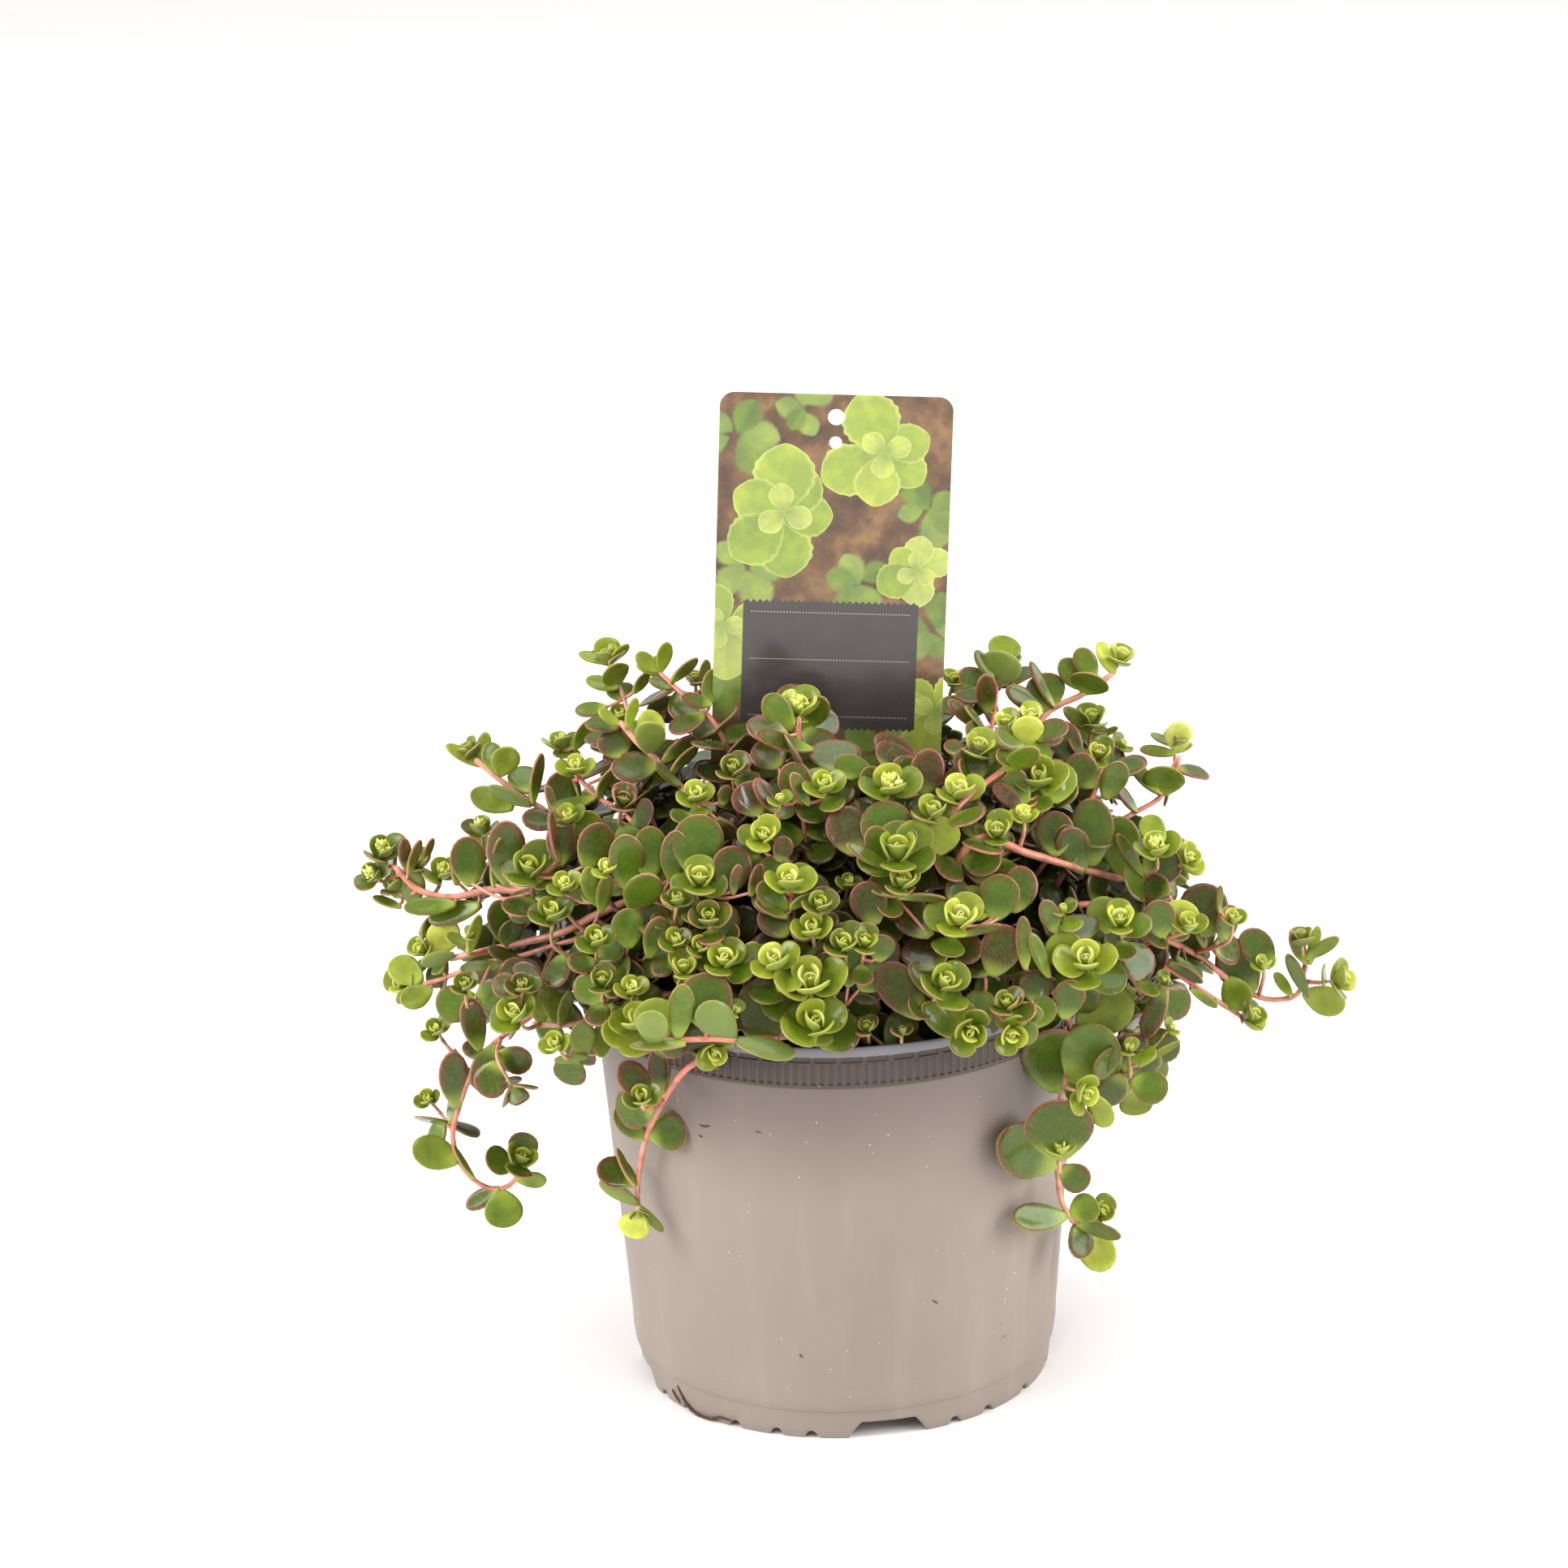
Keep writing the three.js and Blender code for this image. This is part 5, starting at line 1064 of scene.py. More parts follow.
def addBuds(into, foot, axis, radius, draw):
    # a small head of pointed flower buds in the middle of a rosette
    look = budLook
    for k in range(look["count"]):
        lean = look["lean"] + look["leanStep"] * (k % 3) if k else 0.0
        way = turned(sideOf(axis), axis, k * look["turn"]) * math.sin(lean) + axis * math.cos(lean)
        middle = foot + way * radius * draw.uniform(*look["reaches"])
        side = sideOf(way)
        other = np.cross(way, side)
        size = radius * draw.uniform(*look["sizes"])
        points, alongs = [middle - way * size], [0.2]
        for reach, height, along in look["profile"]:
            for j in range(look["sides"]):
                a = j * 2 * math.pi / look["sides"]
                pinch = 1.0 if j % 2 else look["pinch"]
                out = (side * math.cos(a) + other * math.sin(a)) * reach * pinch * size
                points.append(middle + out + way * height * size)
                alongs.append(along)
        points.append(middle + way * size * look["tip"])
        alongs.append(1.0)
        rims = [0.1 if i % 2 else 3.0 for i in range(len(points))]
        walls, ends = lumpFaces(len(look["profile"]), look["sides"])
        gather(into, points, walls, ends, rim=rims, along=alongs, upper=1.0, age=0.05,
               tone=draw.random_sample(), deep=0.0)


def addRosette(into, foot, axis, radius, age, phase, draw, detail=2, buds=False):
    look = rosetteLook
    pairs = 4 if radius > look["fullRadius"] else 3
    step = look["depth"] * radius * look["height"] / pairs
    wet = dropLook["wetLeaves"] if detail == 2 else 0.0
    for k in range(pairs):
        j = k + 4 - pairs if k else 0  # a small rosette leaves out the second pair
        lean, length, width, cup, curl, out, older = (look[key][j] for key in (
            "leans", "lengths", "widths", "cups", "curls", "offsets", "ageSteps"))
        length *= radius
        level = detail if j < 2 else int(length > look["evenLength"])
        addPair(into, foot + axis * step * k, axis, phase + k * math.pi / 2, lean, length, width,
                min(1, max(0, age + older)), draw, cup, curl, level, out=out * radius, wet=wet)
    heart = foot + axis * step * pairs
    if buds:
        addBuds(into, heart, axis, radius, draw)
        return
    for k in range(2):
        addPair(into, heart, axis, phase + (pairs + k) * math.pi / 2, 14 - 6 * k, radius * (0.34 - 0.1 * k),
                0.95, max(0, age - 0.35), draw, 0.9, 0.7, 0, 3, out=radius * 0.05)


# Finishes of the plant
leafTones = {
    "upper": [(0.0, "e0e28c"), (0.09, "cad056"), (0.24, "929c2c"), (0.45, "577018"), (0.65, "415613"),
              (0.85, "3f4811"), (1.0, "3e2816")],
    "under": [(0.0, "9ca444"), (0.4, "687834"), (0.7, "4e5a28"), (1.0, "402f24")],
    # the margin's colour is partly the leaf's own and partly a painted highlight where the thick margin
    # catches light
    "rim": [(0.0, "c4bc62"), (0.3, "b8a058"), (0.55, "b07a58"), (0.8, "a0685a"), (1.0, "90585a")],
    "rimWidth": 0.24,  # mm on a young leaf
    "bump": 0.18,
}


def makeLeafFinish():
    f = Finish("fleshyLeaf")
    age, tone, rim, along, upper = (f.mark(name) for name in ("age", "tone", "rim", "along", "upper"))
    blotch = f.noise(170, 3, 0.55)
    aged = f.sway(f.sway(age, blotch, 0.28), tone, 0.12, clamp=True)
    top = f.ramp(aged, leafTones["upper"])
    middle = f.times(f.fade(rim, 0.8, 4.5), f.fade(along, 0.25, 0.55, 0, 0.2))
    top = f.mix(middle, top, "34480f")
    band = f.times(f.fade(rim, 0.3, 3.6, 1, 0), f.fade(along, 0.25, 0.6))
    band = f.times(band, f.fade(aged, 0.25, 0.8, 0.08, 0.8))
    top = f.mix(band, top, "663626")
    top = f.mix(f.fade(along, 0.04, 0.38, 0.75, 0.0), top, "93a23e")
    top = f.mix(f.fade(f.noise(900, 4, 0.6), 0.4, 0.75, 0, 0.2), top, "748c2c")
    under = f.ramp(aged, leafTones["under"])
    under = f.mix(f.fade(blotch, 0.35, 0.7, 0, 0.2), under, "788658")
    face = f.mix(f.fade(upper, 0.35, 0.62), under, top)
    # margin: the leaf's own reddish edge, lightened as a painted highlight where the thick margin catches
    # light
    rimToneAndHighlight = f.ramp(aged, leafTones["rim"])
    reach = f.fade(aged, 0.3, 1.0, leafTones["rimWidth"], leafTones["rimWidth"] * 3.4)
    edge = f.minus(1.0, f.fade(f.math("DIVIDE", rim, reach), 0.25, 1.0))
    edge = f.times(edge, f.fade(aged, 0.1, 0.7, 0.3, 0.75))
    edge = f.times(edge, f.fade(f.noise(120, 2, 0.6), 0.35, 0.6, 0.45, 1.0))
    body = f.mix(edge, face, rimToneAndHighlight)
    # painted shade deep between the leaves
    body = f.mix(f.times(f.mark("deep"), 0.78), body, "0f1606")
    rough = f.plus(f.fade(f.noise(420, 3, 0.6), 0.25, 0.8, 0.2, 0.36), f.fade(upper, 0.3, 0.6, 0.16, 0.0))
    f.set(Base_Color=body, Roughness=rough, Subsurface_Weight=0.1, Subsurface_Scale=0.0014)
    f.set(Specular_IOR_Level=0.2, Coat_Weight=0.24, Coat_Roughness=0.07)
    f.set(Subsurface_Radius=(0.9, 1.0, 0.35))
    fine = f.bump(f.noise(1500, 3, 0.55), leafTones["bump"], 0.00012)
    f.set(Normal=f.bump(f.noise(260, 2, 0.5), 0.35, 0.0006, fine))
    return f.material


stemTones = [(0.0, "8f8c42"), (0.2, "cc9a78"), (0.5, "cb7863"), (0.75, "924a3c"), (1.0, "38211a")]


def makeStemFinish():
    f = Finish("fleshyStem")
    age, node, tone = (f.mark(name) for name in ("age", "node", "tone"))
    streak = f.noise(300, 3, 0.6)
    aged = f.sway(f.sway(age, streak, 0.5), tone, 0.2, clamp=True)
    skin = f.ramp(aged, stemTones)
    skin = f.mix(f.times(node, 0.55), skin, "74382e")
    skin = f.mix(f.fade(f.cells(900), 0.12, 0.3, 0.35, 0.0), skin, "d8a894")
    # painted shade deep between the leaves
    skin = f.mix(f.times(f.mark("deep"), 0.8), skin, "1a0e08")
    f.set(Base_Color=skin, Roughness=f.fade(streak, 0.3, 0.7, 0.3, 0.48), Subsurface_Weight=0.08)
    f.set(Subsurface_Scale=0.001, Coat_Weight=0.12, Coat_Roughness=0.2)
    f.set(Normal=f.bump(f.noise(1100, 3, 0.6), 0.3, 0.00015))
    return f.material


leafFinish = makeLeafFinish()
stemFinish = makeStemFinish()
print("plant finishes made")


# The shoots that the picture shows, in its pixels:
# tips [across, down, width, lean, tilt, age, and where it isn't 0 how far back in mm],
# stem [across, down, depth in mm],
# leaves [foot across, foot down, tip across, tip down, width, turn, age, and where it isn't 0 the tip's depth
# from the foot in mm],
# bare (left, top, right, bottom) of the stretch of stem that other leaves don't cover,
# width of the stem, red for how ripe its end is, and leafyTo for the share of it that may carry old leaves
frontShoots = {
    "upper_left_a": {"width": 0.68, "leafyTo": 0.85,
        "tips": [[748, 806, 40, 105, 75, 0.25]],
        "stem": [[800, 1000, -5], [780, 900, 18], [765, 850, 26], [749, 816, 30]],
        "leaves": [[750, 815, 712, 808, 17, 65, 0.3], [750, 815, 746, 785, 34, 10, 0.25, 4],
        [752, 815, 773, 793, 15, 60, 0.4], [762, 843, 752, 817, 38, 20, 0.4, -5],
        [760, 847, 721, 839, 20, 40, 0.35], [782, 852, 797, 829, 16, 55, 0.4],
        [768, 864, 758, 843, 38, 45, 0.5, 4], [745, 872, 708, 878, 22, 50, 0.5]]},
    "upper_left_b": {"bare": (808, 824, 842, 862), "width": 0.72, "red": 0.45, "leafyTo": 0.85,
        "tips": [[806, 820, 38, 110, 70, 0.3], [857, 835, 30, 90, 65, 0.3, 10]],
        "stem": [[930, 1010, -15], [905, 940, -8], [878, 888, -4], [843, 857, 12], [812, 828, 20]],
        "leaves": [[814, 828, 822, 789, 20, 20, 0.35], [812, 828, 782, 806, 22, 30, 0.25],
        [812, 830, 783, 822, 12, 65, 0.3], [826, 842, 859, 809, 16, 50, 0.6],
        [826, 847, 799, 838, 16, 45, 0.45], [874, 868, 839, 860, 20, 35, 0.6, -3],
        [866, 850, 869, 813, 16, 40, 0.45], [872, 868, 878, 824, 24, 30, 0.5, 5]]},
    "upper_left_c": {"bare": (763, 888, 846, 972), "leafyTo": 0.7,
        "tips": [[764, 880, 40, 100, 60, 0.15]],
        "stem": [[880, 1030, -30], [840, 970, -16], [825, 955, -14], [805, 932, -12], [785, 915, -10],
        [765, 890, -6]],
        "leaves": [[773, 895, 782, 860, 15, 40, 0.3], [762, 893, 737, 876, 16, 55, 0.3],
        [803, 927, 800, 894, 38, 165, 0.3, -10], [803, 925, 800, 876, 36, 25, 0.15, 10],
        [812, 945, 754, 948, 42, 35, 0.75, 3], [828, 950, 858, 918, 16, 55, 0.6],
        [818, 937, 857, 908, 22, 30, 0.75, 8], [835, 968, 806, 942, 14, 60, 0.5, -3]]},
    "left_lime": {"bare": (713, 958, 762, 998), "width": 0.75,
        "tips": [[690, 912, 42, 95, 70, 0.15], [709, 943, 40, 100, 42, 0.1],
        [768, 984, 42, 80, 48, 0.6], [700, 1004, 36, 110, 48, 0.15]],
        "stem": [[810, 1050, -30], [760, 996, -14], [735, 982, -10], [715, 960, -7]],
        "leaves": [[708, 922, 727, 887, 20, 35, 0.5], [712, 928, 680, 930, 16, 60, 0.55],
        [735, 985, 753, 946, 16, 55, 0.5], [712, 1028, 735, 1000, 34, 20, 0.35],
        [735, 985, 676, 1000, 20, 60, 0.55], [683, 996, 672, 967, 12, 30, 0.7],
        [765, 932, 750, 900, 44, 15, 0.8, 6]]},
    "far_left_upper": {"bare": (585, 934, 684, 1008),
        "tips": [[577, 922, 40, 125, 70, 0.3]],
        "stem": [[800, 1090, -30], [740, 1045, -14], [680, 1005, 0], [650, 985, 4], [612, 958, 8],
        [587, 937, 10]],
        "leaves": [[592, 942, 548, 921, 20, 60, 0.4], [592, 938, 597, 901, 20, 50, 0.35, 4],
        [617, 953, 629, 917, 36, 12, 0.35, -3], [606, 952, 606, 916, 30, 40, 0.4, 8],
        [630, 995, 580, 978, 32, 20, 0.4, 4], [652, 992, 602, 971, 18, 150, 0.5, -2],
        [656, 988, 664, 928, 18, 60, 0.6], [655, 975, 638, 948, 40, 30, 0.5, 10],
        [695, 1012, 692, 950, 46, 20, 0.75, 8], [690, 1015, 643, 1008, 30, 35, 0.8, 2]]},
    "left_dark": {"tips": [[652, 1066, 58, 100, 42, 0.25], [592, 1018, 40, 100, 60, 0.3, 20]],
        "leaves": [[625, 1088, 623, 1009, 48, 10, 0.8], [608, 1090, 614, 1032, 17, 45, 0.6, -5],
        [580, 1090, 573, 1030, 44, 15, 0.65, 5], [562, 1088, 566, 1035, 22, 45, 0.75],
        [664, 1090, 664, 1033, 50, 15, 0.5, 6], [687, 1062, 676, 1000, 14, 65, 0.9],
        [690, 1064, 692, 1008, 38, 20, 0.9, 5], [722, 1068, 745, 1014, 44, 12, 0.8, 5]]},
    "far_left": {"bare": (505, 1085, 618, 1118), "width": 1.2,
        "tips": [[472, 1046, 50, 95, 52, 0.3], [458, 1076, 42, 140, 42, 0.3],
        [545, 1072, 44, 80, 48, 0.15], [485, 1090, 36, 130, 60, 0.25], [515, 1060, 38, 100, 55, 0.2]],
        "stem": [[770, 1160, -35], [690, 1112, -16], [610, 1096, -4], [550, 1106, 0], [512, 1094, 3],
        [488, 1069, 5]],
        "leaves": [[500, 1070, 497, 1032, 18, 30, 0.9], [503, 1076, 516, 1035, 14, 50, 0.6],
        [522, 1062, 532, 1033, 12, 55, 0.6], [508, 1113, 508, 1075, 32, 160, 0.4, -3],
        [560, 1114, 497, 1121, 24, 35, 0.5], [590, 1116, 530, 1135, 30, 30, 0.6, 5],
        [492, 1117, 458, 1107, 14, 55, 0.45]]},
    "left_mid": {"bare": (552, 1083, 815, 1187), "width": 1.2, "blunt": True,
        "tips": [[517, 1169, 36, 150, 52, 0.1], [580, 1150, 26, 80, 55, 0.2, 8]],
        "stem": [[850, 1085, -52], [770, 1112, -45], [735, 1127, -38], [690, 1150, -28], [640, 1162, -21],
        [590, 1173, -14], [555, 1181, -9]],
        "leaves": [[528, 1175, 562, 1134, 40, 12, 0.2], [578, 1172, 588, 1127, 18, 45, 0.35],
        [557, 1176, 520, 1189, 20, 150, 0.4, -4], [626, 1166, 610, 1107, 36, 12, 0.5],
        [628, 1166, 631, 1130, 32, 25, 0.45, -4], [548, 1188, 532, 1214, 28, 25, 0.5, 3],
        [520, 1150, 545, 1133, 30, 40, 0.8, 8]]},
    "left_low": {"bare": (545, 1172, 628, 1210), "width": 0.72, "leafyTo": 0.7,
        "tips": [[492, 1210, 42, 165, 42, 0.1], [572, 1212, 36, 100, 42, 0.35],
        [643, 1212, 40, 90, 42, 0.4]],
        "stem": [[760, 1150, -42], [700, 1160, -30], [640, 1178, -20], [595, 1187, -14], [548, 1205, -10],
        [514, 1215, -8]],
        "leaves": [[518, 1207, 482, 1187, 38, 20, 0.3, 8], [530, 1218, 494, 1238, 32, 20, 0.35, -4],
        [620, 1190, 566, 1197, 20, 50, 0.5], [545, 1195, 537, 1190, 24, 20, 0.5, 3],
        [640, 1228, 610, 1205, 34, 30, 0.7, 5], [640, 1185, 600, 1170, 20, 50, 0.6]]},
    "left_trail": {"bare": (548, 1268, 655, 1472), "width": 0.78,
        "tips": [[643, 1425, 54, 60, 33, 0.3], [537, 1267, 34, 120, 38, 0.2],
        [527, 1353, 30, 130, 38, 0.2], [638, 1350, 42, 300, 85, 0.5]],
        "stem": [[760, 1215, -48], [690, 1232, -36], [640, 1262, -32], [605, 1290, -32], [580, 1325, -32],
        [565, 1365, -32], [558, 1395, -32], [563, 1425, -32], [580, 1450, -32], [603, 1464, -32],
        [625, 1462, -32], [640, 1447, -32]],
        "leaves": [[590, 1292, 575, 1228, 32, 20, 0.85], [562, 1363, 556, 1294, 38, 15, 0.8],
        [612, 1286, 590, 1345, 38, 20, 0.8, -6], [617, 1290, 633, 1320, 22, 30, 0.85],
        [592, 1303, 574, 1284, 24, 30, 0.8, 6], [566, 1432, 507, 1411, 42, 10, 0.4],
        [583, 1452, 556, 1414, 10, 70, 0.5], [615, 1463, 576, 1488, 24, 25, 0.6, 2],
        [617, 1467, 623, 1513, 48, 10, 0.45, -4], [638, 1453, 672, 1452, 22, 40, 0.4, -5]]},
    "left_front_low": {"bare": (645, 1252, 705, 1272),
        "tips": [[633, 1247, 54, 125, 38, 0.1], [683, 1285, 38, 130, 42, 0.1]],
        "stem": [[830, 1225, -66], [760, 1245, -56], [705, 1262, -48], [657, 1262, -42]],
        "leaves": [[668, 1260, 662, 1214, 30, 20, 0.25, 2], [682, 1258, 688, 1209, 36, 20, 0.4, 6],
        [690, 1262, 700, 1221, 18, 50, 0.4, -3], [718, 1300, 716, 1256, 32, 25, 0.35],
        [722, 1302, 683, 1308, 12, 150, 0.4, -3], [740, 1300, 740, 1262, 28, 30, 0.4, 4],
        [735, 1252, 712, 1195, 32, 20, 0.85, 4]]},
    "front_left_trail": {"bare": (780, 1300, 852, 1500), "width": 0.86,
        "tips": [[790, 1350, 42, 100, 33, 0.15], [787, 1499, 20, 270, 60, 0.2]],
        "stem": [[890, 1255, -70], [872, 1297, -84], [845, 1318, -80], [820, 1352, -70], [797, 1400, -60],
        [788, 1440, -55], [785, 1475, -53], [787, 1492, -52]],
        "leaves": [[800, 1353, 764, 1310, 38, 20, 0.9, 4], [816, 1342, 808, 1290, 30, 20, 0.85],
        [795, 1403, 756, 1365, 32, 15, 0.5], [802, 1400, 848, 1390, 48, 10, 0.6, -3],
        [782, 1457, 736, 1436, 40, 25, 0.7, 3], [781, 1460, 757, 1417, 12, 65, 0.5],
        [784, 1482, 741, 1459, 20, 150, 0.4, -4], [790, 1493, 776, 1525, 40, 12, 0.1, -3],
        [788, 1488, 818, 1515, 14, 55, 0.4]]},
    "front_left_big": {"bare": (800, 1270, 872, 1290),
        "tips": [[785, 1255, 60, 110, 42, 0.1], [880, 1297, 46, 285, 33, 0.15]],
        "stem": [[978, 1276, -79], [905, 1281, -92], [880, 1280, -95], [840, 1281, -96], [806, 1283, -96]],
        "leaves": [[815, 1283, 801, 1231, 52, 15, 0.32, 8], [776, 1286, 741, 1262, 36, 30, 0.2],
        [808, 1288, 800, 1250, 38, 150, 0.35, -8], [834, 1278, 841, 1209, 32, 12, 0.5],
        [842, 1286, 775, 1292, 16, 60, 0.5], [872, 1266, 868, 1198, 64, 8, 0.75, 8],
        [903, 1276, 866, 1242, 44, 160, 0.4, -9], [905, 1283, 981, 1296, 30, 130, 0.4, -4]]},
    "front_centre_left": {"tips": [[955, 1182, 54, 110, 42, 0.05], [907, 1243, 26, 60, 48, 0.1]],
        "leaves": [[945, 1292, 937, 1203, 66, 8, 0.85, 5], [960, 1180, 935, 1152, 52, 25, 0.95, 10]]},
    "front_centre": {"tips": [[1068, 1264, 30, 95, 42, 0.35, 9], [1112, 1268, 26, 80, 46, 0.4, 9],
        [1040, 1236, 26, 100, 40, 0.5, 12], [998, 1205, 74, 95, 40, 0.1], [1005, 1258, 70, 90, 33, 0.15],
        [1000, 1142, 46, 100, 42, 0.15]],
        "leaves": [[1025, 1225, 1010, 1163, 50, 10, 0.35, 8], [1045, 1213, 1052, 1158, 34, 15, 0.5, 6],
        [1060, 1217, 1090, 1190, 38, 20, 0.5, 5], [1012, 1287, 1012, 1228, 72, 15, 0.85, 12]]},
    "front_mid_right": {"tips": [[1040, 1160, 48, 95, 38, 0.25], [1066, 1158, 40, 80, 42, 0.25],
        [1010, 1112, 40, 80, 42, 0.3], [1046, 1086, 30, 80, 42, 0.2, 12]],
        "leaves": [[1083, 1182, 1088, 1150, 34, 15, 0.6], [1078, 1137, 1062, 1086, 46, 15, 0.9, 4],
        [1015, 1125, 1010, 1092, 38, 20, 0.55, 4]]},
    "front_right_a": {"tips": [[1165, 1208, 54, 60, 42, 0.2], [1196, 1272, 52, 280, 18, 0.25]],
        "leaves": [[1165, 1232, 1118, 1188, 30, 40, 0.5, 4], [1210, 1262, 1205, 1220, 40, 20, 0.4, 8],
        [1186, 1272, 1175, 1232, 46, 10, 0.35, 4], [1178, 1276, 1134, 1237, 30, 30, 0.45],
        [1135, 1252, 1083, 1188, 50, 15, 0.9, 5], [1155, 1192, 1130, 1154, 62, 20, 1, 10]]},
    "front_right_b": {"tips": [[1241, 1234, 42, 105, 42, 0.35], [1247, 1275, 46, 300, 28, 0.1]],
        "leaves": [[1262, 1264, 1265, 1231, 42, 10, 0.35, -4], [1272, 1264, 1293, 1228, 34, 20, 0.45, 3],
        [1275, 1234, 1278, 1195, 42, 15, 0.75, 6], [1250, 1262, 1228, 1248, 30, 25, 0.35, 2],
        [1215, 1200, 1190, 1185, 30, 40, 1, 6]]},
    "right_trail": {"bare": (1296, 1238, 1328, 1512), "width": 0.86,
        "tips": [[1306, 1412, 36, 90, 55, 0.05], [1337, 1348, 42, 340, 42, 0.1],
        [1358, 1492, 40, 30, 38, 0.15]],
        "stem": [[1270, 1200, -60], [1310, 1240, -58], [1320, 1290, -56], [1308, 1345, -53],
        [1303, 1400, -51], [1303, 1440, -50], [1308, 1480, -49], [1322, 1505, -49]],
        "leaves": [[1300, 1342, 1302, 1263, 84, 5, 0.65, -6], [1322, 1330, 1364, 1262, 72, 10, 0.4],
        [1305, 1428, 1306, 1352, 84, 10, 0.65], [1298, 1433, 1222, 1402, 68, 12, 0.6, -17],
        [1312, 1500, 1242, 1504, 38, 25, 0.5, -12], [1325, 1507, 1382, 1522, 20, 45, 0.5, -2],
        [1332, 1510, 1366, 1563, 46, 10, 0.2, -2], [1320, 1498, 1352, 1480, 38, 20, 0.35, 2],
        [1330, 1264, 1392, 1222, 62, 10, 0.3, 4], [1345, 1350, 1366, 1386, 30, 20, 0.35, 2]]},
    "right_low": {"width": 0.8,
        "tips": [[1392, 1290, 28, 90, 48, 0.15]],
        "stem": [[1330, 1200, -40], [1350, 1290, -28], [1362, 1342, -24], [1380, 1350, -22],
        [1402, 1338, -20]],
        "leaves": [[1398, 1342, 1404, 1373, 42, 15, 0.35], [1385, 1348, 1397, 1287, 40, 20, 0.75, 6],
        [1418, 1345, 1427, 1297, 10, 60, 0.6], [1405, 1312, 1452, 1280, 10, 65, 0.5],
        [1385, 1262, 1400, 1240, 24, 30, 0.4, 4]]},
    "right_mid_low": {"bare": (1435, 1188, 1536, 1256), "width": 0.8,
        "tips": [[1545, 1250, 42, 40, 60, 0.2], [1436, 1207, 26, 70, 48, 0.3],
        [1444, 1265, 22, 40, 48, 0.15]],
        "stem": [[1340, 1150, -30], [1400, 1170, -14], [1437, 1191, -9], [1480, 1220, -6], [1530, 1253, -4]],
        "leaves": [[1468, 1219, 1502, 1240, 13, 40, 0.4], [1438, 1213, 1411, 1278, 28, 20, 0.85],
        [1380, 1208, 1436, 1164, 46, 20, 0.95, -3], [1442, 1186, 1484, 1209, 15, 50, 0.5, -3],
        [1530, 1250, 1560, 1263, 24, 30, 0.15], [1500, 1236, 1478, 1228, 14, 45, 0.45]]},
    "far_right": {"bare": (1470, 1168, 1612, 1236), "width": 0.9,
        "tips": [[1603, 1152, 40, 95, 72, 0.25], [1655, 1206, 46, 10, 62, 0.1],
        [1557, 1186, 30, 90, 48, 0.05], [1520, 1130, 32, 80, 48, 0.1]],
        "stem": [[1330, 1115, -36], [1390, 1140, -20], [1430, 1155, -12], [1475, 1177, -6],
        [1505, 1200, -3], [1540, 1224, 0], [1570, 1232, 1], [1600, 1224, 2], [1608, 1190, 3]],
        "leaves": [[1545, 1222, 1510, 1158, 56, 10, 0.75, 3], [1565, 1190, 1533, 1147, 42, 20, 0.6, 8],
        [1485, 1152, 1480, 1088, 60, 10, 0.85, 8], [1502, 1122, 1502, 1092, 10, 60, 0.5],
        [1512, 1203, 1534, 1244, 40, 25, 0.4, -3], [1608, 1185, 1590, 1150, 20, 35, 0.6, -4],
        [1610, 1182, 1650, 1153, 18, 30, 0.4], [1612, 1226, 1587, 1182, 18, 150, 0.5, -5],
        [1608, 1224, 1657, 1240, 38, 20, 0.35], [1450, 1180, 1485, 1210, 16, 150, 0.5],
        [1614, 1186, 1622, 1140, 16, 45, 0.35, 4], [1590, 1225, 1570, 1200, 16, 40, 0.4]]},
    "right_upper": {"bare": (1250, 1046, 1300, 1087), "width": 1.25,
        "tips": [[1262, 1003, 32, 90, 58, 0.05], [1425, 1042, 50, 90, 48, 0.1],
        [1466, 1056, 36, 40, 42, 0.05]],
        "stem": [[1200, 1035, -58], [1268, 1052, -46], [1310, 1064, -38], [1350, 1075, -29],
        [1385, 1083, -22], [1430, 1075, -12], [1452, 1064, -7]],
        "leaves": [[1334, 1076, 1309, 1018, 44, 18, 0.7, -7], [1318, 1070, 1310, 1014, 36, 20, 0.55],
        [1345, 1064, 1344, 982, 54, 10, 0.6, 6], [1383, 1080, 1374, 1004, 54, 12, 0.5, 5],
        [1407, 1079, 1374, 1029, 18, 40, 0.5, -3], [1432, 1036, 1408, 1007, 32, 20, 0.4, 4],
        [1430, 1076, 1462, 1086, 16, 50, 0.4], [1422, 1093, 1382, 1088, 16, 50, 0.5],
        [1300, 1052, 1298, 999, 48, 15, 0.75, 6]]},
    "right_top": {"bare": (1393, 930, 1456, 1007), "width": 0.75,
        "tips": [[1450, 908, 30, 85, 72, 0.1]],
        "stem": [[1300, 1050, -24], [1358, 1025, -8], [1395, 1003, -2], [1428, 984, 2], [1444, 962, 4],
        [1453, 933, 5]],
        "leaves": [[1430, 980, 1438, 941, 52, 12, 0.45, -4], [1425, 975, 1390, 938, 20, 45, 0.5, 3],
        [1450, 930, 1403, 925, 16, 50, 0.5, -3], [1448, 920, 1418, 906, 12, 50, 0.4, 4],
        [1453, 925, 1452, 886, 36, 10, 0.1, -3], [1400, 1003, 1372, 965, 16, 50, 0.8]]},
    "top_right_a": {"bare": (1290, 828, 1372, 880), "width": 1.05, "leafyTo": 0.85,
        "tips": [[1382, 806, 42, 70, 62, 0.1]],
        "stem": [[1225, 985, -14], [1262, 925, 8], [1293, 876, 18], [1333, 856, 20], [1370, 831, 22]],
        "leaves": [[1293, 875, 1282, 829, 50, 15, 0.6, 4], [1297, 870, 1267, 817, 15, 60, 0.65],
        [1285, 874, 1237, 848, 26, 30, 0.6, -3], [1335, 853, 1350, 828, 50, 20, 0.55, -6],
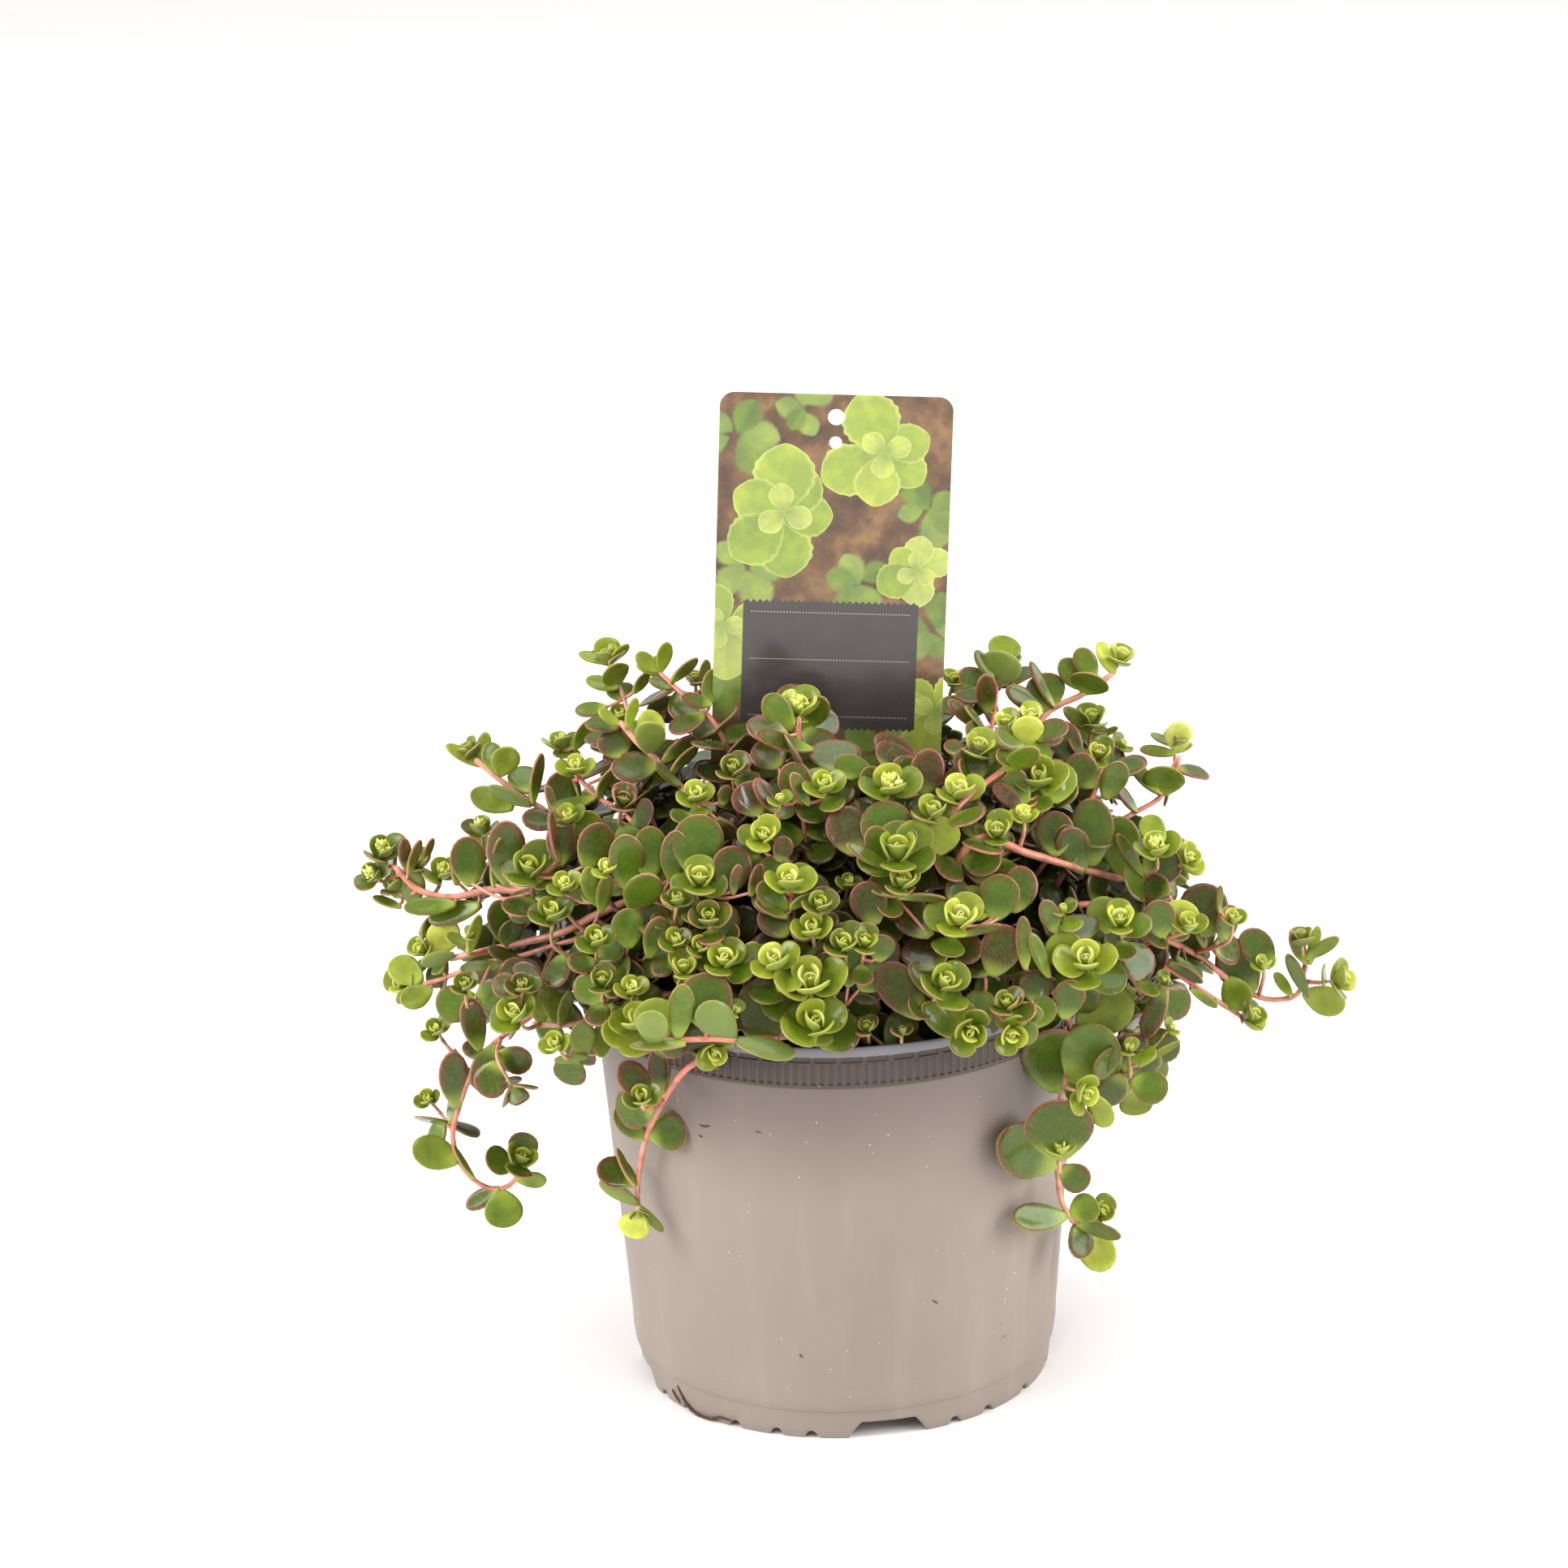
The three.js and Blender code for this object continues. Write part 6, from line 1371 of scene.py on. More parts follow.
        [1332, 847, 1307, 812, 30, 20, 0.55, 3], [1348, 836, 1326, 799, 30, 20, 0.45, 3],
        [1372, 828, 1352, 792, 22, 35, 0.2, 2]]},
    "top_right_b": {"width": 0.7, "red": 0.6, "leafyTo": 0.9,
        "tips": [[1235, 814, 40, 90, 70, 0.3], [1175, 835, 32, 80, 58, 0.15]],
        "stem": [[1205, 985, -36], [1216, 920, -8], [1225, 880, 5], [1228, 842, 12]],
        "leaves": [[1228, 842, 1236, 806, 50, 165, 0.4, -6], [1236, 818, 1238, 785, 42, 20, 0.4, 8],
        [1222, 834, 1201, 803, 18, 40, 0.5], [1217, 876, 1213, 829, 28, 25, 0.95, -3],
        [1200, 857, 1204, 824, 46, 25, 0.75, 8], [1195, 880, 1195, 863, 44, 25, 0.8, 6],
        [1205, 895, 1168, 864, 20, 40, 0.8]]},
    "top_centre": {"width": 0.7, "red": 0.7, "leafyTo": 0.95,
        "tips": [[985, 868, 58, 90, 50, 0.1]],
        "stem": [[990, 1010, -48], [986, 940, -34], [984, 905, -30], [985, 884, -28]],
        "leaves": [[975, 897, 941, 856, 36, 20, 0.45], [992, 897, 1016, 857, 34, 20, 0.45],
        [968, 907, 921, 892, 34, 35, 0.8, 6], [1000, 905, 1029, 882, 42, 25, 0.6, 8],
        [998, 924, 930, 906, 24, 55, 0.7, -6], [985, 880, 972, 845, 44, 40, 0.7, 10]]},
    "top_centre_b": {"tips": [[1016, 965, 46, 95, 42, 0.15], [961, 983, 28, 90, 42, 0.15]],
        "leaves": [[985, 987, 974, 939, 42, 15, 0.7, 5], [995, 990, 975, 954, 20, 40, 0.6, -3],
        [1045, 958, 1050, 930, 44, 20, 0.5, 4], [1030, 950, 1025, 913, 64, 15, 0.75, 10],
        [960, 945, 935, 915, 46, 15, 0.95, 10]]},
    "top_centre_right": {"tips": [[1097, 964, 62, 90, 45, 0.2]],
        "leaves": [[1095, 940, 1105, 908, 54, 20, 1, 12], [1095, 950, 1110, 920, 58, 20, 1, 8],
        [1138, 978, 1146, 922, 42, 15, 1, 5], [1080, 975, 1066, 945, 30, 25, 0.6, 2],
        [1115, 965, 1120, 932, 40, 25, 0.7, 6]]},
    "upper_front_big": {"tips": [[1106, 1045, 66, 90, 45, 0.2], [1150, 997, 52, 90, 52, 0.2]],
        "leaves": [[1102, 1052, 1082, 988, 62, 10, 0.6, 8], [1114, 1060, 1138, 1011, 46, 15, 0.4, 4],
        [1098, 1064, 1070, 1019, 36, 20, 0.5, 2], [1100, 1072, 1042, 1043, 18, 50, 0.5, -3],
        [1150, 1052, 1165, 1006, 50, 12, 0.3, 4], [1055, 1052, 1038, 994, 56, 15, 0.95, 10]]},
    "upper_right_mid": {"tips": [[1183, 972, 54, 85, 52, 0.1], [1207, 918, 52, 75, 52, 0.15]],
        "leaves": [[1205, 960, 1188, 920, 46, 20, 0.9, 6], [1165, 985, 1125, 985, 30, 40, 0.5, 4],
        [1180, 930, 1168, 910, 24, 35, 0.8, 6]]},
    "upper_right_c": {"bare": (1203, 935, 1247, 970), "red": 0.55, "leafyTo": 0.8,
        "tips": [[1271, 880, 38, 85, 42, 0.05], [1240, 888, 38, 100, 48, 0.15]],
        "stem": [[1170, 1010, -56], [1210, 968, -44], [1237, 948, -38], [1258, 925, -33], [1268, 900, -30]],
        "leaves": [[1263, 918, 1222, 903, 28, 45, 0.5, -6], [1236, 949, 1281, 919, 28, 40, 0.5, -6],
        [1326, 938, 1296, 891, 46, 12, 0.9, 6], [1305, 945, 1275, 917, 32, 35, 0.9, 3],
        [1263, 916, 1270, 878, 38, 12, 0.15, -5], [1252, 932, 1226, 936, 26, 35, 0.5, -6]]},
    "right_face": {"tips": [[1280, 955, 60, 95, 40, 0.15], [1229, 1022, 46, 95, 40, 0.15]],
        "leaves": [[1264, 987, 1239, 948, 36, 25, 0.55, 2], [1298, 987, 1302, 938, 52, 15, 0.4, 8],
        [1262, 998, 1223, 968, 24, 45, 0.95], [1230, 1050, 1200, 1020, 14, 60, 0.5]]},
    "right_face_b": {"bare": (1340, 950, 1362, 990), "red": 0.6, "leafyTo": 0.8,
        "tips": [[1355, 927, 42, 95, 36, 0.15], [1345, 882, 46, 85, 58, 0.2, 8],
        [1384, 915, 26, 60, 48, 0.15]],
        "stem": [[1320, 1060, -25], [1345, 985, -14], [1358, 952, -12]],
        "leaves": [[1352, 967, 1315, 934, 44, 15, 0.8, 2], [1362, 982, 1382, 936, 34, 25, 0.45],
        [1338, 928, 1338, 888, 56, 15, 0.6, 8], [1345, 900, 1309, 873, 20, 45, 0.5, 4],
        [1360, 905, 1377, 895, 10, 50, 0.5]]},
    "right_big": {"tips": [[1380, 1130, 48, 85, 38, 0.1], [1338, 1180, 62, 95, 36, 0.1],
        [1310, 1118, 28, 90, 42, 0.15, 6]],
        "leaves": [[1366, 1147, 1352, 1106, 42, 20, 0.4, 6], [1325, 1162, 1315, 1130, 68, 20, 0.7, 10],
        [1318, 1192, 1303, 1148, 48, 20, 0.35, 4], [1291, 1202, 1268, 1151, 20, 40, 0.5],
        [1263, 1192, 1258, 1129, 22, 35, 0.6, 2], [1222, 1200, 1242, 1139, 50, 15, 0.95, 5],
        [1300, 1147, 1284, 1108, 26, 25, 0.65, -1], [1312, 1252, 1320, 1204, 40, 20, 0.65, -2]]},
    "right_mid_b": {"tips": [[1465, 1138, 38, 80, 48, 0.15]],
        "leaves": [[1432, 1152, 1424, 1107, 40, 15, 0.6], [1450, 1152, 1458, 1108, 46, 15, 0.25, 4],
        [1450, 1147, 1424, 1121, 12, 55, 0.4], [1440, 1100, 1410, 1090, 36, 20, 0.75, 8]]},
    "centre": {"tips": [[972, 1083, 52, 85, 45, 0.1]],
        "leaves": [[968, 1120, 932, 1089, 32, 30, 0.55], [982, 1095, 993, 1064, 36, 20, 0.4, 4],
        [968, 1130, 930, 1112, 16, 55, 0.6], [968, 1152, 940, 1118, 42, 25, 0.9, 5],
        [975, 1118, 1000, 1101, 16, 55, 0.5, -3]]},
    "centre_b": {"tips": [[1113, 1084, 46, 80, 45, 0.2]],
        "leaves": [[1108, 1104, 1075, 1100, 10, 70, 0.5, -3], [1108, 1105, 1166, 1104, 13, 65, 0.5],
        [1145, 1152, 1108, 1112, 46, 20, 0.95, 10], [1090, 1100, 1080, 1075, 30, 25, 0.6, 3]]},
    "centre_right": {"tips": [[1183, 1128, 60, 90, 40, 0.05]],
        "leaves": [[1202, 1132, 1203, 1092, 52, 15, 0.35, 8], [1225, 1132, 1235, 1076, 50, 12, 0.55, 4],
        [1248, 1122, 1262, 1068, 44, 15, 0.75, 8], [1215, 1090, 1213, 1061, 56, 20, 0.85, 12],
        [1186, 1152, 1232, 1137, 13, 60, 0.5, -3], [1172, 1110, 1182, 1083, 28, 25, 0.6, 6]]},
    "left_centre": {"tips": [[862, 1080, 52, 90, 38, 0.15], [834, 1106, 36, 90, 48, 0.3],
        [873, 1128, 46, 100, 42, 0.4]],
        "leaves": [[897, 1098, 905, 1042, 48, 12, 0.75, 6], [903, 1100, 909, 1066, 16, 45, 0.75],
        [925, 1102, 937, 1063, 18, 45, 0.85, 3], [878, 1155, 900, 1115, 44, 20, 0.6, 6]]},
    "left_centre_b": {"tips": [[833, 1157, 36, 90, 36, 0.25], [864, 1165, 34, 80, 36, 0.2],
        [842, 1190, 42, 80, 40, 0.1], [893, 1180, 52, 95, 38, 0.15]],
        "leaves": [[915, 1195, 930, 1158, 28, 30, 0.4]]},
    "left_centre_c": {"tips": [[748, 1068, 34, 90, 42, 0], [735, 1155, 44, 95, 40, 0.2]],
        "leaves": [[775, 1094, 768, 1025, 44, 8, 0.5], [800, 1082, 800, 1017, 42, 15, 0.5, 6],
        [828, 1084, 833, 1021, 34, 12, 0.6, 2], [858, 1078, 862, 1002, 62, 10, 0.6, 6],
        [780, 1120, 803, 1072, 46, 32, 0.5, -6], [775, 1165, 771, 1117, 42, 10, 0.5],
        [805, 1155, 806, 1112, 46, 15, 0.9, 8], [800, 1177, 815, 1127, 30, 15, 0.55]]},
    "left_centre_d": {"tips": [[742, 1207, 42, 95, 40, 0.35], [779, 1216, 38, 90, 40, 0.1],
        [680, 1122, 48, 95, 48, 0.25], [695, 1088, 38, 100, 42, 0.15]],
        "leaves": [[735, 1113, 722, 1066, 26, 15, 0.4], [740, 1122, 748, 1075, 20, 25, 0.5],
        [790, 1240, 810, 1215, 30, 30, 0.5, 3]]},
    "upper_dark": {"tips": [[857, 977, 42, 90, 40, 0.1], [903, 945, 42, 95, 42, 0.4],
        [941, 1027, 42, 80, 30, 0.1]],
        "leaves": [[935, 1003, 914, 965, 46, 15, 1, 5], [957, 1000, 930, 961, 24, 40, 0.9],
        [885, 1010, 905, 1040, 30, 40, 0.95, 3], [890, 990, 895, 968, 20, 50, 0.6],
        [960, 1060, 968, 1030, 26, 30, 0.9, 4]]},
}


# How a shoot runs from the soil to what the picture shows of it, lengths in mm
growthLook = {
    "rootShare": 0.42,  # how far out its root stands, as a share of how far out its rosettes are
    "pickedRootShare": 0.6,  # the same where the picture shows its stem
    "rootLimit": 68.0,
    "rootLift": 6.0,
    "crownReach": 78,  # from the pot's middle, where the soil's crown ends
    "riseShare": 0.15,
    "forkShare": 0.62,
    "forkBack": 12.0,
    "rimMargin": 5.0,
    "rimRise": 14.0,
    "rimLift": 4.0,
    "branchBend": 0.35,
    "leastBranch": 2.5,
    "pairLengths": (8.5, 15.0),  # under a rosette
    "hiddenPairLengths": (11, 16),
    "pairEvery": 5.5,  # between the places where a stem may carry a pair of old leaves
    "oldLeaf": 13.5,
    "leafRoom": 6.2,  # from the middle of one leaf to the next
    "pairRoom": 5.2,
    "labelRoom": 4,
    "potReach": 92,  # where no old leaf dips under the lip
    "potClear": 5,
}


def onSoil(point):
    crown = soilLook["crown"] * min(1.0, reachOf(point) / growthLook["crownReach"])
    return flat(point) + [0, 0, soilLook["top"] - crown]


def rootUnder(point, share):
    root = flat(point) * share
    reach = reachOf(root)
    return onSoil(root * min(1.0, growthLook["rootLimit"] / reach) if reach else root)


def mainFrom(root, points):
    look, top = growthLook, potLook["rimTop"]
    lifted = root + np.array([0, 0, look["rootLift"]])
    first = points[0]
    inside = potLook["rimRadius"] - look["rimMargin"]
    if reachOf(first) < inside or first[2] > top + look["rimRise"]:
        return [root, lifted, *points]
    over = flat(first) * (inside / reachOf(first))
    over[2] = top + look["rimLift"] + min(max(first[2] - top, 0), look["rimRise"] / 2)
    return [root, lifted, over, *points]


def riseBetween(root, end):
    return (root + end) / 2 + [0, 0, growthLook["riseShare"] * np.linalg.norm(end - root)]


def rosetteFoot(tip):
    return tip["middle"] - tip["axis"] * tip["radius"] * rosetteLook["depth"]


def layMain(tips, picked):
    look = growthLook
    if picked:
        points = [atDepth(*row) for row in picked]
        return mainFrom(rootUnder(points[0], look["pickedRootShare"]), points)
    middle = np.mean([tip["middle"] for tip in tips], axis=0)
    root = rootUnder(middle, look["rootShare"])
    outside = reachOf(middle) > potLook["rimRadius"]
    if len(tips) == 1:
        foot = rosetteFoot(tips[0])
        return mainFrom(root, [foot] if outside else [riseBetween(root, foot), foot])
    if outside and middle[2] < potLook["rimTop"] + look["rimRise"]:
        reach = max(reachOf(middle) - look["forkBack"], potLook["rimRadius"] + look["rimMargin"])
        fork = flat(middle) * (reach / reachOf(middle))
        fork[2] = max(middle[2], potLook["rimTop"] - look["forkBack"])
        return mainFrom(root, [fork])
    fork = root + (middle - root) * look["forkShare"]
    return mainFrom(root, [riseBetween(root, fork), fork])


def nearest(places, point):
    return places[np.argmin(np.linalg.norm(places - point, axis=1))]


# Leaves placed on the picture: where the stem isn't shown, their feet are set under the mound's face
pickedLook = {
    "setBack": 9.0,  # mm
    "depthWeight": 0.7,
    "turnShare": 0.6,
    "edgeOn": (30, 26),  # turned more than this and narrower than this, a leaf stands before its stem
    "stalkOver": 2.2,  # mm from the stem, over which a leaf has a stalk
    "stalkBend": 0.12,
    "stalkWidth": 0.8,
    "overlap": 0.8,
    "thick": 1.1,
}


def addPickedLeaf(leaves, stems, places, onStem, draw, u, v, tipU, tipV, width, turn, age, depth=0):
    look, perMm = pickedLook, cameraLook["pixelsPerMm"]
    foot = onMound(u, v, look["setBack"])
    miss = np.linalg.norm(toPixel(places) - (u, v), axis=1) / perMm
    if not onStem:
        miss = np.hypot(miss, (places[:, 1] - foot[1]) * look["depthWeight"])
    start = places[np.argmin(miss)]
    if onStem:
        foot = atDepth(u, v, start[1])
    tip = atDepth(tipU, tipV, foot[1] + depth)
    along = unit(tip - foot)
    swing = turn * look["turnShare"] if turn < 90 else 180 - (180 - turn) * look["turnShare"]
    face = turned(unit(eye - foot), along, math.radians(swing))
    length = np.linalg.norm(tip - foot) + look["overlap"]
    if turn > look["edgeOn"][0] and width < look["edgeOn"][1]:
        foot = foot + unit(eye - foot) * look["stalkOver"]
    gap = np.linalg.norm(foot - start)
    base = foot - along * look["overlap"]
    if gap > look["stalkOver"]:
        bend = (start + foot) / 2 - along * look["stalkBend"] * gap
        twig = smoothPath([start, bend, foot + along * 0.6], 3.0)
        radii = [stemLook[key] * look["stalkWidth"] for key in ("branchRadius", "twigRadius")]
        addStem(stems, twig, radii, (0.55, 0.25), draw, 6)
    else:
        base = foot + (start - foot) * 0.4
        length = np.linalg.norm(tip - base)
    old = max(0.0, age - 0.4)  # an old leaf is flatter
    addLeaf(leaves, base, tip - base, face, length, width / perMm, age, draw,
            0.17 - 0.1 * old, 0.22 - 0.25 * old, 2, look["thick"])


# Room: a leaf placed by rule keeps off the others, and off what the picture shows bare
shownStems = {"pixels": np.zeros((0, 2)), "depths": np.zeros(0)}
bareFront = [(900, 1255, 1288), (835, 1290, 1340)]  # left, right and top of the bare lip and wall


def showStem(path, box=(0, 0, cameraLook["frame"], cameraLook["frame"])):
    u, v = toPixel(path).T
    path = path[(u > box[0]) & (v > box[1]) & (u < box[2]) & (v < box[3])]
    shownStems["pixels"] = np.concatenate([shownStems["pixels"], toPixel(path)])
    shownStems["depths"] = np.concatenate([shownStems["depths"], (path - eye) @ viewRows[2]])


def hangsLow(tip):
    u, v = toPixel(tip)
    return tip[1] < -40 and any(left < u < right and v > top for left, right, top in bareFront)


def coversStem(point, size):
    gaps = np.linalg.norm(shownStems["pixels"] - toPixel(point), axis=1)
    before = (point - eye) @ viewRows[2] < shownStems["depths"] - 1
    return bool(np.any((gaps < size * 0.5 * cameraLook["pixelsPerMm"]) & before))


def isFree(foot, reach, room):
    middle, tip = foot + reach * bladeLook["middle"], foot + reach
    gaps = np.array(leafMiddles[-6000:]) - middle
    if np.min(np.einsum("ij,ij->i", gaps, gaps)) <= room * room or hangsLow(tip):
        return False
    return not coversStem(middle, np.linalg.norm(reach))


def toLight(point):
    # the way that an old leaf turns its upper side: out of the mound and up
    out = (point - mound["middle"]) / mound["radii"] ** 2
    return unit(unit(out) + np.array([0, -0.5 if point[1] < 25 else 0.2, 0.25]))


def fromLabel(point):
    return abs(point[1] - labelLook["y"]) if abs(point[0] - 1) < 44 else 99.0


def fillRun(leaves, run, draw):
    # pairs of older leaves wherever a stem has room for them
    look = growthLook
    path, place, stop, hidden = run
    gone = runOf(path)
    turn = draw.uniform(0, 3)
    while place < gone[-1] - stop:
        i = min(max(1, int(np.searchsorted(gone, place))), len(path) - 1)
        axis = unit(path[i] - path[i - 1])
        side = turned(sideOf(axis), axis, turn)
        for sign in (1, -1):
            length = look["oldLeaf"] * draw.uniform(0.85, 1.15)
            a = math.radians(draw.uniform(66, 96))
            swing = side * sign
            along = axis * math.cos(a) + swing * math.sin(a)
            middle, tip = path[i] + along * length * bladeLook["middle"], path[i] + along * length
            age = draw.uniform(0.48, 0.86)
            inPot = reachOf(tip) < look["potReach"] and tip[2] < soilLook["top"] + look["potClear"]
            if inPot or fromLabel(middle) <= look["labelRoom"]:
                continue
            if not isFree(path[i], along * length, look["leafRoom"]):
                continue
            face = (axis * math.sin(a) - swing * math.cos(a)) * 0.3 + toLight(middle)
            addLeaf(leaves, path[i] + swing * 0.5, along, face, length, length * draw.uniform(0.86, 1.0), age,
                    draw, draw.uniform(0.08, 0.2), draw.uniform(-0.1, 0.3), 0 if hidden else 1)
        turn += math.pi / 2
        place += look["pairEvery"] * draw.uniform(0.8, 1.2)


shoots = []


def growShoot(name, tips, seed, shown={}, hidden=False):
    draw = np.random.RandomState(seed)
    leaves, stems = newGathering(), newGathering()
    look, spacing, thin = growthLook, stemLook["spacing"], stemLook["branchRadius"]
    picked = shown.get("stem")
    main = smoothPath(layMain(tips, picked), spacing)
    single = len(tips) == 1 and not picked
    width = shown.get("width", 0.95)
    addStem(stems, main, (stemLook["mainRadius"] * width, thin * (0.45 + 0.8 * width)),
            (0.62 if picked else 0.95, shown.get("red", 0.32)), draw,
            blunt="blunt" in shown, paintedShade=0.45 if picked else 1.0)
    places = main[2:]
    branches = []
    for tip in tips:
        foot = rosetteFoot(tip)
        start = nearest(main[2:], foot - tip["axis"] * 6)
        reach = np.linalg.norm(foot - start)
        if single or reach < look["leastBranch"]:
            branches.append(main)
            continue
        path = smoothPath([start, foot - tip["axis"] * look["branchBend"] * reach, foot], spacing)
        branches.append(path)
        addStem(stems, path, (thin * 1.1, thin * 0.75), (0.6, 0.1), draw)
        places = np.concatenate([places, path])
    for row in shown.get("leaves", []):
        addPickedLeaf(leaves, stems, places, bool(picked), draw, *row)
    for tip, path in zip(tips, branches):
        foot, axis, radius = rosetteFoot(tip), tip["axis"], tip["radius"]
        phase = draw.uniform(0, math.pi / 2)
        addRosette(leaves, foot, axis, radius, tip["age"], phase, draw, 1 if hidden else 2, tip.get("buds"))
        gone = runOf(path)
        for k, drop in enumerate(rosetteLook["pairDrops"][:1 if picked else 2]):
            if gone[-1] < drop + 2:
                break
            j = int(np.searchsorted(gone, gone[-1] - drop))
            least, most = look["pairLengths"]
            size = min(most, max(least, radius * (1.45 + 0.15 * k))) * draw.uniform(0.85, 1.1)
            if hidden:
                size = draw.uniform(*look["hiddenPairLengths"])
            at = path[j] if path is not main or single else foot - axis * drop * 0.6
            addPair(leaves, at, unit(axis + unit(path[j] - path[j - 1]) * 0.4), phase + (k + 1) * math.pi / 2,
                    74 + 8 * k, size, 0.97, min(1, tip["age"] + 0.28 + 0.12 * k), draw, 0.18, 0.25, 1, 9,
                    look["pairRoom"])
    leafy = main[:int(len(main) * shown.get("leafyTo", 0.5))] if picked else main
    runs = [(leafy, 6, 4, hidden)] + [(path, 3, 10, hidden) for path in branches if path is not main]
    shoots.append({"name": name, "leaves": leaves, "stems": stems, "runs": runs, "draw": draw})


# rosettes with flower buds in their middle
budPixels = [(472, 1040), (458, 1076), (545, 1072), (690, 1095), (748, 1068), (985, 868), (1097, 962),
             (1425, 1042), (580, 1022)]


def frontTips(rows):
    tips = []
    for u, v, width, lean, tilt, age, *back in rows:
        middle = onMound(u, v, *back)
        axis = screenDirection(middle, math.radians(lean), math.radians(tilt))
        buds = min(math.hypot(u - x, v - y) for x, y in budPixels) < 16
        radius = width / 2 / cameraLook["pixelsPerMm"]
        tips.append({"middle": middle, "axis": axis, "radius": radius, "age": age, "buds": buds})
    return tips


# The shoots of the far side: turn round the pot and height over the rim, in degrees
backShoots = {
    "back_low_1": (12, 6), "back_low_2": (50, 8), "back_low_3": (90, 6), "back_low_4": (130, 8),
    "back_low_5": (168, 6), "back_middle_1": (30, 32), "back_middle_2": (70, 34), "back_middle_3": (110, 32),
    "back_middle_4": (150, 34), "back_top_1": (48, 58), "back_top_2": (90, 60), "back_top_3": (132, 58),
}
backTips = {"around": 4, "spacing": 23, "unevenness": 6, "lift": 0.5, "width": 15}
sideTips = {  # more rosettes at the two sides
    "back_middle_1": [[4, 24], [-8, 34], [2, 50]], "back_middle_4": [[176, 26], [188, 36], [178, 52]],
}
backTrail = {"turn": 72, "tip": 6, "way": [[60, 168], [92, 158], [96, 128], [100, 104], [96, 82]]}


def makeRandom(state):
    # the plain generator that the CAD model lays these shoots out with
    while True:
        state = (state * 1664525 + 1013904223) % 4294967296
        yield state / 4294967296


def outward(turn, height):
    a, h = math.radians(turn), math.radians(height)
    return np.array([math.cos(a) * math.cos(h), math.sin(a) * math.cos(h), math.sin(h)])


def backTipsOf(turn, height, seed):
    draw, ages = makeRandom(seed), np.random.RandomState(seed)
    out = outward(turn, height)
    middle = out * mound["backRadii"] + mound["middle"]
    side = unit(np.cross([0, 0, 1.0], out))
    up = np.cross(out, side)
    tips = []
    around = backTips["around"]
    for i in range(around + 1):
        angle = 2 * math.pi * (i + 0.6 * next(draw)) / around
        reach = 0 if i == around else backTips["spacing"] * (0.85 + 0.3 * next(draw))
        place = middle + side * reach * math.cos(angle) + up * reach * math.sin(angle)
        place = place - out * backTips["unevenness"] * next(draw)
        axis = out + side * 0.5 * (next(draw) - 0.5)
        axis[2] += backTips["lift"]
        radius = backTips["width"] * (0.35 + 0.3 * next(draw))
        tips.append({"middle": place, "axis": unit(axis), "radius": radius, "age": ages.uniform(0.1, 0.42)})
    return tips


def sideTipsOf(name):
    ways = [outward(*place) for place in sideTips.get(name, [])]
    return [{"middle": way * mound["backRadii"] * 0.97 + mound["middle"], "axis": unit(way + [0, 0, 0.4]),
             "radius": 7.5, "age": 0.3} for way in ways]


def makeShootPieces(name, leaves, stems):
    makePiece("leaves_" + name, leaves, leafFinish, ["shoot_" + name])
    makePiece("stem_" + name, stems, stemFinish, ["shoot_" + name])


def growBackTrail():
    turn = math.radians(backTrail["turn"])
    ring = np.array([math.cos(turn), math.sin(turn)])
    points = [np.array([*(ring * reach), height]) for reach, height in backTrail["way"]]
    axis = unit([*ring, 0.4])
    tip = {"middle": points[-1] + axis * 9, "axis": axis, "radius": backTrail["tip"], "age": 0.2}
    draw = np.random.RandomState(71)
    leaves, stems = newGathering(), newGathering()
    root = rootUnder(points[0], growthLook["pickedRootShare"])
    main = smoothPath(mainFrom(root, points), stemLook["spacing"])
    addStem(stems, main, (1.7, 1.1), (0.7, 0.35), draw)
    foot = rosetteFoot(tip)
    addStem(stems, smoothPath([main[-1], foot - axis * 2, foot], 2.0), (1.1, 0.9), (0.4, 0.2), draw)
    addRosette(leaves, foot, axis, tip["radius"], tip["age"], 0.4, draw)
    for i, point in enumerate(points[1:]):
        at = nearest(main, point)
        addPair(leaves, at, np.array([0, 0, -1.0]), i * 1.5, 62, 15, 0.88, 0.45, draw, 0.12, -0.1, 1)
    makeShootPieces("back_trail", leaves, stems)


for name, rows in frontShoots.items():
    for tip in frontTips(rows["tips"]):
        showStem(np.array([tip["middle"]]))
    if "bare" in rows:
        showStem(smoothPath([atDepth(*row) for row in rows["stem"]], 2.0), rows["bare"])
for number, (name, rows) in enumerate(frontShoots.items()):
    growShoot(name, frontTips(rows["tips"]), 11 + number, rows)
for number, (name, place) in enumerate(backShoots.items()):
    growShoot(name, backTipsOf(*place, 100 + number) + sideTipsOf(name), 300 + number, hidden=True)
growBackTrail()
for shoot in shoots:
    for run in shoot["runs"]:
        fillRun(shoot["leaves"], run, shoot["draw"])
    makeShootPieces(shoot["name"], shoot["leaves"], shoot["stems"])


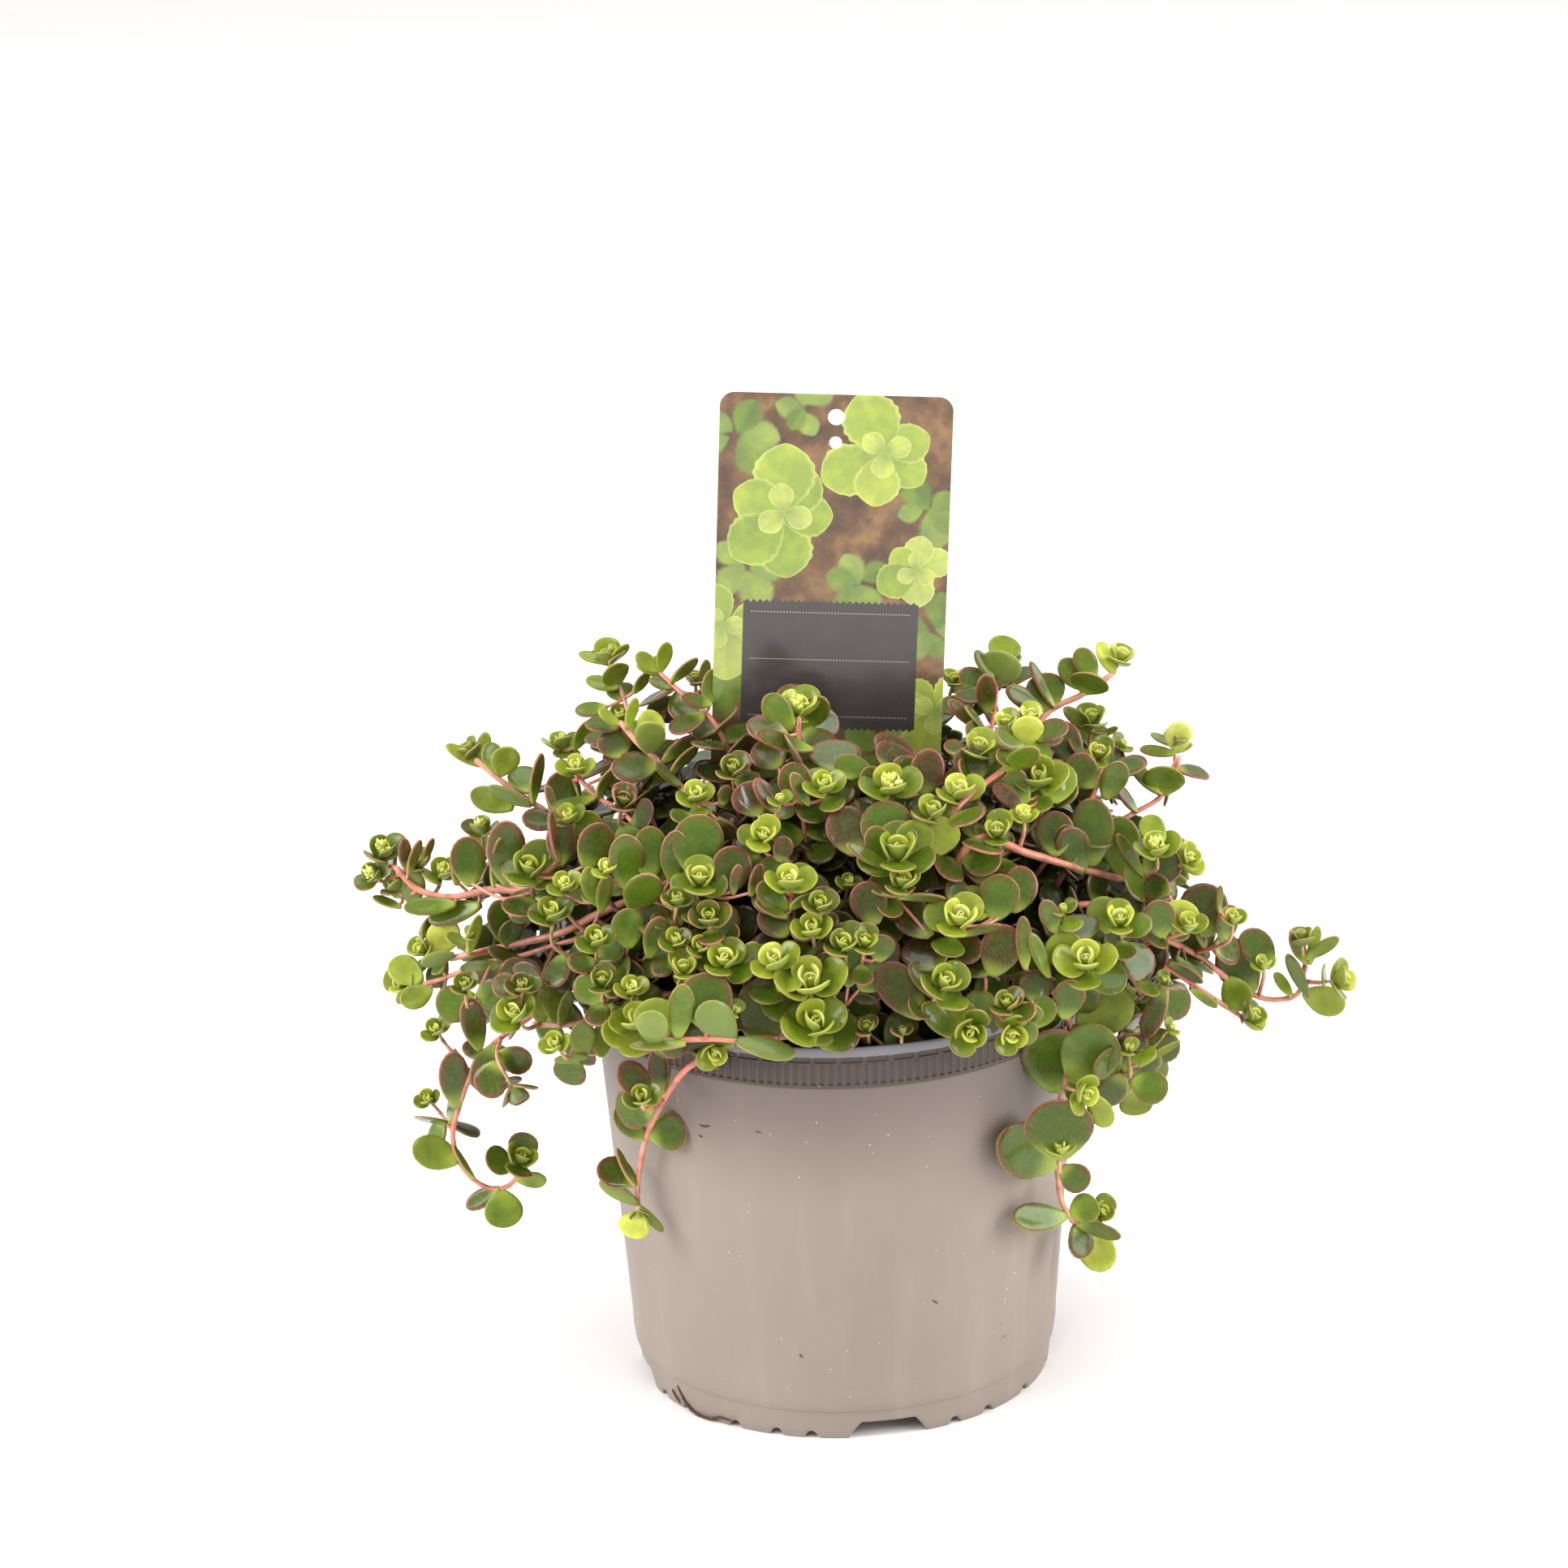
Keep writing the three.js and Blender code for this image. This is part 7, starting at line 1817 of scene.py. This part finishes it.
def makeDropFinish():
    f = Finish("waterDrops")
    f.set(Base_Color=(1.0, 1.0, 1.0, 1.0), Roughness=0.03, IOR=1.33, Transmission_Weight=1.0)
    f.set(Normal=f.bump(f.noise(900, 1, 0.5), 0.05, 0.0001))
    return f.material


makePiece("water_drops", drops, makeDropFinish())
print("shoots grown:", leafCount)


# A pale floor and soft light all round
stageLook = {
    "floor": "f4f2f2", "floorReach": 12.0, "around": 0.82, "aroundTone": (1.0, 0.985, 0.98, 1.0),
    "lights": {  # place and size in metres, power in watts
        "leftBox": ((-1.9, -0.6, 1.0), 1.3, 48.0),
        "rightBox": ((1.9, -0.5, 0.9), 1.3, 43.2),
        "topBox": ((0.0, -0.2, 2.1), 1.4, 26.0),
        "frontBox": ((-0.5, -2.6, 2.1), 0.2, 6.0),
        "sparkBox": ((0.8, -2.4, 2.3), 0.16, 3.6),
    },
}


def makeStage():
    look = stageLook
    mesh = bpy.data.meshes.new("floor")
    reach = look["floorReach"]
    corners = [(x * reach, y * reach, 0) for x, y in ((-1, -1), (1, -1), (1, 1), (-1, 1))]
    mesh.from_pydata(corners, [], [(0, 1, 2, 3)])
    floor = bpy.data.objects.new("floor", mesh)
    bpy.context.scene.collection.objects.link(floor)
    f = Finish("paleFloor")
    f.set(Base_Color=look["floor"], Roughness=0.9, Specular_IOR_Level=0.1)
    mesh.materials.append(f.material)
    world = bpy.data.worlds.new("softRoom")
    world.use_nodes = True
    sky = world.node_tree.nodes["Background"]
    f.give(sky, Color=look["aroundTone"], Strength=look["around"])
    bpy.context.scene.world = world
    middle = Vector(potMiddle) + Vector((0, 0, 0.16))
    for name, (place, size, power) in look["lights"].items():
        data = bpy.data.lights.new(name, "AREA")
        data.shape, data.size, data.energy = "SQUARE", size, power
        lamp = bpy.data.objects.new(name, data)
        bpy.context.scene.collection.objects.link(lamp)
        turn = (middle - Vector(place)).to_track_quat("-Z", "Y").to_matrix().to_4x4()
        lamp.matrix_world = Matrix.Translation(place) @ turn
    view = bpy.context.scene.view_settings
    view.view_transform, view.look, view.exposure, view.gamma = "Standard", "None", 0.0, 1.0


makeStage()
print("stage lit")
